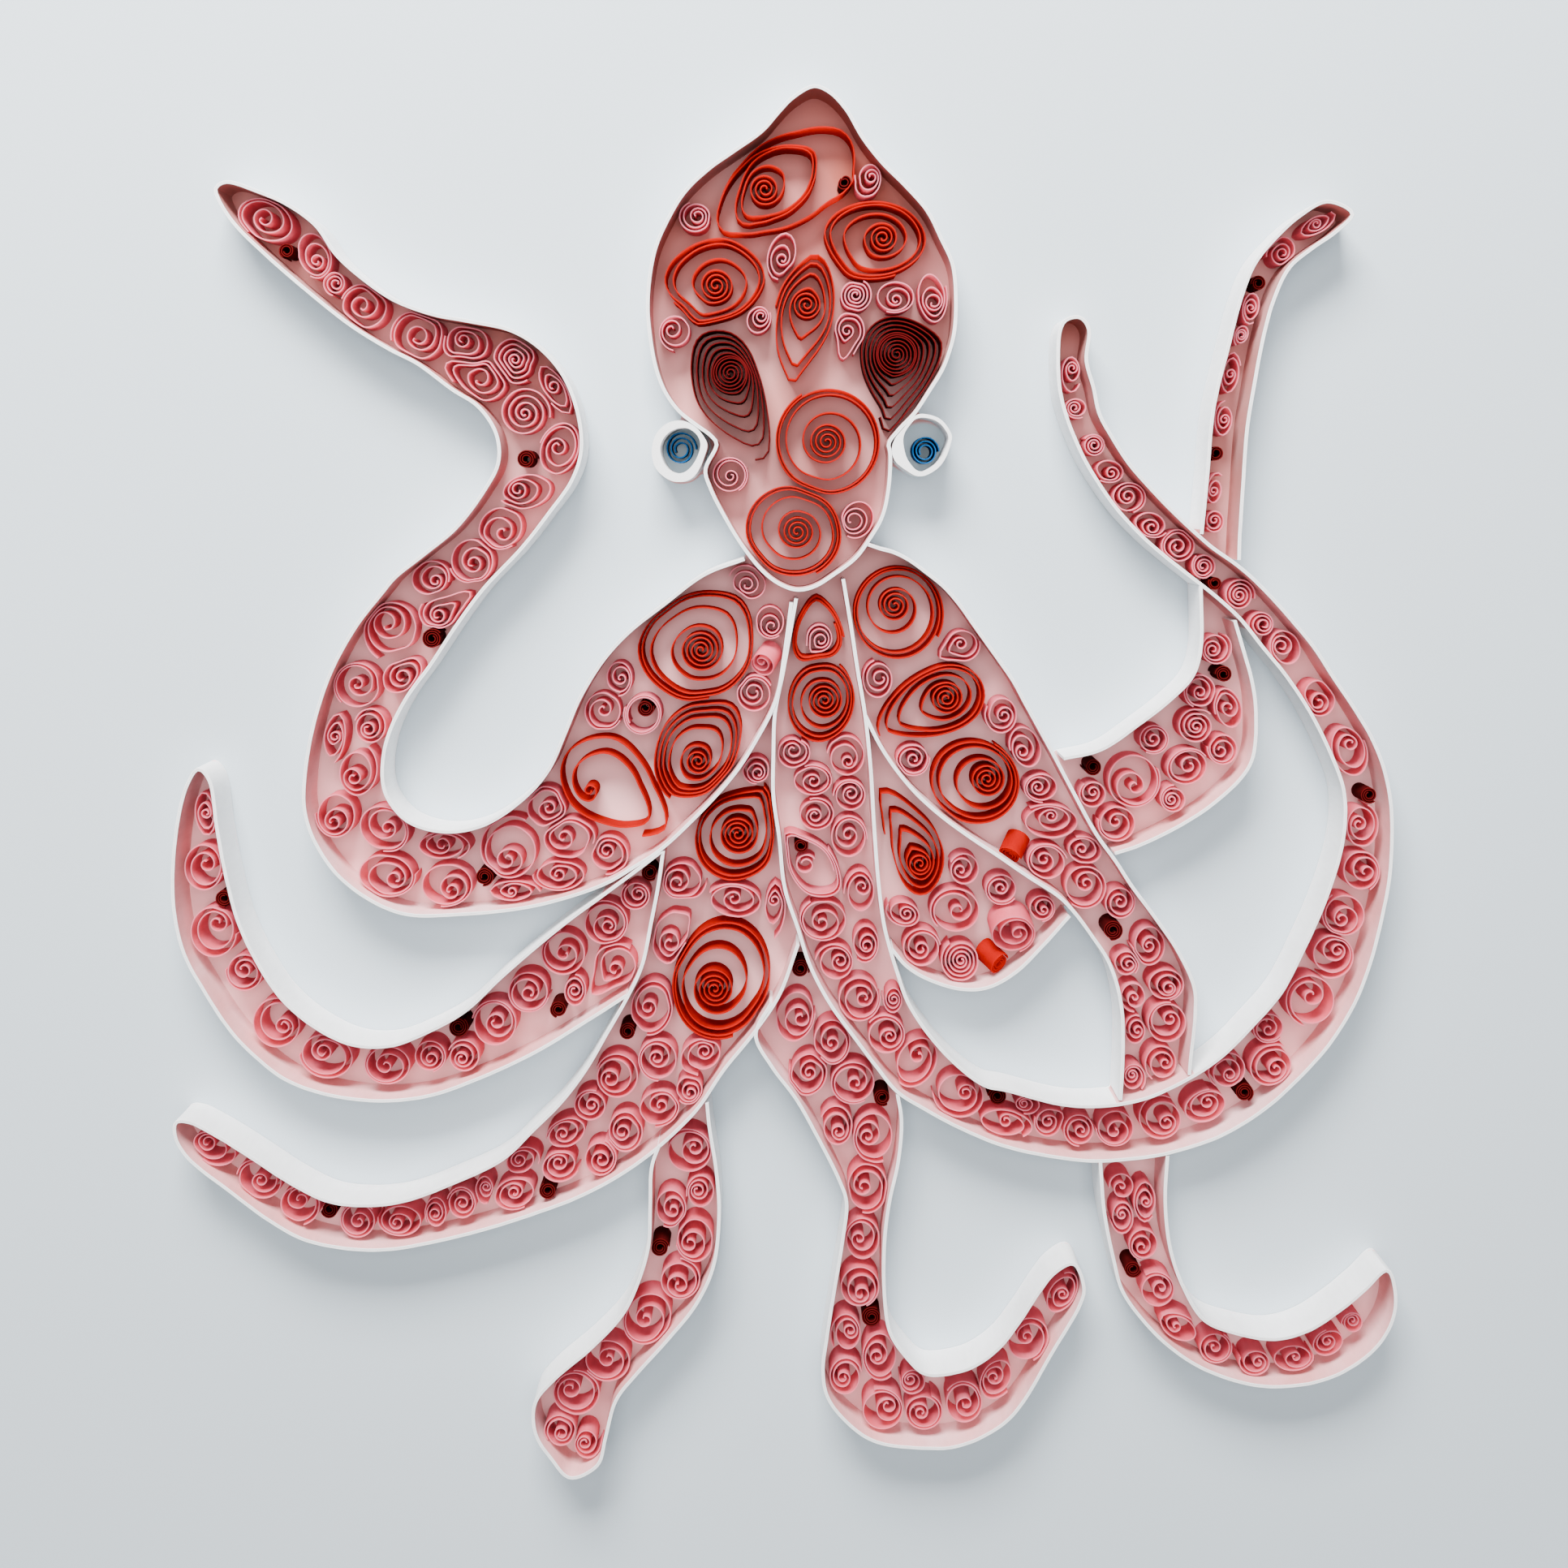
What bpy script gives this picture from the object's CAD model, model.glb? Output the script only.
import bpy, bmesh, math, random
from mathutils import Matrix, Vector, noise


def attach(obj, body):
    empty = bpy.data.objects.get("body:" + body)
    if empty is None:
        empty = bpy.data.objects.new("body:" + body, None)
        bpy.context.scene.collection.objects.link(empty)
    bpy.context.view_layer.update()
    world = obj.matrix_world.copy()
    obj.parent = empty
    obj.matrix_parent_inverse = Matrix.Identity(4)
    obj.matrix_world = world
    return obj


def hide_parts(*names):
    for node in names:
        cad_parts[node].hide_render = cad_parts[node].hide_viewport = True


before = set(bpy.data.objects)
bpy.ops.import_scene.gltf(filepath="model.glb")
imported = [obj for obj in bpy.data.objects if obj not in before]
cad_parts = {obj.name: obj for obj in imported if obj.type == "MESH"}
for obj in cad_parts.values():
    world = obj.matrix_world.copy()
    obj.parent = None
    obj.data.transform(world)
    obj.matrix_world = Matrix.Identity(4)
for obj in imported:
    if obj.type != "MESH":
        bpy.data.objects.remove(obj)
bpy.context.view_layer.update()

# A quilled paper octopus: rolled paper coils inside paper strips stood on edge on a white card.
# Tables are in millimetres, as in the model: X right, Y towards the crown, Z up from the card's underside.
MM = 0.001
CARD_T, WALL_TOP, WALL_T, COIL_TOP = 0.8, 10.0, 0.75, 6.9

# x, y; thickness; outline, crossing and core turns; share moved in; core centre; core radii; start; sense; free end; outline radii
COILS = {
    "head_crown_coil": [
        (-1.49, 129.65, 0.32, 1.34, 1.16, 4.49, 0.198, -3.26, -1.47, 3.06, 0.55, 200, -1, 0.50, [1142,1270,1462,1609,1554,1385,1246,1133,1046,984,944,921,909,910,925,952,999,1069,1161,1271,1411,1609,1581,1344,1181,1059,974,922,897,890,900,920,948,986,1035,1092]),
    ],
    "head_maroon_roll": [
        (11.58, 129.60, 0.22, 0.00, 2.97, 0.00, 0.000, 0.00, 0.00, 0.30, 0.30, 139, 1, 0.00, [194,194,196,197,197,197,196,195,193,187,172,155,143,134,127,125,127,133,142,152,167,184,193,196,196,196,196,196,196,196,197,197,198,198,197,195]),
    ],
    "head_pink_coils": [
        (16.37, 129.94, 0.25, 1.25, 0.94, 0.97, 0.520, 0.71, 0.67, 1.10, 0.60, 160, 1, 0.61, [299,305,314,327,341,351,366,385,392,388,376,360,343,327,314,304,296,285,272,274,294,320,342,361,377,387,384,375,370,359,343,328,314,305,299,297]),
        (-19.07, 122.44, 0.25, 1.15, 1.03, 1.30, 0.388, 0.48, 0.31, 1.41, 0.81, 110, 1, 0.70, [325,339,345,344,340,336,332,329,327,326,327,328,331,335,339,343,346,349,350,349,348,344,341,337,333,330,328,327,327,329,332,335,338,336,326,320]),
        (-1.17, 114.96, 0.25, 1.07, 0.88, 1.34, 0.386, 0.00, -0.94, 1.25, 0.64, 260, -1, 0.74, [322,335,353,379,413,454,496,528,530,500,458,417,382,356,337,323,316,316,322,335,353,379,413,454,497,529,529,487,422,370,341,326,322,319,316,316]),
        (13.89, 106.65, 0.25, 0.00, 3.47, 0.50, 0.000, 0.00, 0.00, 0.80, 0.60, 60, -1, 0.50, [351,351,352,353,354,353,342,325,317,321,339,355,359,359,357,355,353,352,351,352,352,354,355,353,344,330,327,337,353,360,361,359,357,355,353,352]),
        (21.97, 106.43, 0.25, 1.06, 1.09, 1.19, 0.280, 0.32, -0.63, 1.10, 0.60, 242, 1, 0.80, [430,426,420,407,392,376,363,354,348,346,349,355,365,378,393,410,425,435,439,434,424,409,392,377,364,354,349,347,349,355,365,378,394,410,424,432]),
        (29.61, 106.94, 0.25, 1.32, 1.14, 1.38, 0.550, 0.49, -1.57, 1.62, 0.94, 30, -1, 0.75, [336,334,338,350,369,397,436,486,544,599,620,587,530,473,425,389,362,341,326,325,335,350,369,397,436,487,546,600,622,589,531,474,426,390,364,347]),
        (-23.10, 99.03, 0.25, 1.04, 0.83, 0.78, 0.416, -0.95, 0.63, 1.41, 0.73, 260, -1, 0.75, [370,370,370,368,361,366,376,381,382,382,381,380,378,376,374,372,370,370,370,370,372,374,376,379,381,382,383,383,382,381,379,376,374,372,371,370]),
        (-6.29, 101.69, 0.25, 1.05, 1.10, 1.09, 0.493, 0.68, 0.74, 1.10, 0.62, 30, -1, 0.85, [286,292,300,308,317,324,329,330,328,322,313,301,287,282,282,281,281,282,286,292,300,309,317,325,329,331,328,322,315,306,297,290,285,282,281,283]),
        (12.68, 99.54, 0.25, 1.22, 0.96, 1.27, 0.371, -0.48, -0.16, 1.25, 0.61, 280, 1, 0.81, [334,336,341,350,361,373,381,379,378,386,400,401,390,376,362,349,339,335,331,326,326,340,369,431,541,719,795,643,515,433,386,362,350,346,341,336]),
        (-12.15, 69.78, 0.25, 1.30, 1.09, 1.12, 0.236, 0.16, -0.32, 1.10, 0.62, 300, 1, 0.67, [390,390,390,390,390,389,389,389,388,388,388,388,388,388,389,389,390,390,390,390,390,390,390,390,390,389,389,389,389,389,389,389,389,389,390,390]),
        (14.57, 60.77, 0.25, 1.14, 1.09, 0.87, 0.550, -0.96, -0.48, 1.82, 1.04, 240, 1, 0.66, [384,393,404,416,427,436,442,442,437,428,416,404,393,384,377,374,373,374,371,364,366,382,409,433,441,442,437,428,417,405,393,384,377,373,374,377]),
    ],
    "head_left_brow_coil": [
        (-15.41, 109.94, 0.32, 1.24, 1.21, 4.49, 0.189, 0.51, -1.26, 3.06, 0.55, 210, 1, 0.50, [1105,1105,1078,1035,995,966,948,932,910,888,874,872,882,901,933,982,1037,1082,1113,1092,1037,955,910,919,964,988,933,886,865,865,881,905,933,968,1011,1061]),
    ],
    "head_right_brow_coil": [
        (17.94, 118.06, 0.32, 1.29, 1.29, 3.88, 0.175, 1.57, 0.31, 2.72, 0.55, 300, -1, 0.50, [1113,1077,1027,976,930,887,850,826,812,807,812,833,867,913,970,1034,1084,1108,1075,1019,975,944,933,935,909,870,842,825,822,833,856,891,938,998,1058,1100]),
    ],
    "head_nose_coil": [
        (3.01, 101.38, 0.32, 1.39, 1.16, 3.68, 0.338, 0.83, 3.41, 2.61, 0.55, 150, -1, 0.50, [648,679,727,797,896,1028,1191,1369,1433,1255,1086,956,853,767,701,657,631,621,627,648,686,745,831,946,1096,1283,1500,1178,960,834,750,691,655,634,625,631]),
    ],
    "left_eye_teardrop": [
        (-11.81, 86.54, 0.26, 0.98, 2.18, 5.02, 0.397, -0.18, 4.20, 3.36, 0.50, 290, 1, 0.38, [712,695,696,714,753,822,923,1048,1186,1307,1381,1429,1421,1310,1166,1049,957,892,851,827,813,808,813,830,862,915,995,1108,1259,1462,1491,1262,1051,902,807,747]),
    ],
    "right_eye_teardrop": [
        (22.71, 91.48, 0.26, 1.30, 2.60, 5.45, 0.224, -0.19, 3.17, 3.88, 0.50, 250, 1, 0.50, [828,916,1019,1114,1128,1106,1098,1104,1118,1141,1153,1145,1120,1072,1012,944,875,823,788,767,759,769,796,845,921,1047,1315,1131,943,828,763,728,713,714,731,766]),
    ],
    "head_mouth_coil": [
        (8.42, 76.78, 0.32, 1.31, 1.27, 5.40, 0.118, -0.32, -0.16, 3.57, 0.55, 120, 1, 0.50, [1113,1113,1114,1117,1121,1125,1129,1133,1135,1137,1136,1134,1131,1127,1123,1119,1116,1114,1113,1114,1116,1119,1121,1115,1093,1085,1105,1132,1140,1140,1137,1132,1127,1122,1118,1115]),
    ],
    "head_chin_coil": [
        (0.94, 57.97, 0.32, 1.49, 1.28, 4.79, 0.170, 0.97, 0.00, 3.23, 0.55, 300, 1, 0.50, [1030,1015,1009,1000,986,960,932,923,943,976,997,1011,1023,1034,1043,1048,1049,1045,1036,1021,991,963,952,962,976,983,988,995,1005,1016,1028,1038,1046,1051,1050,1044]),
    ],
    "left_eye_blue_coil": [
        (-22.42, 75.16, 0.25, 0.00, 5.00, 0.60, 0.000, 0.00, 0.00, 0.90, 0.70, 0, 1, 0.30, [337,339,341,345,350,356,361,365,368,368,367,364,359,354,348,344,340,338,337,339,341,346,351,356,361,366,368,369,368,364,360,354,349,344,340,338]),
    ],
    "right_eye_blue_coil": [
        (28.53, 74.65, 0.25, 0.00, 5.00, 0.60, 0.000, 0.00, 0.00, 0.90, 0.70, 0, 1, 0.30, [304,304,305,306,308,311,313,316,317,318,318,317,316,313,311,308,306,304,304,304,305,306,309,311,314,316,318,319,319,318,316,314,311,308,306,305]),
    ],
    "arm_upper_left_pink_coils": [
        (-107.13, 121.75, 0.25, 1.19, 1.03, 1.11, 0.249, -0.45, 0.42, 1.88, 1.08, 210, -1, 0.97, [573,539,506,480,459,442,428,425,434,451,471,496,526,560,592,616,619,601,565,517,478,455,443,439,436,436,442,454,473,497,527,561,593,617,620,603]),
        (-97.71, 115.02, 0.25, 1.10, 1.11, 1.20, 0.306, 0.60, -1.45, 1.41, 0.64, 260, 1, 1.03, [380,372,370,372,379,395,415,438,464,490,508,513,504,482,455,426,392,369,369,370,370,374,383,398,416,439,465,491,508,509,492,477,455,431,410,393]),
        (-93.46, 109.03, 0.25, 1.01, 0.89, 0.91, 0.444, 0.28, 0.01, 1.10, 0.61, 260, -1, 0.89, [246,247,249,252,254,257,259,260,260,259,257,252,242,234,235,241,244,245,246,247,249,252,254,257,259,260,260,260,258,256,253,251,248,246,245,245]),
        (-87.49, 104.29, 0.25, 1.03, 0.81, 1.16, 0.253, -0.63, 0.31, 2.00, 1.07, 160, -1, 0.76, [506,500,474,439,416,404,405,420,444,473,485,489,492,495,499,502,505,507,506,499,469,433,411,400,402,415,438,471,486,490,493,496,500,503,505,507]),
        (-76.58, 98.42, 0.25, 1.18, 0.80, 1.42, 0.237, 0.16, -0.16, 2.22, 1.37, 190, -1, 0.72, [545,558,561,554,521,479,455,443,447,465,499,529,538,543,548,552,557,561,563,563,556,529,490,465,452,452,468,498,528,537,541,544,547,548,541,534]),
        (-66.43, 96.77, 0.25, 1.22, 0.86, 1.37, 0.372, -0.78, 0.79, 1.53, 0.81, 160, 1, 1.09, [510,509,501,488,462,426,398,382,377,382,398,421,444,458,470,480,482,479,487,500,499,483,438,370,330,312,307,314,332,358,388,421,457,483,497,506]),
        (-56.48, 93.50, 0.25, 0.00, 3.80, 0.50, 0.000, 0.00, 0.00, 0.80, 0.60, 300, -1, 0.50, [473,490,492,484,465,451,446,452,467,488,499,500,499,497,495,493,492,488,471,429,403,387,382,390,410,452,494,504,504,502,499,495,483,454,433,444]),
        (-48.60, 87.75, 0.22, 1.10, 1.10, 1.00, 0.334, -0.09, 0.31, 1.08, 0.65, 260, 1, 0.40, [283,264,253,248,250,259,275,299,335,388,462,552,604,544,475,407,350,310,283,264,252,245,243,249,265,294,334,389,465,560,637,592,496,413,352,310]),
        (-63.23, 89.01, 0.25, 1.21, 1.04, 0.86, 0.375, -0.63, 0.63, 1.96, 1.12, 180, -1, 0.53, [489,442,414,397,392,401,425,458,459,439,421,426,455,531,664,839,844,732,629,555,498,452,422,404,399,409,432,462,476,486,496,506,514,522,535,532]),
        (-54.72, 82.58, 0.25, 0.00, 3.20, 0.50, 0.000, 0.00, 0.00, 0.80, 0.60, 350, 1, 0.50, [548,549,548,544,543,546,547,546,544,543,542,541,540,537,532,538,544,546,548,549,550,551,550,550,549,547,546,544,543,543,542,542,543,544,545,547]),
        (-47.60, 74.96, 0.25, 1.32, 1.02, 1.14, 0.270, -0.31, 0.48, 1.57, 0.94, 160, -1, 0.86, [438,455,477,505,537,569,593,599,587,560,527,496,470,449,434,425,423,427,438,455,477,505,537,564,571,575,580,560,528,497,471,450,435,426,423,428]),
        (-54.24, 66.49, 0.25, 1.27, 1.13, 1.12, 0.520, -2.06, 0.15, 1.57, 0.71, 200, 1, 1.02, [596,619,602,551,507,479,451,425,406,393,388,390,399,416,439,471,510,555,596,619,604,551,493,457,439,423,406,394,389,391,400,416,439,471,511,555]),
        (-59.90, 58.90, 0.25, 1.15, 0.81, 0.92, 0.280, 0.36, -1.15, 1.57, 0.80, 300, -1, 0.57, [496,506,513,516,510,487,466,458,465,470,466,462,459,459,462,467,476,486,496,505,507,495,478,473,482,489,485,477,469,463,460,459,462,468,476,486]),
        (-66.22, 51.93, 0.25, 1.19, 0.96, 1.16, 0.238, 0.42, -0.59, 1.72, 1.00, 200, 1, 1.04, [481,482,482,473,457,451,462,483,495,497,496,493,490,487,484,482,480,480,481,483,486,489,493,496,498,497,488,467,461,478,487,487,484,482,481,480]),
        (-75.16, 48.19, 0.25, 1.11, 0.93, 1.15, 0.368, 1.33, -0.52, 1.25, 0.70, 350, 1, 0.95, [438,445,448,447,442,434,424,414,404,397,391,386,378,376,386,403,417,429,438,445,449,448,443,434,424,413,400,382,367,365,376,390,400,409,419,429]),
        (-72.88, 41.34, 0.25, 1.17, 1.07, 1.26, 0.407, -0.55, -0.90, 1.41, 0.85, 160, 1, 0.90, [483,575,724,955,845,612,482,412,376,356,344,342,351,368,388,406,425,444,462,470,468,470,463,437,399,378,380,380,376,374,376,381,387,391,404,430]),
        (-83.01, 36.97, 0.25, 1.23, 1.04, 0.87, 0.461, -1.42, 1.79, 2.35, 1.39, 240, -1, 1.00, [618,623,622,629,643,653,659,663,664,663,658,646,619,595,583,589,607,620,625,629,635,641,649,655,660,660,645,613,590,580,592,618,629,627,619,607]),
        (-90.80, 25.56, 0.25, 1.25, 0.86, 1.17, 0.173, -0.03, 0.29, 1.57, 0.85, 226, -1, 0.86, [480,480,495,505,508,509,509,508,507,505,503,501,499,498,497,496,496,500,502,504,507,508,510,510,510,509,508,506,502,498,499,499,498,498,497,492]),
        (-81.47, 27.74, 0.25, 1.11, 1.10, 0.81, 0.351, 0.23, -0.40, 1.57, 0.86, 300, 1, 0.68, [425,464,494,517,523,510,468,411,368,341,326,322,331,351,370,383,398,417,437,455,471,498,520,517,497,470,443,419,400,385,371,355,345,347,361,385]),
        (-88.12, 16.95, 0.25, 0.96, 1.12, 1.32, 0.290, -0.51, -0.70, 1.41, 0.82, 160, -1, 0.89, [360,362,366,372,379,386,392,396,399,398,393,387,382,376,370,365,361,359,360,362,366,372,379,386,390,392,396,398,396,391,384,377,370,365,361,359]),
        (-95.91, 14.53, 0.25, 1.24, 1.00, 1.30, 0.464, 0.20, 0.16, 1.10, 0.60, 270, 1, 0.71, [255,267,284,311,351,408,485,571,612,547,461,389,338,302,279,263,253,251,255,267,285,311,351,409,486,572,614,549,462,390,338,302,279,263,253,251]),
        (-90.87, 7.54, 0.25, 1.14, 0.91, 1.04, 0.385, -1.12, -1.65, 1.57, 0.73, 67, -1, 1.02, [433,441,454,472,495,521,548,569,579,578,561,535,507,482,462,446,436,432,433,441,454,473,495,519,539,560,580,579,562,536,508,483,463,447,436,432]),
        (-95.87, -1.77, 0.25, 1.08, 1.00, 1.33, 0.306, -0.66, -1.83, 1.57, 0.78, 180, 1, 0.53, [452,455,462,473,483,491,497,516,527,529,524,513,500,486,473,463,455,452,452,455,463,474,487,501,514,525,531,531,525,514,501,487,474,463,456,452]),
        (-85.91, -5.00, 0.25, 1.33, 0.88, 1.27, 0.227, 1.05, 0.15, 1.57, 0.73, 270, 1, 0.52, [551,538,525,513,504,499,498,500,506,515,527,540,553,565,572,574,571,563,551,538,525,514,505,500,498,496,492,491,504,527,551,565,573,575,572,563]),
        (-85.56, -14.83, 0.25, 1.26, 1.06, 1.04, 0.303, 1.91, -1.04, 1.72, 0.93, 0, -1, 0.77, [642,625,600,573,548,527,510,494,478,475,488,514,541,567,594,620,641,649,644,624,593,552,521,504,498,499,499,502,511,526,545,569,595,621,639,644]),
        (-73.26, -8.72, 0.25, 1.35, 0.83, 0.93, 0.402, -0.21, 0.31, 1.41, 0.82, 320, 1, 1.04, [594,573,524,471,425,388,359,338,325,325,333,344,361,386,421,466,519,569,594,573,524,471,426,390,363,344,328,322,326,341,361,387,422,467,519,569]),
        (-73.13, -16.97, 0.25, 1.03, 0.87, 1.27, 0.306, 1.43, -1.40, 1.72, 0.92, 260, 1, 0.86, [616,613,601,582,561,541,523,509,496,489,494,505,517,534,552,573,592,603,612,612,601,582,562,542,525,511,502,499,500,507,519,535,554,574,594,609]),
        (-59.02, -9.02, 0.25, 1.28, 0.85, 1.34, 0.347, -0.80, -2.75, 2.04, 1.03, 60, 1, 0.87, [669,672,675,677,675,672,685,694,697,694,683,662,654,666,672,671,669,668,669,672,674,671,648,633,662,691,698,697,695,692,687,681,676,672,670,669]),
        (-51.47, -0.44, 0.25, 1.14, 1.06, 1.02, 0.261, 0.74, -0.18, 1.41, 0.67, 160, -1, 1.01, [459,438,421,419,434,458,472,475,475,473,466,442,418,406,408,424,450,464,468,470,471,468,459,456,466,473,470,449,418,399,393,399,415,440,460,465]),
        (-46.46, -7.23, 0.25, 1.18, 0.94, 0.70, 0.273, -1.15, 0.31, 1.41, 0.72, 350, 1, 0.65, [557,570,563,545,520,500,492,485,478,472,461,440,429,434,453,488,536,568,577,575,565,550,531,512,489,469,458,461,473,484,495,507,512,507,511,528]),
        (-38.04, -10.62, 0.25, 1.13, 1.00, 1.30, 0.333, -0.44, 0.91, 1.41, 0.82, 260, 1, 0.67, [434,435,436,438,439,440,441,441,441,441,440,437,432,414,392,381,383,399,421,432,436,438,440,441,442,442,442,439,431,417,410,414,426,432,434,434]),
        (-58.47, -18.49, 0.25, 1.08, 0.86, 1.00, 0.378, -0.39, -0.10, 0.94, 0.54, 0, 1, 1.04, [592,539,456,384,331,294,270,253,243,238,240,251,268,293,329,381,450,530,591,541,457,384,331,294,270,253,243,240,244,253,269,293,330,382,454,539]),
        (-48.62, -15.06, 0.25, 1.14, 1.08, 1.09, 0.261, -0.18, 0.15, 1.25, 0.75, 180, 1, 0.71, [578,562,523,477,433,391,359,340,333,337,349,362,380,403,435,475,519,558,578,562,523,479,439,406,382,365,354,351,354,364,381,404,436,476,520,560]),
        (-35.70, 27.15, 0.25, 1.29, 0.79, 0.89, 0.406, 0.51, -0.02, 1.08, 0.51, 270, 1, 0.68, [305,307,313,323,336,352,368,383,393,396,391,380,364,348,333,320,311,306,305,307,313,323,335,345,350,358,375,391,390,380,364,348,333,321,312,306]),
        (-39.00, 20.12, 0.25, 1.07, 0.89, 0.85, 0.203, 0.08, 0.32, 1.41, 0.76, 330, -1, 0.74, [413,414,416,419,418,412,406,416,428,433,432,430,427,423,419,416,414,413,413,415,417,420,424,427,429,425,411,403,409,421,425,423,420,417,414,413]),
        (-30.60, 19.54, 0.25, 2.15, 0.00, 0.00, 0.249, 0.00, 0.00, 0.50, 0.50, 160, 1, 0.00, [417,422,428,435,442,448,452,453,451,447,441,435,428,421,416,413,412,414,417,422,428,436,443,448,452,454,452,448,442,435,428,422,417,414,413,414]),
        (-4.40, 31.29, 0.25, 1.01, 0.82, 0.79, 0.395, -0.28, 0.30, 1.10, 0.54, 160, 1, 0.66, [287,288,290,295,300,307,313,319,322,324,322,318,313,305,295,280,266,262,267,279,288,295,301,307,314,319,323,324,323,319,313,307,300,295,290,288]),
        (-8.28, 47.22, 0.25, 0.95, 1.00, 1.13, 0.419, -0.28, -0.37, 1.54, 0.79, 160, -1, 0.91, [418,404,385,364,352,352,365,376,385,395,406,418,430,439,445,445,439,430,418,404,384,351,322,308,308,324,353,385,405,419,431,440,445,445,440,430]),
        (-3.68, 39.33, 0.25, 1.02, 0.98, 0.90, 0.397, 0.26, -1.19, 1.41, 0.67, 300, -1, 0.97, [335,340,345,351,359,369,378,386,392,394,392,386,378,368,359,351,344,337,328,325,334,348,359,369,379,387,393,395,393,387,378,369,359,350,341,333]),
        (-7.07, 23.81, 0.25, 1.05, 1.09, 1.17, 0.277, -0.21, 0.30, 1.57, 0.91, 28, 1, 0.50, [395,395,397,400,403,407,410,413,414,415,413,405,386,369,363,372,386,393,394,395,397,400,404,407,411,414,415,416,415,413,410,407,403,400,397,395]),
    ],
    "arm_upper_left_maroon_rolls": [
        (-103.11, 115.65, 0.22, 0.00, 3.45, 0.00, 0.000, 0.00, 0.00, 0.30, 0.30, 238, -1, 0.00, [162,163,165,167,168,167,167,166,165,164,164,163,163,163,164,164,165,166,167,168,168,168,168,168,167,166,165,164,164,163,163,163,164,164,164,163]),
        (-54.51, 72.98, 0.22, 0.00, 4.47, 0.00, 0.000, 0.00, 0.00, 0.30, 0.30, 7, 1, 0.00, [203,203,203,203,203,203,203,202,202,201,201,201,200,200,201,201,202,202,203,203,203,204,204,203,203,203,202,202,201,201,201,201,201,201,202,202]),
        (-74.75, 35.54, 0.22, 0.00, 4.99, 0.00, 0.000, 0.00, 0.00, 0.30, 0.30, 35, 1, 0.00, [222,222,223,223,224,223,221,218,216,216,218,220,220,220,220,219,217,216,217,221,223,224,224,224,224,224,223,223,222,221,221,220,220,220,220,221]),
        (-64.60, -15.37, 0.22, 0.00, 4.61, 0.00, 0.000, 0.00, 0.00, 0.30, 0.30, 259, 1, 0.00, [207,206,203,199,197,197,199,203,208,210,210,209,208,207,207,206,206,207,207,208,209,209,210,211,211,211,211,211,210,209,208,207,207,207,206,207]),
        (-30.03, 20.83, 0.22, 0.00, 4.08, 0.00, 0.000, 0.00, 0.00, 0.30, 0.30, 14, -1, 0.00, [188,188,189,188,186,184,183,183,185,187,189,189,189,188,188,188,188,188,188,188,189,189,189,190,190,190,190,190,189,189,189,188,188,188,188,188]),
    ],
    "arm_upper_left_red_coils": [
        (-37.11, 4.06, 0.32, 1.33, 1.19, 3.58, 0.296, -4.88, -0.86, 2.55, 0.55, 300, 1, 0.50, [947,904,888,885,897,926,976,1041,1114,1172,1203,1237,1270,1299,1319,1293,1254,1199,1139,1088,1052,1016,980,952,935,934,952,993,1062,1148,1245,1367,1462,1348,1179,1041]),
        (-18.72, 34.14, 0.32, 1.45, 1.31, 6.31, 0.146, 0.43, -1.12, 4.08, 0.55, 280, -1, 0.50, [1187,1203,1240,1295,1338,1351,1303,1241,1192,1157,1128,1103,1083,1075,1096,1148,1203,1256,1306,1324,1314,1295,1268,1246,1237,1234,1211,1171,1158,1172,1181,1182,1179,1184,1186,1183]),
        (-18.87, 12.09, 0.32, 2.40, 1.21, 3.27, 0.367, -0.17, -2.75, 2.38, 0.55, 240, -1, 0.50, [909,957,1026,1115,1196,1246,1212,1125,1048,1011,993,966,940,922,910,902,898,908,930,970,1027,1086,1137,1201,1243,1193,1136,1083,1027,956,893,860,846,852,862,879]),
    ],
    "arm_lower_left_pink_coils": [
        (-6.65, 7.72, 0.25, 0.99, 1.02, 1.26, 0.401, 0.34, -0.79, 1.25, 0.66, 270, -1, 0.58, [300,306,318,323,325,326,327,327,328,328,327,326,322,310,299,298,307,318,323,324,325,326,326,327,327,328,328,328,328,328,327,326,325,323,316,304]),
        (-22.11, -16.19, 0.25, 1.30, 0.95, 1.12, 0.359, -1.44, -0.54, 1.57, 0.84, 350, -1, 0.62, [489,486,476,457,450,460,465,464,462,461,461,463,466,471,475,476,469,460,465,480,485,483,478,471,455,427,407,398,401,417,445,466,475,481,485,488]),
        (-11.30, -20.72, 0.25, 1.19, 1.01, 1.04, 0.281, -0.18, 0.58, 1.41, 0.75, 160, -1, 0.94, [603,579,539,497,460,431,411,396,389,389,396,411,432,461,497,540,582,612,612,582,540,497,460,431,408,390,378,381,394,411,432,461,498,540,580,602]),
        (-2.86, -22.44, 0.25, 1.25, 0.77, 1.11, 0.550, -0.04, 1.95, 1.03, 0.56, 270, 1, 0.63, [256,262,276,296,324,357,405,492,629,649,551,453,381,329,289,261,248,247,253,262,276,298,331,381,453,551,652,653,553,454,382,332,298,277,263,256]),
        (-24.15, -26.96, 0.25, 1.00, 0.89, 0.86, 0.550, -1.01, -2.91, 1.72, 0.88, 310, -1, 0.93, [436,468,510,576,684,798,760,700,669,646,596,549,518,499,487,480,470,464,472,492,530,593,660,710,752,783,785,673,536,450,399,372,358,358,373,400]),
        (-29.22, -43.85, 0.25, 1.29, 0.98, 1.27, 0.230, -0.72, -0.05, 1.57, 0.89, 260, 1, 0.73, [472,469,474,495,533,573,604,627,634,627,605,577,548,523,502,487,477,474,478,487,502,520,535,547,586,623,635,628,606,578,549,524,503,487,477,473]),
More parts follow.
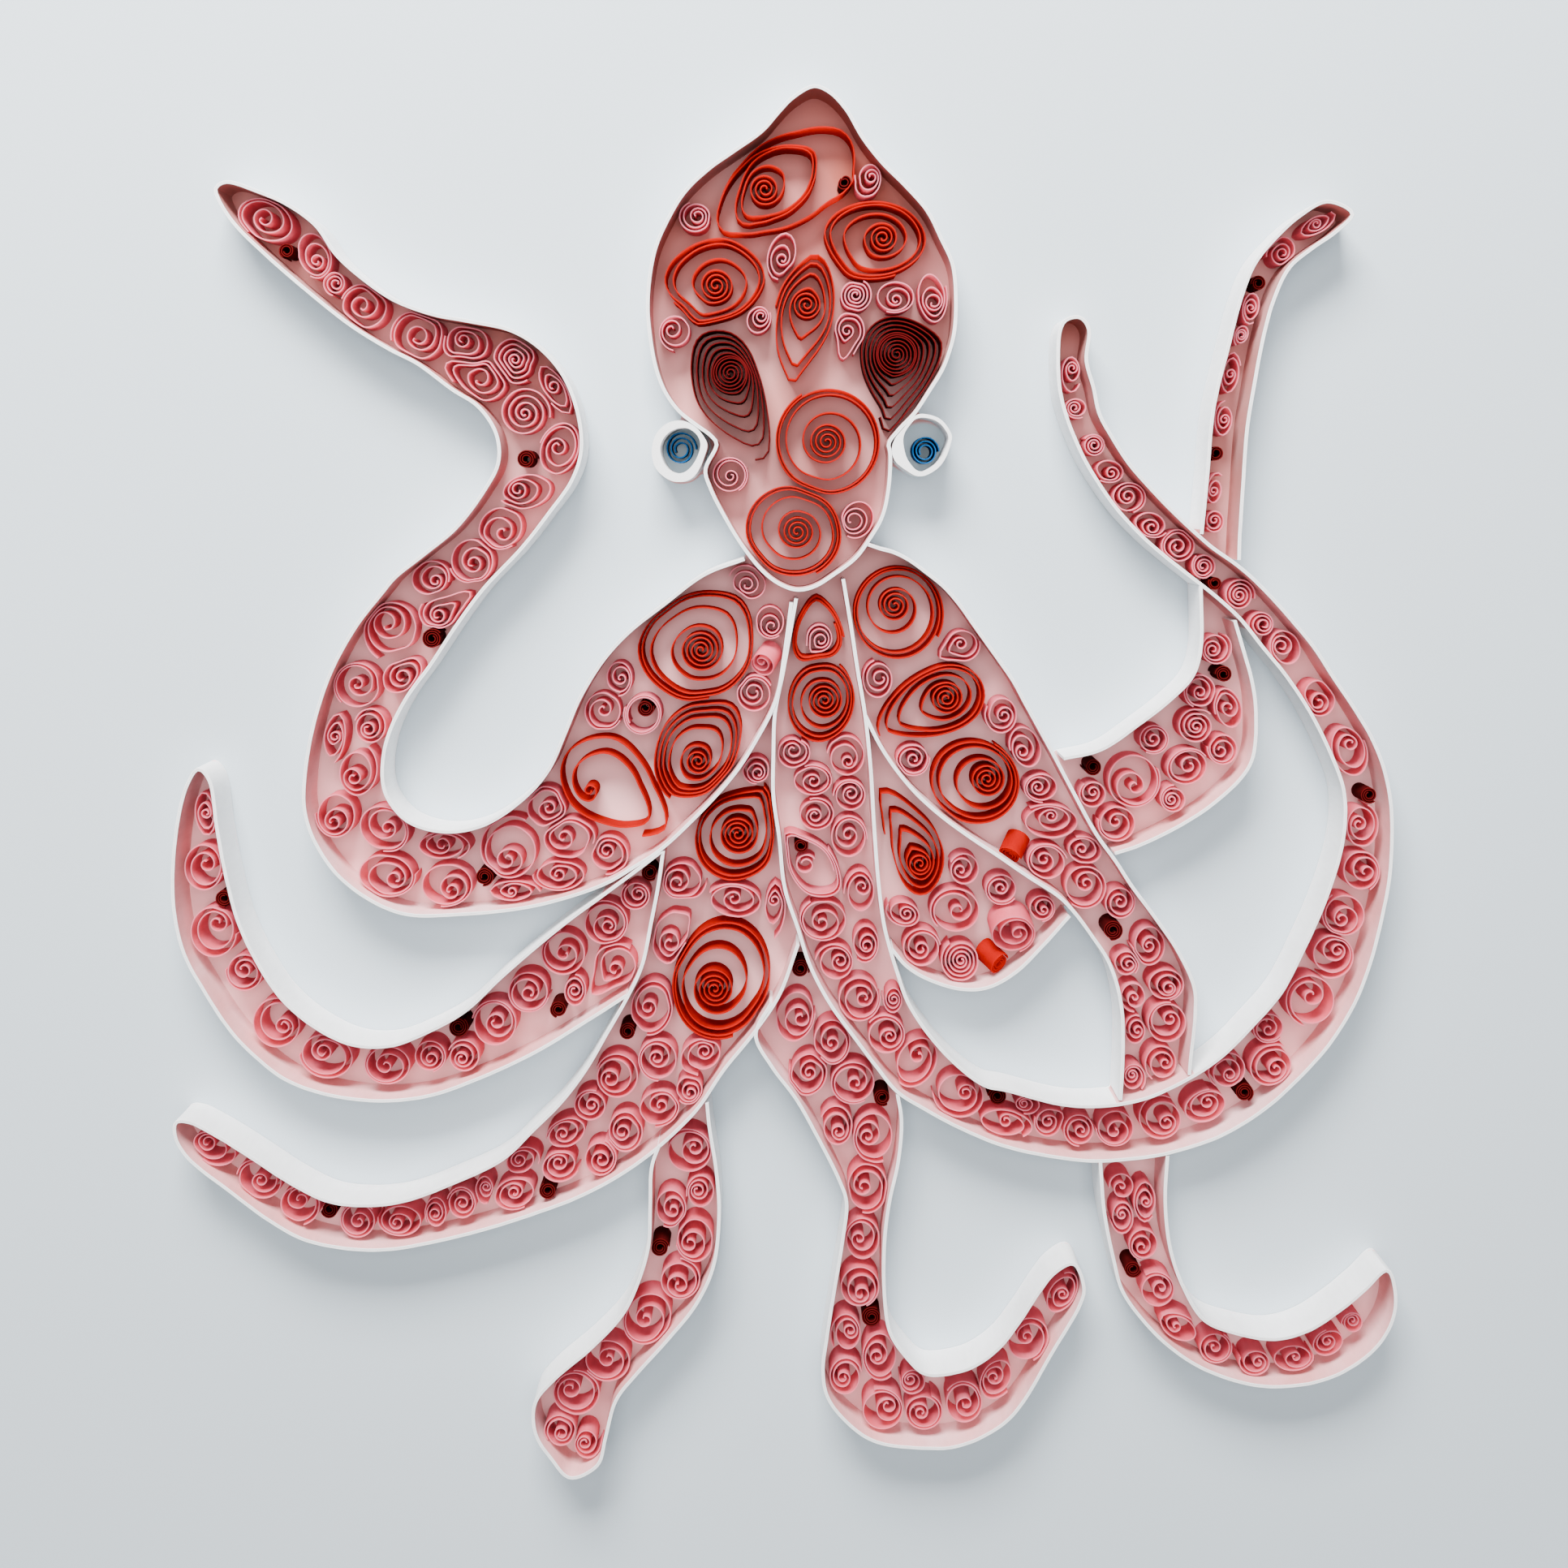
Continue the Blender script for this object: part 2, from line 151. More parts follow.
        (-36.59, -59.08, 0.25, 1.34, 0.91, 1.14, 0.384, -1.58, -0.55, 1.72, 0.94, 160, -1, 0.78, [494,495,495,501,509,515,520,524,526,527,525,521,516,510,505,500,497,495,495,496,500,504,506,509,518,525,528,528,526,522,517,511,506,501,497,495]),
        (-27.86, -55.33, 0.25, 1.17, 0.97, 1.50, 0.213, -0.26, 0.44, 1.57, 0.80, 270, -1, 1.08, [434,439,443,447,453,458,463,467,469,469,468,464,460,455,449,445,441,440,439,439,439,445,452,458,464,468,470,470,469,465,461,455,450,445,441,437]),
        (-18.64, -54.75, 0.25, 1.08, 0.88, 1.44, 0.429, 0.72, 1.11, 1.57, 0.76, 260, -1, 0.91, [473,486,494,495,485,454,421,405,404,412,414,411,410,413,420,430,443,457,470,481,493,495,484,455,432,421,424,423,417,412,411,414,420,430,443,458]),
        (-21.48, -61.74, 0.25, 1.26, 0.96, 0.89, 0.527, 0.40, -0.83, 1.25, 0.58, 235, 1, 0.98, [330,331,333,337,339,336,324,316,318,329,345,351,349,344,340,336,332,330,329,327,320,311,312,324,343,353,357,358,357,353,344,331,322,323,328,329]),
        (-42.58, -65.50, 0.25, 0.99, 1.01, 0.99, 0.218, 0.33, 0.08, 1.25, 0.73, 67, 1, 0.88, [367,367,366,364,358,357,360,360,360,359,358,359,359,360,362,363,365,366,367,367,367,366,363,355,350,355,359,359,359,359,360,361,362,364,365,366]),
        (-27.90, -66.12, 0.25, 1.23, 0.81, 1.22, 0.262, 0.51, 0.72, 1.41, 0.66, 260, 1, 0.52, [465,469,463,452,453,457,452,442,431,422,416,413,413,417,423,432,443,455,465,468,460,452,457,460,453,443,432,423,417,414,414,417,424,433,444,455]),
        (-47.76, -71.71, 0.25, 1.15, 1.02, 0.82, 0.304, -0.87, -0.19, 1.25, 0.65, 195, -1, 0.99, [435,460,477,477,458,439,418,394,374,357,345,339,338,342,351,366,385,408,435,460,478,482,470,444,410,378,359,351,344,339,338,342,351,366,385,408]),
        (-35.03, -71.17, 0.25, 1.27, 1.14, 1.18, 0.306, -0.74, -0.37, 1.41, 0.84, 210, 1, 0.51, [404,406,408,406,409,427,456,478,489,492,487,477,463,447,432,420,411,406,404,407,412,417,418,428,450,476,489,493,488,478,463,448,433,420,411,406]),
        (-57.41, -77.92, 0.25, 1.12, 0.82, 1.13, 0.447, -0.65, 0.37, 1.25, 0.74, 350, 1, 0.75, [382,397,406,409,404,393,378,362,347,334,326,320,316,313,319,334,350,366,382,397,407,409,404,393,375,354,339,331,325,321,320,322,328,338,351,366]),
        (-49.21, -78.98, 0.25, 1.08, 1.09, 0.83, 0.391, -0.24, 0.83, 1.41, 0.69, 346, -1, 1.05, [427,439,445,443,436,422,404,381,362,353,355,357,359,363,371,383,397,412,427,439,445,444,435,417,398,390,379,369,362,359,359,364,372,383,397,412]),
        (-40.57, -77.06, 0.25, 1.02, 1.09, 0.91, 0.253, 0.34, -0.50, 1.41, 0.77, 74, -1, 0.74, [368,369,370,367,364,374,392,409,416,417,415,409,401,393,384,377,372,369,368,370,374,381,389,397,406,413,417,418,416,410,402,393,385,377,372,369]),
        (-59.01, -85.04, 0.25, 0.98, 1.09, 1.42, 0.221, -0.19, 0.32, 1.25, 0.72, 304, -1, 0.63, [465,478,481,473,455,433,409,386,370,364,360,360,364,372,385,402,421,439,453,472,480,473,456,434,413,394,379,368,362,361,364,373,386,403,423,445]),
        (-123.69, -74.90, 0.25, 1.35, 0.99, 0.78, 0.502, -1.45, 1.30, 1.41, 0.87, 221, 1, 1.01, [495,463,429,394,370,355,351,357,374,397,419,444,472,503,530,546,543,522,485,440,405,383,369,365,371,380,390,403,421,445,473,504,531,546,544,524]),
        (-114.25, -81.89, 0.25, 1.19, 0.92, 1.40, 0.203, 0.33, -0.19, 1.41, 0.75, 166, -1, 0.82, [495,481,465,440,418,406,407,420,439,451,463,475,488,500,508,513,511,505,494,481,460,433,414,407,412,428,443,453,464,476,489,500,509,513,512,505]),
        (-105.80, -87.64, 0.25, 1.30, 0.81, 0.84, 0.330, 0.26, 1.18, 1.41, 0.82, 282, 1, 0.57, [460,463,464,463,457,442,434,439,452,456,456,454,454,453,454,455,457,459,461,463,464,463,456,443,440,448,456,458,457,455,454,454,455,456,456,456]),
        (-93.18, -91.05, 0.25, 1.34, 1.02, 0.95, 0.240, 0.09, -0.21, 1.41, 0.72, 38, 1, 0.66, [404,407,411,414,417,419,421,421,418,415,416,415,412,410,407,406,405,405,406,408,411,414,417,420,422,423,423,421,419,416,413,410,408,406,405,404]),
        (-83.86, -90.94, 0.25, 0.98, 1.15, 1.20, 0.296, -0.99, -0.73, 1.41, 0.74, 173, 1, 0.89, [513,508,494,472,448,426,408,394,386,382,384,392,404,421,441,465,489,507,514,511,495,472,448,427,409,395,387,383,385,392,405,421,442,465,489,507]),
        (-76.20, -89.37, 0.22, 1.10, 1.10, 1.00, 0.379, -0.28, -0.33, 1.10, 0.66, 225, -1, 0.34, [257,256,257,268,287,312,337,361,377,381,372,352,329,308,290,275,265,260,258,259,262,276,295,316,339,361,378,382,373,353,330,308,290,276,265,260]),
        (-70.61, -87.14, 0.25, 1.21, 1.00, 0.88, 0.293, 0.14, 0.02, 1.25, 0.76, 163, -1, 0.94, [330,328,325,332,347,360,370,377,381,381,378,372,364,355,347,340,335,331,328,324,327,339,352,362,371,378,382,382,379,372,364,356,347,340,335,332]),
        (-65.66, -84.07, 0.25, 0.95, 0.87, 1.14, 0.542, 0.37, 0.42, 0.94, 0.47, 280, -1, 0.66, [219,224,231,243,259,280,305,332,355,361,349,324,297,273,254,239,229,223,221,223,227,232,244,265,297,330,355,361,350,325,297,269,243,224,215,215]),
    ],
    "arm_lower_left_red_coils": [
        (-10.83, -6.14, 0.32, 1.27, 1.39, 4.79, 0.177, 0.20, -0.05, 3.23, 0.55, 60, -1, 0.50, [803,811,835,881,958,1092,1177,1069,995,940,907,891,882,868,864,879,894,911,933,959,986,1014,1041,1057,1066,1069,1064,1045,1022,1001,982,961,923,872,832,811]),
        (-14.03, -37.79, 0.32, 1.27, 1.31, 5.40, 0.149, -1.66, -2.19, 3.57, 0.55, 280, -1, 0.50, [1088,1108,1138,1177,1223,1270,1311,1338,1338,1317,1277,1225,1164,1105,1064,1044,1056,1072,1087,1106,1132,1174,1225,1275,1317,1338,1337,1323,1285,1236,1181,1118,1076,1067,1071,1077]),
    ],
    "arm_lower_left_maroon_rolls": [
        (-34.39, -49.18, 0.22, 0.00, 4.22, 0.00, 0.000, 0.00, 0.00, 0.30, 0.30, 38, 1, 0.00, [191,190,187,186,186,190,194,196,196,196,196,195,194,193,193,192,191,191,191,192,193,193,194,195,196,196,197,196,196,195,194,194,193,192,192,191]),
        (-51.93, -84.41, 0.22, 0.00, 4.31, 0.00, 0.000, 0.00, 0.00, 0.30, 0.30, 116, 1, 0.00, [193,194,195,196,197,198,198,197,198,199,199,198,197,196,195,194,193,193,193,194,195,196,197,198,199,200,200,200,199,198,197,196,195,194,193,193]),
        (-99.24, -88.57, 0.22, 0.00, 4.32, 0.00, 0.000, 0.00, 0.00, 0.30, 0.30, 194, 1, 0.00, [193,194,196,197,198,200,201,201,201,200,199,198,196,195,194,193,192,191,193,194,196,197,199,200,201,201,201,200,199,198,196,195,194,193,193,193]),
    ],
    "arm_middle_left_pink_coils": [
        (-123.64, -1.45, 0.22, 1.10, 1.10, 1.00, 0.371, 0.24, -0.19, 0.94, 0.56, 334, -1, 0.61, [236,237,245,258,279,309,353,412,483,539,518,450,384,331,294,269,251,241,236,237,245,259,279,310,353,413,484,541,520,451,384,332,294,269,251,241]),
        (-124.34, -13.17, 0.25, 1.07, 0.95, 0.80, 0.255, 0.83, 0.67, 1.57, 0.86, 341, -1, 0.56, [435,439,448,461,477,494,511,525,533,532,524,510,493,476,460,448,439,435,435,439,448,461,477,495,512,526,534,534,526,512,494,477,461,448,439,435]),
        (-122.78, -27.31, 0.25, 1.25, 0.97, 0.73, 0.345, 1.09, 2.02, 1.72, 0.81, 355, -1, 1.07, [527,531,539,549,560,569,572,564,579,588,585,576,565,553,542,534,528,526,527,532,539,550,561,573,584,592,595,594,587,578,566,554,543,535,529,526]),
        (-116.14, -36.09, 0.25, 1.11, 1.07, 1.04, 0.245, -0.12, 0.62, 1.57, 0.84, 170, 1, 0.58, [419,419,416,413,421,428,430,431,430,428,425,423,420,418,417,416,416,417,419,421,424,427,429,431,432,432,430,429,426,423,421,419,417,416,416,417]),
        (-109.78, -47.38, 0.25, 1.11, 1.01, 1.47, 0.244, 1.61, -0.60, 1.72, 1.00, 35, 1, 1.06, [548,551,555,557,552,551,567,578,581,579,575,570,564,558,553,549,546,546,548,552,557,563,569,575,580,582,583,581,577,571,565,559,554,549,547,547]),
        (-98.97, -54.44, 0.25, 1.20, 1.10, 1.26, 0.227, -0.76, 1.03, 1.72, 1.02, 177, 1, 1.05, [594,582,566,550,532,513,499,501,507,513,522,534,548,564,580,592,599,600,594,582,567,551,536,524,515,511,511,515,523,535,549,565,581,593,600,600]),
        (-85.91, -56.38, 0.25, 1.22, 1.03, 0.70, 0.197, -0.55, -0.13, 1.57, 0.71, 141, 1, 0.94, [512,512,507,499,489,478,468,459,452,446,445,453,460,469,480,491,501,508,512,512,507,499,489,479,469,460,455,452,452,455,462,470,480,491,501,508]),
        (-76.99, -54.45, 0.25, 1.25, 0.83, 1.11, 0.375, 0.24, -0.75, 1.41, 0.84, 281, 1, 0.97, [366,367,369,371,373,375,376,377,376,375,374,372,370,368,366,365,365,365,366,368,369,372,374,376,377,377,377,376,375,373,370,368,367,366,365,365]),
        (-69.50, -54.45, 0.25, 0.95, 1.06, 1.46, 0.307, -0.56, -0.72, 1.41, 0.67, 159, -1, 0.92, [366,367,369,371,373,375,376,376,376,375,374,372,370,368,367,366,365,365,366,367,369,371,373,375,376,377,377,376,375,373,371,369,367,366,365,365]),
        (-62.94, -47.30, 0.25, 1.18, 0.93, 1.20, 0.194, 0.50, 0.32, 1.72, 1.06, 166, -1, 0.82, [493,495,499,504,509,514,519,523,524,524,521,517,512,506,501,497,494,493,493,496,499,504,510,515,520,524,525,525,522,518,513,507,502,497,494,493]),
        (-55.54, -40.36, 0.25, 1.22, 0.96, 1.24, 0.200, 0.11, -0.35, 1.57, 0.90, 342, -1, 0.63, [456,457,459,461,463,465,466,467,467,466,465,463,461,459,457,456,455,455,456,457,459,462,464,466,467,468,468,467,466,464,461,459,457,456,455,455]),
        (-32.45, -19.49, 0.22, 1.10, 1.10, 1.00, 0.312, 0.56, 0.35, 1.25, 0.75, 126, 1, 0.57, [327,327,328,329,330,331,332,332,332,332,332,331,330,328,328,327,326,326,327,327,328,329,330,331,332,333,333,333,332,331,330,329,328,327,326,326]),
        (-39.02, -25.32, 0.25, 1.33, 1.06, 1.42, 0.263, 0.69, -0.80, 1.57, 0.90, 147, -1, 1.02, [509,509,509,508,507,506,504,502,501,500,499,497,492,491,499,503,506,507,509,509,509,509,508,506,505,503,499,489,477,480,492,500,503,505,506,508]),
        (-47.97, -31.95, 0.25, 1.07, 1.06, 0.76, 0.153, 0.16, -0.28, 1.57, 0.72, 96, 1, 0.59, [491,492,494,496,498,500,501,502,502,500,497,487,470,463,470,483,488,490,491,493,495,497,499,501,502,503,503,502,499,493,495,494,493,491,491,491]),
        (-36.80, -34.56, 0.25, 0.95, 0.84, 1.18, 0.186, -0.19, -1.00, 1.57, 0.88, 50, 1, 0.54, [488,491,492,491,490,488,487,485,480,471,460,462,474,482,485,486,484,480,484,504,547,629,757,896,810,660,559,504,479,473,477,481,477,467,467,479]),
        (-45.63, -40.24, 0.25, 0.99, 1.12, 0.96, 0.337, -0.10, -0.02, 1.10, 0.67, 88, -1, 1.07, [255,258,265,276,291,309,330,352,366,368,358,344,324,304,287,273,263,257,255,258,265,276,291,310,331,352,368,373,365,347,325,305,287,273,263,257]),
    ],
    "arm_middle_left_maroon_rolls": [
        (-120.19, -20.08, 0.22, 0.00, 4.17, 0.00, 0.000, 0.00, 0.00, 0.30, 0.30, 278, -1, 0.00, [190,191,192,193,194,195,195,195,194,193,192,191,190,189,189,188,189,189,190,191,192,193,194,192,190,189,190,192,192,191,190,189,189,189,189,189]),
        (-70.67, -48.08, 0.22, 0.00, 5.16, 0.00, 0.000, 0.00, 0.00, 0.30, 0.30, 51, -1, 0.00, [226,227,228,229,230,231,232,232,232,229,220,210,207,210,219,224,225,226,226,227,228,229,231,232,232,233,233,232,231,230,229,228,227,226,226,226]),
        (-29.36, -14.37, 0.22, 0.00, 4.16, 0.00, 0.000, 0.00, 0.00, 0.30, 0.30, 302, -1, 0.00, [184,188,190,191,192,192,193,193,193,193,193,192,191,190,190,190,190,190,190,190,191,191,192,192,193,193,193,193,193,192,192,191,190,189,185,182]),
        (-49.16, -44.27, 0.22, 0.00, 4.24, 0.00, 0.000, 0.00, 0.00, 0.30, 0.30, 256, -1, 0.00, [191,192,192,193,194,195,196,196,196,196,195,194,194,193,192,191,191,191,191,192,193,193,194,195,196,196,196,196,195,195,194,193,192,191,191,191]),
    ],
    "arm_bottom_left_pink_coils": [
        (-21.61, -75.70, 0.25, 1.12, 0.96, 1.35, 0.273, 1.50, 0.83, 1.72, 0.85, 117, -1, 0.76, [530,527,529,528,525,522,518,515,513,512,512,514,516,519,523,527,530,532,533,533,532,529,526,523,519,516,514,513,514,515,517,520,524,527,530,532]),
        (-18.74, -84.93, 0.25, 0.98, 1.06, 1.49, 0.404, -0.73, 0.36, 1.41, 0.77, 193, -1, 0.92, [332,334,340,349,362,377,392,406,416,419,415,404,390,375,360,348,339,334,332,334,340,350,362,377,393,407,416,420,415,405,391,375,360,348,339,334]),
        (-25.55, -88.31, 0.25, 1.14, 0.87, 0.76, 0.327, 0.59, -0.44, 1.41, 0.73, 251, 1, 0.94, [369,371,378,388,401,416,431,445,455,458,453,443,428,413,398,384,372,360,355,362,375,387,401,416,432,446,456,458,452,431,401,382,373,375,374,370]),
        (-20.03, -95.01, 0.25, 1.14, 0.86, 1.07, 0.407, -1.31, -1.29, 1.57, 0.87, 202, 1, 0.71, [435,444,453,466,482,500,520,539,551,554,547,525,492,468,458,457,451,445,444,447,454,467,482,500,514,521,537,551,550,537,518,498,479,460,443,433]),
        (-23.52, -104.34, 0.25, 1.23, 0.95, 0.80, 0.305, -0.08, -1.43, 1.57, 0.79, 88, -1, 0.77, [463,464,466,468,470,468,460,461,473,479,479,478,475,472,469,466,464,463,463,464,466,469,472,475,478,481,482,482,481,479,476,473,469,467,465,463]),
        (-30.56, -113.19, 0.25, 1.17, 0.99, 0.89, 0.167, -0.56, -0.32, 1.72, 0.79, 156, 1, 0.88, [539,554,571,590,609,624,632,632,623,607,588,569,551,535,519,513,520,528,539,554,571,591,610,626,634,634,625,609,589,566,540,520,513,518,523,529]),
        (-39.48, -122.82, 0.25, 0.96, 1.05, 0.81, 0.139, 0.08, 0.27, 1.57, 0.88, 208, 1, 0.67, [521,520,518,513,507,501,495,490,487,485,485,487,487,483,486,502,513,518,521,520,516,507,490,483,488,489,488,486,487,489,493,498,504,510,515,519]),
        (-46.34, -130.44, 0.25, 1.29, 1.10, 0.95, 0.283, -1.22, 1.08, 1.72, 1.01, 95, -1, 0.81, [541,542,542,541,534,526,535,543,546,545,544,543,542,540,540,539,539,540,541,542,543,545,545,541,529,526,537,544,545,544,543,541,540,540,540,540]),
        (-49.82, -138.79, 0.25, 1.17, 0.94, 1.31, 0.316, 0.21, -0.60, 1.35, 0.86, 216, -1, 0.48, [367,373,377,379,380,377,367,365,374,385,388,387,384,381,378,376,374,373,373,373,370,365,367,379,387,391,392,392,391,388,384,377,364,351,348,356]),
        (-43.91, -141.87, 0.25, 0.97, 0.98, 1.09, 0.446, -0.77, -0.02, 1.25, 0.74, 353, -1, 0.95, [311,318,325,334,345,358,371,382,390,392,387,378,362,337,316,303,301,308,315,320,326,334,345,358,371,383,390,392,387,373,354,337,323,312,305,305]),
    ],
    "arm_bottom_left_maroon_rolls": [
        (-27.74, -97.19, 0.22, 0.00, 4.82, 0.00, 0.000, 0.00, 0.00, 0.30, 0.30, 9, 1, 0.00, [211,212,213,214,215,217,218,219,219,219,219,218,216,215,213,211,206,203,207,211,213,214,215,217,218,219,219,219,219,218,217,215,214,213,212,211]),
    ],
    "arm_bottom_middle_maroon_rolls": [
        (2.68, -35.30, 0.22, 0.00, 4.61, 0.00, 0.000, 0.00, 0.00, 0.30, 0.30, 332, 1, 0.00, [205,198,192,194,201,208,211,212,212,213,212,212,211,209,205,196,192,194,201,206,208,209,210,211,212,212,213,213,213,212,212,211,210,209,209,208]),
        (20.31, -63.60, 0.22, 0.00, 4.28, 0.00, 0.000, 0.00, 0.00, 0.30, 0.30, 305, -1, 0.00, [192,192,192,193,194,195,196,197,197,198,198,197,197,196,195,194,193,192,192,192,192,193,194,195,196,197,198,198,198,198,197,196,195,194,193,193]),
        (18.26, -112.92, 0.22, 0.00, 5.38, 0.00, 0.000, 0.00, 0.00, 0.30, 0.30, 59, 1, 0.00, [230,230,231,232,233,235,236,238,239,239,239,239,237,236,234,233,231,230,230,230,231,232,233,235,237,238,239,240,239,239,238,236,234,233,231,230]),
    ],
    "arm_bottom_middle_pink_coils": [
        (1.35, -45.25, 0.25, 1.19, 0.85, 1.03, 0.434, 1.50, -1.07, 1.57, 0.95, 0, -1, 0.58, [460,470,487,510,539,574,610,640,652,643,614,577,537,499,478,468,460,457,460,470,487,510,540,575,611,641,654,645,616,580,545,514,490,473,461,457]),
        (9.39, -51.20, 0.25, 1.13, 1.13, 0.99, 0.209, -0.00, -0.51, 1.41, 0.65, 236, 1, 0.64, [421,422,428,435,439,451,475,502,519,524,520,509,492,473,456,441,430,423,421,422,427,430,423,420,433,461,500,521,521,510,493,474,457,442,430,423]),
        (4.41, -58.47, 0.25, 1.18, 1.10, 1.27, 0.201, 0.20, 0.23, 1.41, 0.74, 163, 1, 0.93, [428,436,443,442,431,432,446,471,494,495,484,470,456,443,433,426,423,424,428,433,434,424,422,435,460,495,503,498,486,471,457,444,433,426,423,424]),
        (14.01, -60.36, 0.25, 1.25, 0.92, 0.97, 0.196, 0.57, -0.13, 1.57, 0.77, 303, -1, 0.93, [495,494,493,493,492,491,490,490,489,490,490,491,492,492,493,494,495,495,495,494,494,493,492,492,491,491,491,491,491,492,493,493,494,495,495,495]),
        (10.52, -69.99, 0.25, 1.02, 0.90, 1.38, 0.364, 0.48, -1.41, 1.41, 0.76, 151, -1, 0.78, [365,369,376,387,401,418,437,455,467,472,468,456,438,420,402,388,377,370,367,369,374,379,388,408,434,455,468,473,469,457,439,420,401,383,368,362]),
        (18.73, -72.40, 0.25, 1.01, 1.11, 1.21, 0.270, -1.50, 0.02, 1.57, 0.78, 290, -1, 1.04, [478,480,487,498,514,531,550,569,581,586,583,571,554,534,515,497,481,474,476,480,487,499,514,532,550,560,562,574,580,572,555,535,517,501,489,481]),
        (17.18, -83.73, 0.25, 1.12, 0.96, 0.90, 0.246, -0.81, 0.18, 1.57, 0.84, 260, 1, 1.06, [447,459,470,484,501,521,543,559,563,575,580,569,548,525,504,486,472,460,447,436,442,465,495,521,546,568,585,591,586,571,548,524,496,465,445,438]),
        (16.28, -95.47, 0.25, 1.26, 0.84, 0.92, 0.308, -0.81, -0.01, 1.41, 0.68, 185, -1, 0.97, [396,404,414,426,442,460,479,498,511,517,512,500,482,462,444,428,417,409,407,409,416,427,442,460,480,499,512,518,514,501,482,463,444,428,413,400]),
        (15.41, -105.75, 0.25, 1.18, 1.06, 0.85, 0.358, 0.48, -1.85, 1.57, 0.87, 291, 1, 0.93, [463,464,467,471,477,483,489,495,499,500,500,496,491,485,479,473,468,465,463,464,467,471,477,484,490,496,500,502,501,497,492,486,479,473,468,465]),
        (12.62, -116.61, 0.25, 1.27, 0.83, 1.24, 0.478, 0.97, 0.62, 1.25, 0.75, 231, -1, 0.72, [353,356,364,377,395,418,445,472,494,502,495,474,447,420,397,378,364,356,353,356,364,378,396,419,445,473,495,503,496,475,447,421,397,379,365,356]),
        (20.25, -121.68, 0.25, 1.09, 1.08, 1.29, 0.262, -0.79, -0.29, 1.41, 0.85, 298, -1, 0.73, [409,412,421,434,448,464,493,537,569,580,573,548,517,486,459,438,423,413,409,412,421,437,457,484,514,546,572,582,575,549,518,487,460,439,423,413]),
        (12.65, -126.41, 0.25, 0.97, 1.11, 1.09, 0.234, -0.58, -0.24, 1.25, 0.70, 18, 1, 0.79, [373,374,379,387,398,410,424,435,444,447,444,437,425,412,399,388,380,374,373,374,379,387,398,411,424,436,445,448,445,437,426,413,400,389,380,375]),
        (20.32, -134.03, 0.25, 1.06, 1.01, 1.31, 0.300, 1.70, 0.77, 1.57, 0.87, 107, -1, 0.56, [504,503,503,503,504,505,505,506,507,507,508,508,508,507,506,506,505,504,504,504,504,504,505,505,506,507,508,509,509,509,509,508,507,506,505,504]),
        (27.51, -127.74, 0.22, 1.10, 1.10, 1.00, 0.410, -0.75, 0.37, 1.10, 0.66, 175, 1, 0.57, [298,298,299,300,302,305,307,309,311,311,311,311,309,307,304,302,300,299,298,298,299,301,303,305,307,309,310,308,302,299,303,306,304,302,300,299]),
        (29.78, -134.71, 0.25, 1.28, 0.91, 1.37, 0.257, -0.63, -0.19, 1.41, 0.70, 66, -1, 0.82, [429,429,428,428,428,428,428,428,429,428,424,420,426,430,431,431,430,430,429,429,428,428,428,428,429,429,430,430,431,431,432,432,431,431,430,430]),
        (38.43, -132.27, 0.25, 1.17, 0.92, 0.82, 0.217, 0.46, -0.32, 1.41, 0.84, 143, -1, 1.02, [428,427,426,428,445,465,480,493,502,507,505,497,486,473,459,447,438,432,429,430,435,443,455,468,482,494,504,508,506,498,487,473,460,447,438,432]),
        (45.79, -127.04, 0.25, 1.11, 1.12, 0.87, 0.337, -0.77, 0.36, 1.25, 0.71, 308, -1, 0.63, [379,396,418,445,474,500,515,514,495,468,439,413,392,376,365,360,360,367,379,396,417,440,461,490,514,514,496,468,439,413,392,376,365,360,360,367]),
        (52.34, -118.12, 0.25, 0.99, 0.99, 1.04, 0.183, -0.30, 0.79, 1.41, 0.67, 286, 1, 0.83, [466,478,491,505,518,528,533,531,525,514,500,486,474,463,455,453,454,459,467,478,491,506,519,529,534,533,526,515,501,487,474,462,450,441,445,456]),
        (59.57, -107.56, 0.25, 1.17, 0.92, 1.41, 0.315, 0.21, -0.17, 1.25, 0.60, 84, -1, 1.08, [339,361,390,425,466,505,528,522,490,449,410,378,354,337,325,320,322,329,344,363,391,426,466,505,529,523,491,450,411,379,355,337,326,320,318,324]),
    ],
    "arm_long_right_red_coils": [
        (6.10, 36.85, 0.26, 2.10, 0.00, 0.00, 0.236, 0.00, 0.00, 0.50, 0.50, 350, 1, 0.00, [559,543,537,543,560,586,625,674,738,802,747,660,592,546,518,502,496,500,514,536,574,623,675,725,739,691,636,608,602,621,648,659,654,639,614,583]),
        (6.76, 22.14, 0.32, 1.42, 1.18, 4.53, 0.279, 0.97, 0.16, 3.09, 0.55, 60, -1, 0.50, [739,750,767,790,818,849,877,893,880,856,842,838,819,792,769,751,740,735,739,750,768,792,820,850,875,895,910,906,883,850,822,795,771,753,740,736]),
    ],
    "arm_long_right_pink_coils": [
        (6.70, 35.59, 0.25, 1.11, 1.13, 0.73, 0.400, 0.21, -0.49, 1.25, 0.73, 210, -1, 1.02, [290,290,293,297,302,308,314,320,323,325,323,320,315,309,303,298,293,288,285,289,305,333,379,431,445,392,358,343,330,318,312,307,303,298,293,291]),
        (1.08, 11.24, 0.25, 1.09, 1.04, 0.88, 0.347, 0.05, 0.51, 1.41, 0.83, 56, -1, 0.95, [378,377,375,368,351,335,332,343,357,362,364,365,367,369,372,373,372,365,361,368,373,374,372,370,367,366,364,362,355,345,343,352,366,373,376,378]),
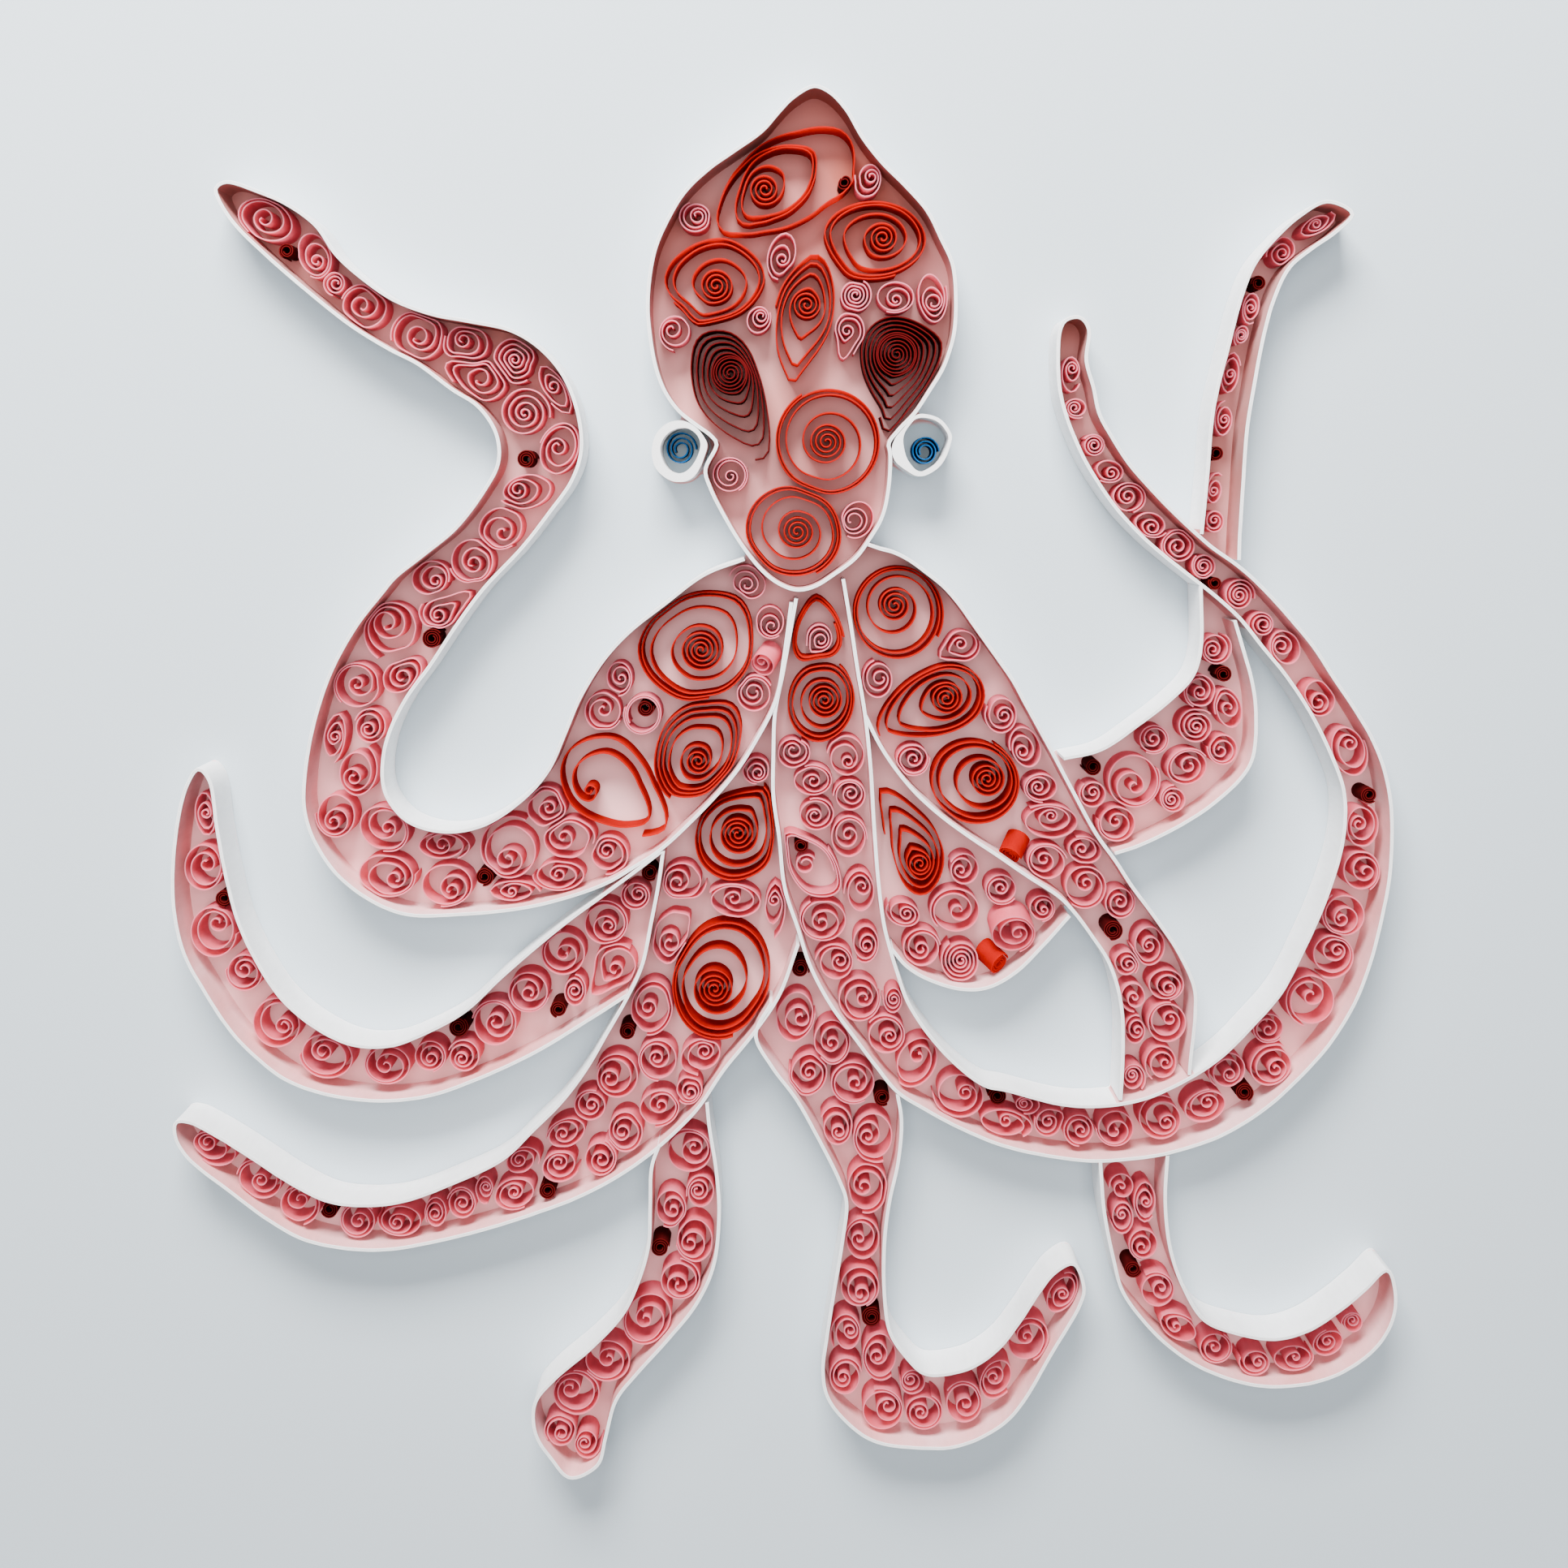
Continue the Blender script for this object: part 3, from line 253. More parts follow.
        (12.35, 10.65, 0.25, 0.84, 0.97, 1.38, 0.196, 0.36, -1.28, 1.24, 0.67, 172, -1, 0.52, [414,415,418,422,429,435,442,448,452,453,449,437,423,424,426,423,418,415,414,415,418,423,429,436,443,449,453,455,454,450,445,438,431,424,419,416]),
        (5.09, 5.37, 0.25, 1.21, 0.98, 1.06, 0.276, 0.35, -0.22, 1.25, 0.73, 117, -1, 0.83, [450,445,433,415,397,380,365,355,348,346,347,348,347,356,376,406,431,445,450,445,433,415,397,380,366,355,349,347,349,356,366,381,397,416,434,446]),
        (13.09, 2.03, 0.25, 1.21, 0.95, 1.27, 0.334, 0.27, 0.51, 1.41, 0.76, 179, -1, 0.94, [361,361,361,361,362,363,363,364,365,365,365,365,365,364,363,362,362,361,361,361,361,362,362,363,364,365,365,366,366,366,365,364,364,363,362,361]),
        (6.05, -1.97, 0.25, 1.08, 0.96, 1.41, 0.259, -0.32, -0.32, 1.41, 0.83, 113, -1, 1.02, [397,396,393,388,383,378,373,369,367,366,367,369,373,378,384,389,393,396,397,396,393,389,383,378,373,370,367,367,367,370,374,379,384,389,394,396]),
        (12.95, -6.86, 0.25, 1.05, 1.10, 0.83, 0.189, 0.01, 0.49, 1.41, 0.75, 355, 1, 0.67, [398,399,405,413,425,438,452,464,473,476,474,465,453,440,426,414,406,400,398,400,405,414,425,439,452,465,474,477,475,466,454,440,427,415,406,400]),
        (4.69, -12.48, 0.25, 2.15, 0.00, 0.00, 0.207, 0.00, 0.00, 0.50, 0.50, 37, -1, 0.00, [582,548,526,511,504,502,506,519,540,575,629,716,846,903,739,635,572,532,508,494,487,488,498,518,550,594,648,700,746,790,841,877,862,781,695,630]),
        (15.24, -18.96, 0.25, 1.02, 0.85, 0.99, 0.365, 0.53, 1.43, 1.25, 0.68, 179, -1, 0.59, [345,348,357,372,393,420,454,489,520,533,523,492,456,423,395,373,358,348,345,348,357,372,393,421,454,490,522,535,524,493,457,423,395,374,358,348]),
        (7.63, -24.69, 0.25, 1.17, 1.13, 0.90, 0.214, -0.51, -0.74, 1.57, 0.78, 126, 1, 0.89, [527,525,520,513,506,498,490,481,468,458,465,480,490,498,507,514,521,524,522,512,508,510,506,499,492,486,483,482,483,487,493,500,507,515,521,525]),
        (16.49, -29.72, 0.25, 1.05, 0.96, 1.39, 0.341, 0.35, -0.60, 1.25, 0.76, 246, 1, 0.63, [309,311,319,331,347,368,392,416,437,444,438,419,394,370,349,332,320,312,309,312,319,331,347,368,392,417,438,445,439,419,395,370,349,332,320,312]),
        (9.94, -34.09, 0.25, 1.15, 0.93, 1.19, 0.351, 1.24, 0.33, 1.41, 0.77, 170, -1, 1.04, [419,419,419,420,422,423,425,426,427,427,427,427,426,424,423,421,420,419,419,418,418,418,421,424,425,427,428,428,428,427,423,421,422,421,420,419]),
        (15.16, -41.88, 0.25, 1.15, 1.10, 1.02, 0.253, 1.15, 0.00, 1.57, 0.75, 4, -1, 0.81, [474,475,479,484,491,500,508,515,520,522,521,515,505,499,493,486,480,476,474,475,477,476,476,489,505,515,521,523,522,518,511,503,494,486,480,476]),
        (22.53, -42.01, 0.25, 1.06, 1.17, 0.75, 0.433, 0.11, -0.06, 0.92, 0.48, 177, 1, 0.95, [219,220,224,229,239,256,283,308,328,335,329,312,290,269,252,237,227,221,219,221,226,236,250,267,288,310,328,336,330,312,290,270,252,238,227,221]),
        (20.89, -49.77, 0.25, 1.15, 0.98, 1.43, 0.269, 0.99, -0.42, 1.41, 0.68, 142, -1, 0.92, [439,439,439,440,442,444,446,447,449,450,450,449,448,446,444,442,441,439,439,439,439,441,442,444,446,448,450,450,451,450,448,445,440,440,440,439]),
        (27.59, -55.77, 0.25, 0.95, 0.96, 0.75, 0.180, 0.35, 1.32, 1.41, 0.80, 232, 1, 0.60, [466,484,506,532,559,580,593,591,574,548,521,495,473,455,444,442,445,452,466,484,507,533,561,584,595,593,575,550,522,497,476,460,449,444,445,452]),
        (36.78, -63.14, 0.25, 0.97, 0.88, 1.44, 0.214, 1.44, 0.53, 1.57, 0.83, 181, 1, 1.09, [558,547,535,522,508,493,493,502,509,516,525,536,548,559,567,572,571,567,558,547,536,525,515,504,495,500,508,517,526,538,549,560,568,572,572,567]),
        (51.63, -65.34, 0.25, 1.06, 0.90, 1.03, 0.534, -0.76, 0.23, 0.88, 0.48, 250, 1, 0.80, [311,307,295,281,265,251,238,231,228,227,229,234,242,254,268,283,298,308,311,306,294,274,253,238,230,229,227,227,229,234,242,252,262,273,290,306]),
        (46.77, -69.47, 0.25, 0.93, 0.60, 1.33, 0.306, 0.22, 0.56, 1.22, 0.70, 324, 1, 0.60, [588,525,459,403,369,349,333,324,321,325,337,356,383,422,474,536,595,623,588,527,465,412,372,347,331,323,321,326,337,356,384,423,474,536,596,623]),
        (56.15, -69.27, 0.25, 0.96, 0.93, 1.19, 0.236, -0.00, 0.16, 1.25, 0.70, 158, 1, 0.57, [335,364,400,417,405,380,358,344,338,338,339,336,329,320,320,319,316,313,312,312,314,317,321,326,331,335,339,341,341,339,335,330,324,318,316,320]),
        (62.78, -70.85, 0.25, 1.09, 1.03, 0.89, 0.287, 0.50, -0.13, 1.25, 0.60, 271, -1, 0.65, [348,348,350,353,357,362,368,372,376,378,379,377,373,368,360,351,347,348,349,349,351,354,358,363,368,373,377,379,379,377,374,369,364,359,354,351]),
        (70.56, -70.26, 0.25, 1.12, 0.86, 0.74, 0.235, -0.11, -0.78, 1.41, 0.74, 186, 1, 0.66, [423,422,421,422,424,426,428,431,433,435,436,436,435,434,431,429,426,424,421,421,421,423,424,427,429,432,434,436,437,437,436,434,432,429,427,424]),
        (80.13, -68.10, 0.25, 1.20, 0.89, 1.36, 0.361, 1.55, -1.22, 1.57, 0.81, 64, 1, 1.03, [496,494,494,495,496,499,502,505,508,510,512,512,511,509,507,504,500,498,496,495,494,495,497,500,503,506,509,511,513,513,512,510,507,504,501,498]),
        (90.05, -65.76, 0.25, 1.19, 1.01, 1.01, 0.368, 0.43, 1.01, 1.41, 0.65, 80, 1, 0.96, [486,504,511,506,489,466,442,421,404,391,382,379,381,389,401,418,439,462,486,504,511,506,490,467,443,422,405,391,383,380,382,389,402,419,439,462]),
        (94.52, -57.54, 0.25, 1.19, 0.93, 1.41, 0.353, 0.53, -1.11, 1.25, 0.75, 234, -1, 0.50, [425,429,434,437,439,438,437,434,430,425,419,409,393,387,395,409,417,422,426,431,435,438,439,439,438,435,431,426,421,415,404,399,409,415,418,422]),
        (103.76, -56.52, 0.25, 1.34, 1.01, 0.97, 0.354, 1.12, -0.83, 1.41, 0.70, 57, 1, 1.03, [485,495,503,509,511,508,502,492,477,461,458,456,453,452,454,458,465,474,484,493,503,509,511,509,503,495,485,475,466,459,454,451,451,458,466,475]),
        (103.21, -48.36, 0.25, 1.19, 0.93, 0.72, 0.289, 0.05, -0.34, 1.25, 0.59, 320, -1, 1.10, [365,363,361,359,357,355,354,354,354,356,357,360,362,364,366,367,367,367,365,364,361,359,357,356,355,354,352,346,344,352,360,364,366,367,367,367]),
        (111.87, -42.28, 0.25, 0.97, 0.98, 0.70, 0.153, 0.17, 1.04, 1.72, 0.92, 257, -1, 0.73, [547,545,546,547,551,553,553,556,569,577,580,580,577,573,567,561,556,551,547,546,546,548,552,558,564,570,575,580,582,581,579,574,568,562,556,551]),
        (116.16, -32.71, 0.25, 1.27, 1.08, 1.31, 0.356, 1.37, 1.23, 1.41, 0.72, 250, 1, 1.07, [491,489,488,487,488,488,484,475,478,492,501,504,505,504,503,500,497,494,491,489,488,488,488,486,481,484,495,501,504,506,506,505,503,501,497,494]),
        (118.60, -23.39, 0.25, 1.28, 0.95, 1.22, 0.285, -0.51, -1.22, 1.41, 0.86, 123, 1, 0.78, [490,488,487,486,487,488,490,492,496,499,501,503,503,503,501,499,496,493,490,488,487,487,487,487,483,474,477,491,500,503,504,504,502,499,496,493]),
        (121.66, -14.12, 0.25, 1.13, 0.99, 0.79, 0.324, 1.34, -0.25, 1.41, 0.81, 299, 1, 0.53, [435,434,435,438,444,451,458,462,460,458,470,475,473,466,459,451,444,438,435,434,435,439,445,452,460,468,474,479,480,479,474,467,459,451,444,438]),
        (121.89, -4.49, 0.25, 1.13, 1.07, 1.04, 0.317, -0.71, 0.52, 1.25, 0.67, 77, -1, 0.53, [361,362,369,381,398,419,445,469,484,501,506,491,465,437,412,392,377,366,361,362,369,381,398,420,446,472,488,492,499,490,465,438,413,392,377,366]),
        (118.54, 11.61, 0.22, 1.10, 1.10, 1.00, 0.273, 0.27, 1.58, 1.25, 0.75, 36, -1, 0.60, [410,398,393,395,404,420,442,471,508,548,584,602,595,563,524,485,453,428,410,397,391,392,404,420,442,472,509,549,585,604,596,564,525,486,453,428]),
        (111.59, 23.74, 0.25, 1.00, 0.98, 0.85, 0.498, 0.25, -1.70, 1.41, 0.68, 193, 1, 0.65, [404,374,355,344,344,356,377,410,450,479,497,507,510,503,490,473,453,429,393,361,342,334,337,352,377,418,457,482,499,509,511,504,491,473,454,433]),
        (104.88, 33.15, 0.25, 1.04, 1.02, 0.96, 0.443, -1.20, 0.77, 1.41, 0.78, 239, -1, 0.97, [372,362,356,355,358,367,380,396,416,437,456,468,471,463,446,425,404,387,372,361,355,351,347,352,368,392,415,437,457,469,472,463,446,425,405,387]),
        (99.34, 38.52, 0.25, 1.23, 0.85, 0.86, 0.535, 0.52, -0.06, 1.25, 0.74, 227, -1, 1.03, [286,285,284,283,283,283,284,284,286,287,288,289,290,290,290,289,288,287,286,283,276,266,264,270,279,284,286,287,288,289,290,290,290,290,289,287]),
        (94.59, 44.68, 0.25, 0.00, 3.12, 0.50, 0.000, 0.00, 0.00, 0.80, 0.60, 347, 1, 0.50, [339,338,338,340,342,344,348,352,355,357,358,358,356,354,351,347,344,341,339,338,338,336,330,326,334,347,354,358,359,359,357,354,351,347,344,341]),
        (87.11, 50.77, 0.25, 1.18, 1.07, 1.48, 0.374, -0.12, -0.03, 1.10, 0.62, 127, 1, 0.56, [267,267,267,269,271,274,277,280,283,285,286,285,283,281,277,274,271,269,267,267,267,269,271,274,278,281,283,285,283,274,261,265,272,273,271,269]),
        (81.71, 54.95, 0.25, 1.35, 0.99, 0.92, 0.366, -0.19, -0.10, 1.41, 0.76, 215, -1, 0.96, [374,371,365,350,336,333,340,357,368,372,374,374,371,363,363,372,375,375,374,371,366,352,336,329,332,346,363,372,375,376,377,378,378,377,376,375]),
        (75.86, 59.68, 0.25, 1.02, 0.91, 0.99, 0.487, 0.14, -0.79, 1.25, 0.63, 328, -1, 0.89, [397,379,359,341,325,313,304,301,301,306,314,327,342,357,373,396,408,408,396,372,342,323,312,308,304,301,301,306,315,328,344,360,372,385,403,407]),
        (71.09, 65.06, 0.25, 1.11, 0.98, 1.17, 0.274, -0.15, 0.27, 1.25, 0.68, 289, 1, 1.10, [373,370,366,360,353,347,342,338,336,336,338,342,347,353,359,365,370,372,372,367,353,339,335,339,340,338,337,337,338,339,339,344,356,365,370,373]),
        (66.55, 70.75, 0.25, 1.02, 0.80, 0.97, 0.450, 0.88, -0.62, 0.93, 0.43, 236, 1, 0.65, [360,342,322,303,288,276,268,264,264,269,277,289,305,324,344,362,372,369,350,324,308,298,287,276,268,264,265,269,277,290,306,324,344,362,372,371]),
        (63.60, 75.83, 0.25, 1.34, 0.99, 0.96, 0.461, 0.10, 0.14, 0.94, 0.58, 143, -1, 0.63, [248,247,246,246,245,245,245,245,246,246,247,248,248,249,249,249,249,249,248,247,247,246,245,245,245,245,246,247,247,248,249,249,249,249,249,249]),
        (59.91, 83.56, 0.25, 0.95, 1.22, 0.91, 0.345, -0.45, 0.03, 0.83, 0.44, 303, -1, 0.92, [265,263,258,252,246,240,234,231,228,228,229,232,237,243,249,256,261,264,263,257,254,251,246,240,235,231,229,228,229,233,237,243,249,256,261,264]),
        (58.65, 90.69, 0.25, 1.01, 1.09, 0.94, 0.550, 0.32, 1.10, 0.94, 0.43, 312, -1, 0.96, [229,231,238,251,268,292,323,361,397,417,405,370,332,299,274,255,241,233,229,232,238,251,268,293,324,361,398,418,406,371,333,300,274,255,241,233]),
    ],
    "arm_long_right_maroon_rolls": [
        (2.73, -8.63, 0.22, 0.00, 3.64, 0.00, 0.000, 0.00, 0.00, 0.30, 0.30, 104, -1, 0.00, [172,172,172,171,168,161,159,160,168,173,174,174,174,174,173,173,173,172,172,172,173,173,173,174,174,175,175,175,175,175,174,174,173,173,173,172]),
        (45.11, -63.42, 0.22, 0.00, 4.77, 0.00, 0.000, 0.00, 0.00, 0.30, 0.30, 174, -1, 0.00, [210,209,209,210,211,212,213,214,215,215,216,216,215,214,213,212,211,210,210,209,210,210,211,212,213,214,215,216,216,216,215,214,213,212,211,210]),
        (98.22, -62.56, 0.22, 0.00, 4.76, 0.00, 0.000, 0.00, 0.00, 0.30, 0.30, 297, 1, 0.00, [210,209,209,209,209,210,212,213,214,215,216,215,213,212,213,213,212,211,210,209,209,209,210,211,212,213,215,216,216,217,217,216,215,213,212,211]),
        (123.08, 2.26, 0.22, 0.00, 4.14, 0.00, 0.000, 0.00, 0.00, 0.30, 0.30, 314, -1, 0.00, [189,188,187,187,187,187,188,189,190,191,192,193,193,193,193,192,191,190,189,188,187,187,187,187,186,186,187,190,192,193,193,193,193,192,191,190]),
        (89.44, 47.21, 0.22, 0.00, 3.10, 0.00, 0.000, 0.00, 0.00, 0.30, 0.30, 148, 1, 0.00, [153,152,152,151,151,151,151,152,152,153,153,152,150,150,152,154,154,153,153,152,152,151,151,151,152,152,153,153,154,154,155,155,155,155,154,154]),
    ],
    "arm_upper_right_tip_pink_coils": [
        (108.54, 120.91, 0.22, 1.10, 1.10, 1.00, 0.458, -0.02, 0.18, 0.78, 0.47, 42, -1, 0.45, [303,356,413,444,408,351,299,261,234,215,202,195,193,195,203,217,236,264,303,356,413,444,409,351,300,261,234,215,202,195,193,195,203,217,236,264]),
        (101.62, 115.51, 0.25, 0.98, 0.81, 1.22, 0.506, 0.20, -0.30, 1.25, 0.64, 199, -1, 0.70, [325,333,340,347,353,357,359,357,352,342,317,292,274,265,263,269,284,304,322,332,340,347,354,358,360,358,353,340,309,279,261,255,257,271,292,315]),
        (95.59, 104.17, 0.22, 1.10, 1.10, 0.70, 0.398, -0.07, -0.09, 0.78, 0.47, 278, -1, 0.60, [196,201,212,228,248,275,307,334,346,347,319,286,257,234,217,204,197,194,196,201,212,228,248,276,308,340,358,351,321,287,257,234,217,204,197,194]),
        (93.73, 98.46, 0.22, 1.10, 1.10, 0.70, 0.546, -0.01, 0.01, 0.75, 0.45, 241, -1, 0.66, [164,171,181,193,208,222,232,237,236,227,212,197,184,173,166,161,159,161,164,171,181,193,208,223,236,241,238,227,213,197,184,174,166,161,160,161]),
        (91.71, 90.60, 0.22, 1.10, 1.10, 1.00, 0.326, -0.03, -0.04, 0.78, 0.47, 40, 1, 0.38, [213,220,232,249,275,311,359,416,463,452,399,344,298,263,239,224,216,213,213,220,232,249,275,311,360,417,464,453,400,345,300,267,244,228,218,213]),
        (90.46, 81.19, 0.25, 1.07, 1.10, 0.90, 0.446, 0.22, 0.02, 0.78, 0.43, 88, 1, 0.72, [213,217,226,240,260,286,321,359,393,399,373,334,298,268,246,230,219,214,213,217,226,240,260,287,321,360,394,400,373,335,298,269,247,230,219,214]),
        (89.11, 66.75, 0.25, 1.01, 0.81, 0.87, 0.548, -0.30, -0.27, 0.78, 0.43, 65, 1, 0.59, [198,203,214,230,251,279,313,348,368,358,325,290,260,236,219,206,199,196,198,203,214,230,251,279,314,348,368,358,326,291,260,237,219,206,199,196]),
        (89.09, 60.17, 0.25, 0.96, 0.85, 0.80, 0.342, -0.03, 0.20, 0.78, 0.44, 220, 1, 0.95, [213,213,215,218,223,229,235,241,245,248,248,245,241,235,229,223,218,215,213,213,215,218,223,229,235,241,246,248,248,246,241,235,229,223,218,215]),
    ],
    "arm_upper_right_tip_maroon_rolls": [
        (97.02, 109.12, 0.22, 0.00, 3.46, 0.00, 0.000, 0.00, 0.00, 0.30, 0.30, 187, -1, 0.00, [167,166,166,165,164,164,164,164,164,165,165,166,167,168,168,168,168,168,167,166,166,165,164,163,161,160,163,164,166,166,167,168,168,168,168,168]),
        (89.00, 74.31, 0.22, 0.00, 3.53, 0.00, 0.000, 0.00, 0.00, 0.30, 0.30, 156, 1, 0.00, [169,168,167,167,166,166,166,167,167,168,168,169,170,170,170,170,169,167,166,167,167,167,167,166,166,167,167,168,168,169,170,170,170,170,170,169]),
    ],
    "arm_upper_right_pink_coils": [
        (90.04, 33.46, 0.25, 1.19, 1.13, 1.25, 0.378, -0.65, -0.28, 1.25, 0.59, 56, -1, 1.08, [340,339,340,341,344,347,350,354,357,359,360,360,358,355,352,348,345,342,340,339,340,341,344,347,351,355,358,360,361,360,359,356,352,348,345,342]),
        (86.75, 24.46, 0.25, 1.18, 0.95, 1.29, 0.260, 0.04, -0.27, 1.25, 0.69, 247, -1, 0.68, [352,356,358,360,363,366,370,373,377,379,379,377,367,348,336,339,351,358,358,358,359,360,363,366,369,368,363,363,372,378,377,373,365,351,341,343]),
        (92.95, 20.54, 0.25, 1.07, 0.93, 0.72, 0.284, -0.03, 0.30, 1.25, 0.66, 201, -1, 0.57, [312,305,304,309,319,336,358,387,421,457,484,487,459,414,379,359,341,324,312,305,304,309,320,336,358,387,422,458,485,489,468,434,399,368,343,325]),
        (86.23, 16.89, 0.25, 0.00, 3.12, 0.50, 0.000, 0.00, 0.00, 0.80, 0.60, 42, 1, 0.50, [413,411,409,406,403,400,397,392,383,383,394,401,405,409,411,413,414,414,413,411,409,406,403,401,399,398,398,399,401,403,404,400,393,397,408,413]),
        (77.29, 14.18, 0.25, 1.35, 0.89, 0.90, 0.308, -0.15, 0.02, 1.25, 0.65, 239, 1, 1.01, [342,340,338,335,332,330,328,326,326,327,328,330,333,336,338,341,342,342,342,340,338,335,332,330,328,327,327,327,329,331,333,336,339,341,342,342]),
        (91.98, 12.21, 0.25, 1.35, 0.85, 0.76, 0.406, -0.47, -0.52, 1.25, 0.75, 174, 1, 0.86, [342,341,342,343,346,350,354,357,361,363,364,362,354,341,334,338,343,343,342,341,342,344,346,350,354,358,361,364,365,364,362,359,355,351,347,344]),
        (84.49, 8.20, 0.25, 1.31, 1.12, 0.74, 0.249, 0.33, 0.34, 1.41, 0.80, 31, 1, 0.55, [458,464,465,462,455,446,435,424,415,408,404,403,405,410,417,427,438,448,458,464,466,463,455,444,428,418,414,408,405,403,405,410,418,427,438,449]),
        (73.21, 5.44, 0.25, 1.16, 0.86, 1.05, 0.172, 0.35, -1.32, 1.72, 0.84, 24, -1, 0.85, [577,576,576,578,581,585,590,594,598,601,602,602,600,596,592,587,583,579,577,576,577,579,582,585,587,585,594,601,604,603,601,598,593,588,584,580]),
        (81.80, 1.39, 0.25, 1.28, 0.99, 1.39, 0.454, -0.65, -0.07, 1.10, 0.51, 92, 1, 1.06, [307,306,305,305,305,305,303,299,301,308,311,312,312,312,311,310,309,308,307,306,305,305,305,306,307,308,310,311,312,313,313,312,312,311,309,308]),
        (64.64, 2.38, 0.25, 0.95, 0.81, 1.11, 0.287, -0.00, 0.48, 1.10, 0.56, 130, 1, 0.76, [307,306,305,305,306,306,307,308,309,310,311,312,312,311,311,310,309,308,307,306,306,306,306,307,308,309,310,311,312,312,312,312,311,310,309,308]),
        (69.84, -3.87, 0.25, 1.15, 0.85, 0.96, 0.220, -0.23, 0.43, 1.25, 0.58, 168, 1, 0.67, [416,414,412,409,406,402,395,390,396,401,404,406,409,411,414,415,416,416,416,414,412,410,407,405,404,403,403,404,405,407,410,412,414,416,417,416]),
    ],
    "arm_upper_right_maroon_rolls": [
        (91.71, 27.97, 0.22, 0.00, 4.09, 0.00, 0.000, 0.00, 0.00, 0.30, 0.30, 178, -1, 0.00, [188,187,187,186,186,186,187,187,188,189,190,190,190,191,190,190,189,189,188,187,187,186,186,186,187,187,188,189,190,190,191,191,191,190,189,189]),
        (64.54, 8.29, 0.22, 0.00, 4.13, 0.00, 0.000, 0.00, 0.00, 0.30, 0.30, 196, 1, 0.00, [189,188,188,188,188,188,189,189,190,191,191,192,192,191,191,191,190,189,189,188,188,188,188,188,189,190,190,191,191,192,192,192,191,191,190,189]),
    ],
    "arm_upper_right_root_red_coils": [
        (25.96, -8.16, 0.32, 1.40, 1.22, 2.82, 0.465, 2.07, -4.42, 2.13, 0.55, 160, -1, 0.50, [724,688,665,653,652,662,682,718,778,874,1019,1200,1315,978,772,658,587,543,518,507,510,527,561,621,714,840,997,1159,1249,1242,1151,1057,969,894,830,773]),
        (43.67, -33.31, 0.26, 0.00, 5.12, 0.00, 0.000, 0.00, 0.00, 0.30, 0.30, 24, 1, 0.00, [243,244,247,253,260,269,277,285,295,300,299,293,284,274,264,255,247,240,235,237,243,252,261,271,281,291,298,301,299,294,285,274,264,256,249,245]),
    ],
    "arm_upper_right_root_pink_coils": [
        (37.64, -13.87, 0.25, 0.96, 0.91, 0.88, 0.339, -0.86, -0.18, 1.25, 0.59, 151, -1, 0.75, [344,344,346,348,352,356,360,364,366,368,368,366,363,359,355,351,348,345,344,344,346,348,352,356,360,364,367,369,368,367,364,360,356,351,348,346]),
        (45.45, -18.06, 0.25, 1.23, 0.80, 1.22, 0.279, -0.14, 0.27, 1.25, 0.67, 326, -1, 0.86, [363,362,360,358,355,353,352,351,350,350,351,353,355,357,359,361,362,363,363,362,360,358,356,354,352,351,351,350,350,352,355,358,360,361,363,363]),
        (53.98, -22.06, 0.25, 1.31, 0.77, 1.11, 0.380, 0.47, -0.42, 0.93, 0.43, 275, 1, 0.95, [309,308,308,308,309,310,311,312,313,314,315,315,315,314,313,312,311,309,308,304,296,287,288,297,307,312,314,315,315,315,315,314,313,312,311,310]),
        (24.59, -23.36, 0.25, 1.12, 1.13, 1.01, 0.330, 0.77, -0.19, 1.10, 0.59, 147, 1, 0.62, [380,361,342,325,312,302,296,295,297,304,315,330,347,366,384,397,400,394,380,361,342,325,312,302,297,295,298,305,315,330,347,367,385,397,401,394]),
        (35.65, -22.66, 0.25, 1.05, 0.91, 0.79, 0.163, 0.77, -0.18, 1.72, 0.85, 223, -1, 0.69, [544,542,537,530,522,514,508,502,500,499,501,505,511,518,526,534,540,544,544,542,537,531,523,515,509,504,501,500,502,506,512,519,527,534,540,544]),
        (47.47, -26.45, 0.25, 1.29, 1.09, 0.93, 0.294, 1.38, 0.27, 1.57, 0.78, 294, 1, 0.86, [508,505,497,485,487,495,498,499,499,499,499,501,504,506,508,509,510,509,509,508,506,504,501,495,491,497,500,501,502,504,506,507,509,510,510,510]),
        (28.55, -30.77, 0.25, 1.01, 1.02, 1.19, 0.194, -0.10, -0.37, 1.41, 0.66, 11, 1, 0.96, [418,418,418,419,420,422,423,425,426,427,427,427,426,425,423,422,420,419,418,418,418,417,414,408,412,421,426,427,428,428,427,425,424,422,421,419]),
        (36.98, -33.67, 0.25, 0.00, 4.20, 0.50, 0.000, 0.00, 0.00, 0.80, 0.60, 122, 1, 0.50, [422,426,436,444,452,460,468,475,480,483,482,479,472,465,457,449,443,439,437,438,441,446,453,460,468,471,470,474,480,479,473,465,457,449,442,432]),
    ],
    "arm_lower_right_red_coils": [
        (23.10, 40.71, 0.32, 1.41, 1.13, 4.49, 0.174, -0.66, 1.78, 3.06, 0.55, 330, 1, 0.50, [970,970,973,979,985,991,999,1011,1018,1021,1021,1017,1010,1002,993,984,977,972,970,971,975,981,990,999,1009,1017,1023,1026,1026,1022,1015,1006,996,987,979,973]),
        (30.48, 21.25, 0.32, 1.23, 1.35, 4.36, 0.217, 2.96, 1.56, 2.99, 0.55, 210, -1, 0.50, [1116,1176,1203,1200,1169,1112,1040,966,892,823,772,743,729,730,746,776,824,892,987,1109,1232,1292,1130,985,877,804,755,726,712,713,731,765,816,882,963,1046]),
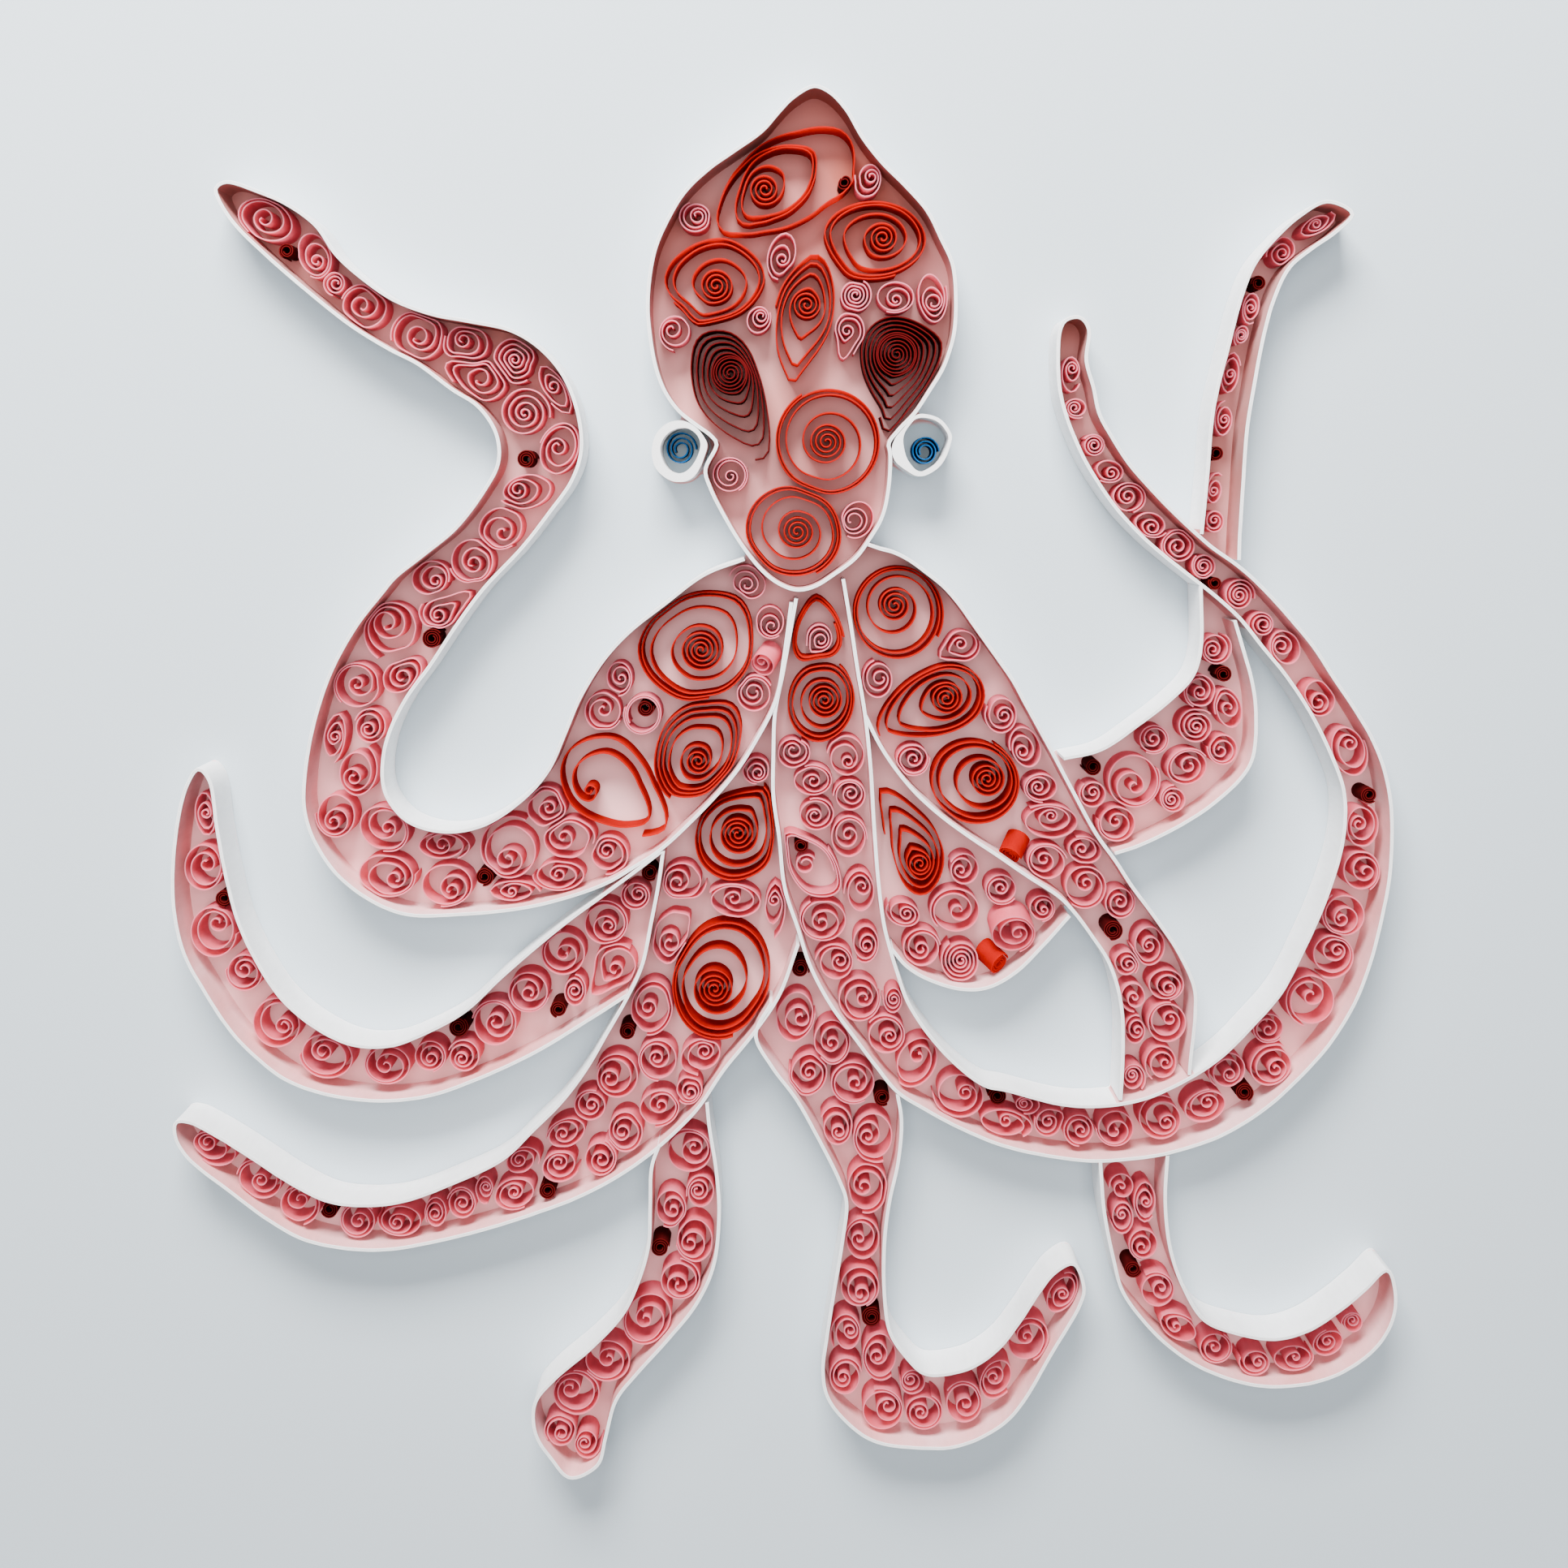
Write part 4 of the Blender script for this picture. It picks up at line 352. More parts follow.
        (39.25, 5.09, 0.32, 1.42, 1.13, 4.49, 0.253, 2.93, 0.50, 3.06, 0.55, 60, -1, 0.50, [987,976,964,952,942,935,932,932,936,943,953,965,977,987,995,998,995,994,987,976,964,951,931,916,923,932,940,948,958,969,981,991,998,1002,1001,996]),
        (48.30, -9.31, 0.26, 0.00, 5.26, 0.00, 0.000, 0.00, 0.00, 0.30, 0.30, 359, 1, 0.00, [276,275,275,275,276,277,277,278,279,280,280,281,280,280,279,278,277,276,276,275,274,269,258,250,249,257,271,278,280,281,281,280,279,277,276,276]),
    ],
    "arm_lower_right_pink_coils": [
        (36.75, 34.07, 0.25, 0.93, 1.00, 1.15, 0.211, -0.45, 0.30, 1.15, 0.60, 15, -1, 0.52, [376,374,372,370,367,364,362,360,359,359,360,362,364,366,366,366,374,393,430,489,562,597,526,443,395,369,355,353,358,362,365,368,371,373,375,376]),
        (18.91, 26.79, 0.25, 0.98, 1.02, 1.01, 0.315, 0.50, 0.30, 1.44, 0.90, 101, 1, 0.53, [341,342,348,357,370,385,401,416,426,432,429,419,404,388,372,359,349,343,340,339,344,356,370,386,402,417,429,433,430,419,405,388,373,359,349,343]),
        (44.93, 19.50, 0.25, 1.05, 0.96, 1.25, 0.331, 0.71, -0.32, 1.41, 0.70, 150, 1, 0.86, [359,360,365,372,383,395,408,421,430,434,432,425,412,394,369,349,344,350,356,360,365,373,383,396,409,421,431,435,433,425,414,399,388,377,368,362]),
        (50.44, 12.33, 0.25, 1.05, 1.09, 0.95, 0.413, -0.90, -0.79, 1.25, 0.77, 188, -1, 1.07, [371,362,357,356,362,379,399,423,450,478,500,509,501,480,454,427,404,385,371,362,359,362,370,383,401,424,451,479,502,510,503,482,455,428,404,385]),
        (26.36, 9.80, 0.25, 1.33, 0.91, 1.12, 0.301, 0.24, 0.17, 1.41, 0.68, 6, -1, 0.97, [375,376,375,373,371,368,366,364,362,358,361,365,368,371,373,375,377,378,376,370,354,341,339,346,358,363,364,364,365,367,369,371,371,367,362,368]),
        (53.79, 3.77, 0.25, 1.18, 1.13, 1.29, 0.316, -0.82, 0.09, 1.25, 0.57, 274, -1, 0.97, [396,393,385,374,362,350,341,334,329,328,330,336,344,354,366,378,388,395,396,393,385,374,362,351,341,334,330,329,331,336,344,354,366,378,388,395]),
        (55.28, -3.84, 0.25, 1.30, 1.01, 1.45, 0.443, 0.57, 1.56, 1.25, 0.58, 140, -1, 1.01, [685,663,617,566,520,483,456,437,425,421,426,438,458,486,524,571,622,666,685,663,618,567,521,484,456,436,422,418,426,439,459,487,525,572,623,667]),
        (55.13, -12.21, 0.25, 1.22, 1.01, 0.99, 0.255, -0.71, 0.63, 1.25, 0.72, 12, 1, 0.70, [445,436,427,418,410,405,402,402,403,405,413,425,435,444,450,453,452,451,445,436,427,417,406,394,390,397,404,410,418,426,436,445,452,455,456,452]),
        (63.02, -9.67, 0.25, 1.09, 0.90, 0.95, 0.281, -0.60, 0.26, 1.08, 0.56, 122, -1, 0.55, [392,372,351,339,333,325,317,312,311,314,320,330,343,358,373,387,396,399,394,382,368,352,338,326,317,312,307,303,310,325,342,358,374,388,397,398]),
        (63.22, -17.54, 0.25, 1.04, 1.04, 1.15, 0.183, 0.22, 0.77, 1.41, 0.65, 234, 1, 0.73, [471,470,470,470,471,472,473,474,472,469,475,479,480,480,478,477,475,473,471,470,470,468,465,469,474,476,479,480,481,482,481,480,477,470,466,470]),
        (70.68, -20.96, 0.25, 1.06, 1.11, 0.77, 0.235, 0.13, 0.17, 1.25, 0.63, 49, -1, 1.00, [345,344,345,348,351,355,360,364,367,369,370,368,365,361,353,343,340,343,344,344,346,348,351,356,360,364,368,370,370,369,366,362,358,354,350,347]),
        (77.13, -30.13, 0.25, 0.98, 1.04, 1.30, 0.204, 0.01, -0.33, 1.25, 0.69, 189, 1, 0.67, [364,365,369,375,380,392,414,439,456,463,461,451,436,418,401,386,375,367,363,363,363,358,360,375,403,436,456,464,462,452,437,419,402,387,375,367]),
        (72.12, -34.28, 0.25, 1.00, 1.02, 0.74, 0.451, 0.77, -0.30, 1.10, 0.50, 316, 1, 0.80, [304,292,277,272,276,287,302,311,314,316,317,317,317,316,315,313,312,308,301,288,283,288,300,308,312,314,315,316,317,318,317,316,315,314,312,310]),
        (80.55, -38.71, 0.25, 1.21, 1.12, 1.43, 0.422, 0.98, -0.95, 1.25, 0.77, 290, 1, 0.56, [437,433,425,415,403,393,384,377,373,373,375,381,389,399,410,421,430,436,435,425,414,410,403,393,384,378,374,373,375,381,389,400,411,422,431,436]),
        (73.98, -41.46, 0.25, 0.57, 1.10, 0.70, 0.129, 0.28, -0.14, 0.64, 0.45, 273, -1, 0.29, [291,289,286,285,296,309,319,327,333,336,335,332,326,319,311,304,298,292,286,282,287,296,305,312,320,327,333,336,336,332,326,319,311,304,298,294]),
        (74.49, -48.92, 0.25, 1.14, 0.80, 0.78, 0.498, 0.52, -0.03, 0.94, 0.47, 75, 1, 0.73, [255,255,258,269,282,298,316,334,348,355,352,341,324,306,289,275,265,259,256,257,262,271,283,299,316,334,349,356,353,341,324,306,290,276,265,258]),
        (81.32, -47.23, 0.22, 1.10, 1.10, 1.00, 0.190, 0.61, 0.84, 1.25, 0.75, 82, 1, 0.56, [438,438,439,441,445,450,455,460,465,467,468,467,464,460,454,449,444,441,437,435,437,441,446,451,455,458,457,464,468,468,465,460,455,450,445,441]),
        (80.16, -56.08, 0.25, 1.06, 0.81, 0.91, 0.373, 1.10, -0.04, 1.25, 0.60, 244, -1, 0.94, [366,366,370,376,385,396,407,416,420,426,429,425,417,406,394,383,375,369,366,366,369,374,385,396,408,419,428,431,427,415,411,404,394,384,375,369]),
        (74.36, -59.42, 0.25, 1.31, 1.02, 1.36, 0.448, -0.27, 0.74, 0.94, 0.43, 307, 1, 0.75, [275,275,278,282,292,303,315,326,334,338,337,332,322,311,300,289,280,271,268,273,278,285,294,304,316,326,334,337,334,329,322,311,300,290,282,277]),
    ],
    "arm_lower_right_maroon_rolls": [
        (69.27, -26.89, 0.22, 0.00, 5.17, 0.00, 0.000, 0.00, 0.00, 0.30, 0.30, 261, 1, 0.00, [225,224,224,224,225,226,226,228,229,229,230,230,230,230,229,228,227,226,225,225,224,224,225,226,227,228,229,230,230,230,230,230,229,228,227,226]),
    ],
    "arm_lower_right_tip_pink_coils": [
        (72.18, -83.46, 0.25, 0.66, 0.70, 0.77, 0.150, 0.14, -0.01, 0.65, 0.45, 189, -1, 0.28, [276,276,278,281,284,289,294,299,303,305,305,303,300,295,290,285,281,278,276,276,278,281,285,289,294,298,297,290,293,299,299,295,290,285,281,278]),
        (77.34, -86.75, 0.22, 1.10, 1.10, 1.00, 0.306, 0.24, -0.22, 0.94, 0.56, 297, -1, 0.63, [258,261,268,283,303,332,370,417,464,493,477,432,383,342,311,288,272,262,258,261,268,283,303,332,370,417,465,494,478,432,384,342,311,288,272,262]),
        (72.49, -90.36, 0.25, 1.22, 0.79, 1.06, 0.377, -0.12, 0.53, 0.92, 0.45, 214, 1, 0.67, [258,260,266,277,293,313,337,364,384,387,386,372,347,321,300,282,270,262,258,260,266,277,293,313,338,365,390,401,395,374,348,322,300,283,270,262]),
        (77.35, -96.41, 0.25, 1.03, 0.97, 0.76, 0.319, -0.38, -0.89, 1.25, 0.62, 260, -1, 0.96, [351,351,352,355,360,365,371,376,381,383,384,382,378,373,367,362,357,353,351,351,353,356,360,366,372,377,381,384,384,382,379,373,368,362,357,353]),
        (80.20, -106.85, 0.25, 1.05, 0.87, 0.75, 0.301, 0.96, 0.48, 1.41, 0.76, 125, -1, 0.80, [408,407,407,408,410,413,416,419,422,424,425,425,423,421,418,415,412,410,408,407,407,408,411,413,417,420,422,425,426,425,424,422,419,416,412,410]),
        (85.50, -115.32, 0.25, 1.05, 0.66, 0.96, 0.303, -0.92, 0.35, 1.07, 0.54, 32, 1, 0.86, [416,379,349,329,314,306,304,308,319,336,360,393,433,478,516,528,503,460,416,379,350,329,314,306,304,309,319,337,361,393,434,479,517,528,503,460]),
        (93.42, -120.06, 0.25, 1.29, 0.74, 1.00, 0.252, -0.18, 0.18, 1.21, 0.68, 60, -1, 0.61, [372,370,369,367,366,366,366,366,367,368,370,371,373,374,375,375,374,373,372,370,369,368,367,366,364,363,367,369,371,372,373,374,375,375,374,373]),
        (101.98, -123.23, 0.25, 0.98, 0.99, 0.81, 0.292, 0.85, 0.01, 1.10, 0.57, 159, 1, 0.69, [353,350,345,338,330,323,317,313,311,311,313,317,323,330,338,345,350,353,353,350,345,338,331,323,317,312,309,311,313,317,323,330,338,345,350,353]),
        (110.27, -122.15, 0.25, 1.02, 0.73, 1.10, 0.251, 0.56, 0.14, 1.09, 0.51, 8, -1, 0.94, [462,460,442,415,387,362,342,327,317,312,312,318,329,345,365,391,419,446,462,461,443,416,388,363,343,327,317,312,313,318,329,345,366,391,419,446]),
        (118.15, -118.83, 0.25, 0.97, 1.06, 0.84, 0.302, -0.40, 0.40, 1.10, 0.65, 104, 1, 0.98, [367,379,386,388,383,374,361,347,335,324,317,312,311,314,320,329,340,354,367,379,387,389,384,374,361,348,335,325,317,313,312,314,320,329,340,354]),
        (123.16, -114.58, 0.25, 1.06, 0.89, 0.87, 0.485, -0.00, 0.72, 0.94, 0.47, 181, -1, 0.66, [260,259,259,259,260,262,264,267,269,271,272,272,272,270,268,266,264,262,260,259,259,259,260,261,264,267,269,271,272,273,272,271,269,266,264,262]),
    ],
    "arm_lower_right_tip_maroon_rolls": [
        (74.99, -102.08, 0.22, 0.00, 4.35, 0.00, 0.000, 0.00, 0.00, 0.30, 0.30, 340, -1, 0.00, [194,194,194,194,195,196,198,199,200,201,202,202,201,200,199,197,196,195,194,194,194,194,195,197,198,199,201,202,202,202,201,200,199,197,196,195]),
    ],
}

WALLS = {
    "head_wall": (True, [(5.24, 147.98), (0.97, 145.74), (-1.65, 143.17), (-5.27, 139.16), (-10.54, 135.46), (-16.15, 131.59), (-21.12, 126.90), (-24.28, 121.88), (-26.97, 116.03), (-28.33, 109.51), (-28.71, 103.14), (-28.25, 97.89), (-27.62, 93.78), (-26.64, 89.99), (-25.17, 86.52), (-22.52, 82.88), (-19.03, 80.07), (-15.87, 77.74), (-14.70, 76.08), (-17.06, 70.76), (-16.07, 67.09), (-13.08, 61.07), (-9.07, 54.54), (-5.04, 49.66), (-1.67, 47.13), (1.86, 45.95), (5.40, 46.62), (9.77, 49.32), (14.13, 52.69), (16.81, 56.38), (19.47, 61.07), (20.78, 67.09), (21.07, 74.25), (20.73, 76.08), (22.88, 79.07), (26.03, 82.39), (29.00, 86.85), (31.63, 91.14), (32.94, 94.43), (34.06, 98.87), (34.33, 105.75), (33.61, 112.45), (31.24, 117.66), (28.39, 123.18), (23.90, 128.20), (19.10, 132.88), (15.12, 137.87), (11.82, 143.34), (8.36, 146.86)]),
    "arm_upper_left_wall": (False, [(-9.07, 52.35), (-17.32, 49.15), (-25.78, 42.91), (-33.07, 37.16), (-38.53, 31.22), (-43.52, 23.21), (-46.66, 15.86), (-50.32, 7.96), (-55.85, 1.76), (-64.45, -3.77), (-73.00, -4.98), (-80.29, -2.56), (-84.44, 2.97), (-84.99, 9.17), (-83.49, 15.86), (-79.78, 23.21), (-74.73, 30.03), (-68.66, 39.02), (-63.14, 46.29), (-55.11, 54.70), (-49.65, 61.58), (-44.53, 68.76), (-42.63, 74.75), (-43.21, 82.22), (-46.13, 89.99), (-51.05, 95.75), (-56.82, 99.20), (-65.09, 101.01), (-72.87, 102.48), (-80.45, 105.26), (-86.33, 109.19), (-92.17, 114.41), (-96.17, 120.26), (-101.84, 124.48), (-107.71, 127.07), (-114.41, 129.01), (-116.43, 127.71), (-115.99, 125.77), (-113.16, 121.07), (-106.89, 114.73), (-98.15, 107.06), (-89.52, 100.19), (-81.82, 95.42), (-76.05, 92.46), (-68.99, 87.18), (-63.71, 83.71), (-60.13, 78.24), (-59.72, 72.43), (-62.82, 66.42), (-68.82, 58.73), (-75.64, 53.19), (-81.62, 48.48), (-84.21, 45.44), (-89.76, 38.51), (-95.40, 28.67), (-99.22, 17.74), (-101.37, 6.76), (-101.56, -0.66), (-99.51, -7.41), (-94.90, -14.35), (-88.34, -19.58), (-80.70, -22.72), (-69.04, -22.72), (-56.86, -21.50), (-48.27, -19.58), (-38.47, -16.09), (-32.28, -12.44), (-26.79, -8.79), (-18.90, -1.35), (-11.38, 7.10), (-7.11, 13.63), (-2.52, 22.87), (-0.66, 33.09), (0.69, 43.25)]),
    "arm_long_right_wall": (False, [(1.70, 44.09), (-1.00, 28.84), (-2.70, 20.14), (-3.04, 11.40), (-3.04, 2.62), (-1.85, -6.19), (-0.66, -17.14), (2.09, -25.69), (4.67, -33.75), (8.81, -41.85), (13.66, -48.74), (18.87, -55.83), (23.40, -61.35), (29.14, -65.09), (36.62, -69.20), (45.33, -72.96), (53.87, -75.11), (65.00, -76.54), (74.37, -76.00), (82.51, -74.57), (92.67, -70.99), (101.21, -65.63), (108.47, -58.86), (115.16, -51.04), (120.08, -42.56), (123.25, -33.75), (125.96, -21.50), (127.05, -12.96), (126.82, -0.31), (125.20, 7.62), (122.43, 14.49), (118.68, 20.65), (113.72, 27.81), (109.49, 34.10), (104.60, 39.87), (100.43, 44.43), (96.12, 48.65), (93.03, 51.17), (87.73, 54.87), (83.62, 58.39), (79.51, 62.25), (75.23, 66.59), (70.44, 71.93), (66.66, 77.58), (64.08, 82.22), (62.82, 87.51), (61.23, 93.12), (61.63, 99.53), (59.77, 101.82), (56.95, 101.33), (55.82, 99.53), (55.41, 93.12), (56.01, 86.35), (57.42, 81.39), (59.15, 77.08), (61.40, 72.43), (65.35, 66.26), (68.27, 62.41), (71.01, 59.40), (74.26, 56.21), (78.02, 53.02), (82.98, 49.15), (88.46, 44.94), (93.97, 40.04), (98.67, 34.27), (104.08, 27.81), (109.38, 19.97), (113.87, 11.23), (116.63, 4.00), (117.18, -2.90), (116.21, -10.35), (113.40, -19.93), (109.56, -29.54), (104.84, -39.38), (99.34, -46.27), (92.27, -53.70), (84.44, -59.03), (75.35, -63.13), (65.50, -64.56), (58.05, -64.02), (46.58, -60.99), (42.25, -60.10), (35.98, -55.48), (30.05, -48.92), (25.52, -41.85), (23.24, -35.51), (21.49, -29.72), (20.26, -24.64), (19.01, -14.87), (18.10, -3.25), (17.36, 8.31), (16.12, 19.80), (14.56, 29.01), (13.18, 38.00), (11.46, 48.14)]),
    "arm_lower_left_wall": (False, [(-26.28, -9.14), (-27.36, -16.61), (-28.95, -24.64), (-30.91, -33.75), (-33.88, -40.26), (-38.61, -48.74), (-43.00, -56.37), (-48.27, -63.49), (-54.77, -70.09), (-61.10, -76.18), (-71.97, -81.57), (-82.66, -85.54), (-90.68, -86.44), (-98.67, -85.54), (-106.58, -81.57), (-114.43, -76.18), (-122.09, -71.17), (-128.41, -67.95), (-130.84, -68.13), (-130.96, -71.70), (-128.49, -76.00), (-119.67, -83.37), (-111.84, -89.50), (-104.11, -94.02), (-93.52, -96.20), (-85.49, -96.20), (-72.18, -93.66), (-61.32, -90.59), (-52.39, -87.52), (-45.92, -84.99), (-37.87, -80.85), (-29.83, -75.29), (-24.42, -70.45), (-19.19, -64.91), (-13.79, -56.72), (-7.04, -48.21), (-1.86, -40.26), (2.09, -29.37)]),
    "arm_middle_left_wall": (False, [(-34.23, -40.26), (-42.89, -45.91), (-53.50, -52.46), (-66.20, -58.50), (-76.82, -62.24), (-87.57, -63.31), (-99.13, -61.70), (-107.36, -58.50), (-113.44, -53.53), (-118.46, -48.03), (-124.05, -39.03), (-127.93, -31.12), (-129.81, -20.45), (-129.04, -7.23), (-126.28, 4.52), (-123.61, 8.31), (-121.47, 6.07), (-120.08, -4.46), (-118.35, -15.22), (-116.06, -24.82), (-112.03, -33.93), (-107.08, -41.50), (-100.33, -47.33), (-92.49, -51.04), (-84.55, -51.22), (-76.55, -48.21), (-68.54, -43.62), (-60.50, -36.04), (-47.82, -25.17), (-39.87, -19.23), (-31.95, -13.31), (-26.79, -9.31)]),
    "arm_lower_right_outer_wall": (False, [(16.64, 55.37), (19.00, 54.54), (22.03, 53.70), (25.07, 52.18), (28.79, 49.49), (32.51, 46.46), (35.75, 42.74), (38.65, 38.68), (41.57, 34.61), (44.49, 30.54), (47.07, 26.79), (49.49, 22.36), (55.23, 12.09), (59.78, 3.66), (64.87, -5.50), (69.24, -11.57), (72.41, -16.44), (77.86, -23.77), (82.63, -30.77), (86.24, -38.68), (86.54, -44.68), (85.73, -54.95), (85.62, -57.61)]),
    "arm_lower_right_inner_wall": (False, [(16.12, 19.80), (19.04, 13.80), (22.47, 8.48), (26.92, 3.14), (32.24, -1.69), (38.08, -6.02), (44.27, -10.18), (50.82, -14.70), (57.39, -19.05), (60.87, -22.72), (64.73, -27.97), (67.54, -32.17), (69.70, -37.62), (71.03, -44.32), (71.35, -52.46), (71.02, -63.13)]),
    "arm_bottom_middle_wall": (False, [(-3.59, -42.03), (-6.87, -48.92), (-3.42, -55.83), (1.77, -62.95), (6.28, -71.17), (11.17, -81.21), (12.58, -85.72), (11.73, -94.57), (10.02, -105.46), (8.47, -115.86), (7.60, -123.56), (8.67, -129.63), (13.27, -135.72), (18.93, -139.60), (28.11, -141.09), (36.93, -140.71), (46.23, -136.09), (50.75, -131.11), (57.28, -119.34), (63.08, -108.74), (63.89, -104.91), (61.54, -99.46), (57.37, -101.64), (54.28, -105.64), (50.00, -112.57), (45.51, -118.61), (39.76, -122.83), (33.09, -124.48), (29.40, -124.11), (25.33, -120.08), (22.14, -114.95), (20.87, -106.74), (20.81, -94.57), (21.80, -85.72), (23.66, -76.72), (24.30, -67.77), (23.40, -61.88)]),
    "arm_bottom_left_wall": (False, [(-17.28, -63.84), (-16.78, -69.02), (-15.26, -79.42), (-14.77, -88.24), (-16.03, -100.01), (-19.92, -108.74), (-25.74, -116.23), (-32.64, -124.11), (-37.27, -130.18), (-39.64, -138.68), (-41.46, -144.98), (-47.50, -147.95), (-51.17, -144.05), (-54.80, -137.94), (-54.88, -130.92), (-50.76, -125.58), (-42.60, -118.43), (-35.69, -110.75), (-32.31, -103.64), (-29.97, -95.29), (-29.56, -86.44), (-29.15, -77.80), (-27.56, -73.14)]),
    "arm_upper_right_root_wall": (False, [(22.01, -30.24), (24.95, -33.75), (28.92, -36.39), (36.34, -38.86), (42.02, -38.68), (48.00, -35.51), (53.77, -29.72), (59.50, -23.07)]),
    "arm_upper_right_top_wall": (False, [(57.80, 10.54), (65.59, 12.43), (73.14, 17.57), (79.81, 22.87), (84.45, 27.98), (86.01, 33.77), (85.72, 46.79)]),
    "arm_upper_right_bottom_wall": (False, [(92.97, 39.53), (94.62, 34.27), (96.82, 26.96), (97.82, 20.82), (97.56, 11.23), (95.62, 7.10), (89.13, 0.73), (82.41, -3.77), (73.62, -8.10), (68.87, -9.66)]),
    "arm_upper_right_tip_wall": (False, [(85.65, 57.56), (86.55, 69.76), (87.57, 83.71), (90.13, 95.42), (92.70, 105.92), (95.35, 112.78), (99.84, 118.31), (104.36, 122.37), (109.73, 125.12), (114.92, 122.69), (111.72, 119.12), (106.86, 115.71), (102.33, 111.80), (99.20, 104.94), (97.39, 97.72), (95.80, 88.34), (94.53, 79.07), (93.98, 67.43), (93.55, 57.22), (93.51, 52.18)]),
    "arm_lower_right_tip_wall": (False, [(66.92, -76.72), (67.98, -88.06), (70.26, -98.92), (72.13, -105.46), (76.80, -112.21), (83.42, -118.79), (91.08, -123.56), (103.65, -127.05), (117.66, -125.03), (127.97, -117.51), (131.20, -108.92), (129.19, -100.91), (124.26, -105.46), (118.63, -110.38), (112.27, -114.58), (105.48, -116.41), (97.20, -115.13), (90.12, -112.21), (85.41, -104.91), (82.25, -95.84), (80.99, -85.17), (81.31, -75.47)]),
}

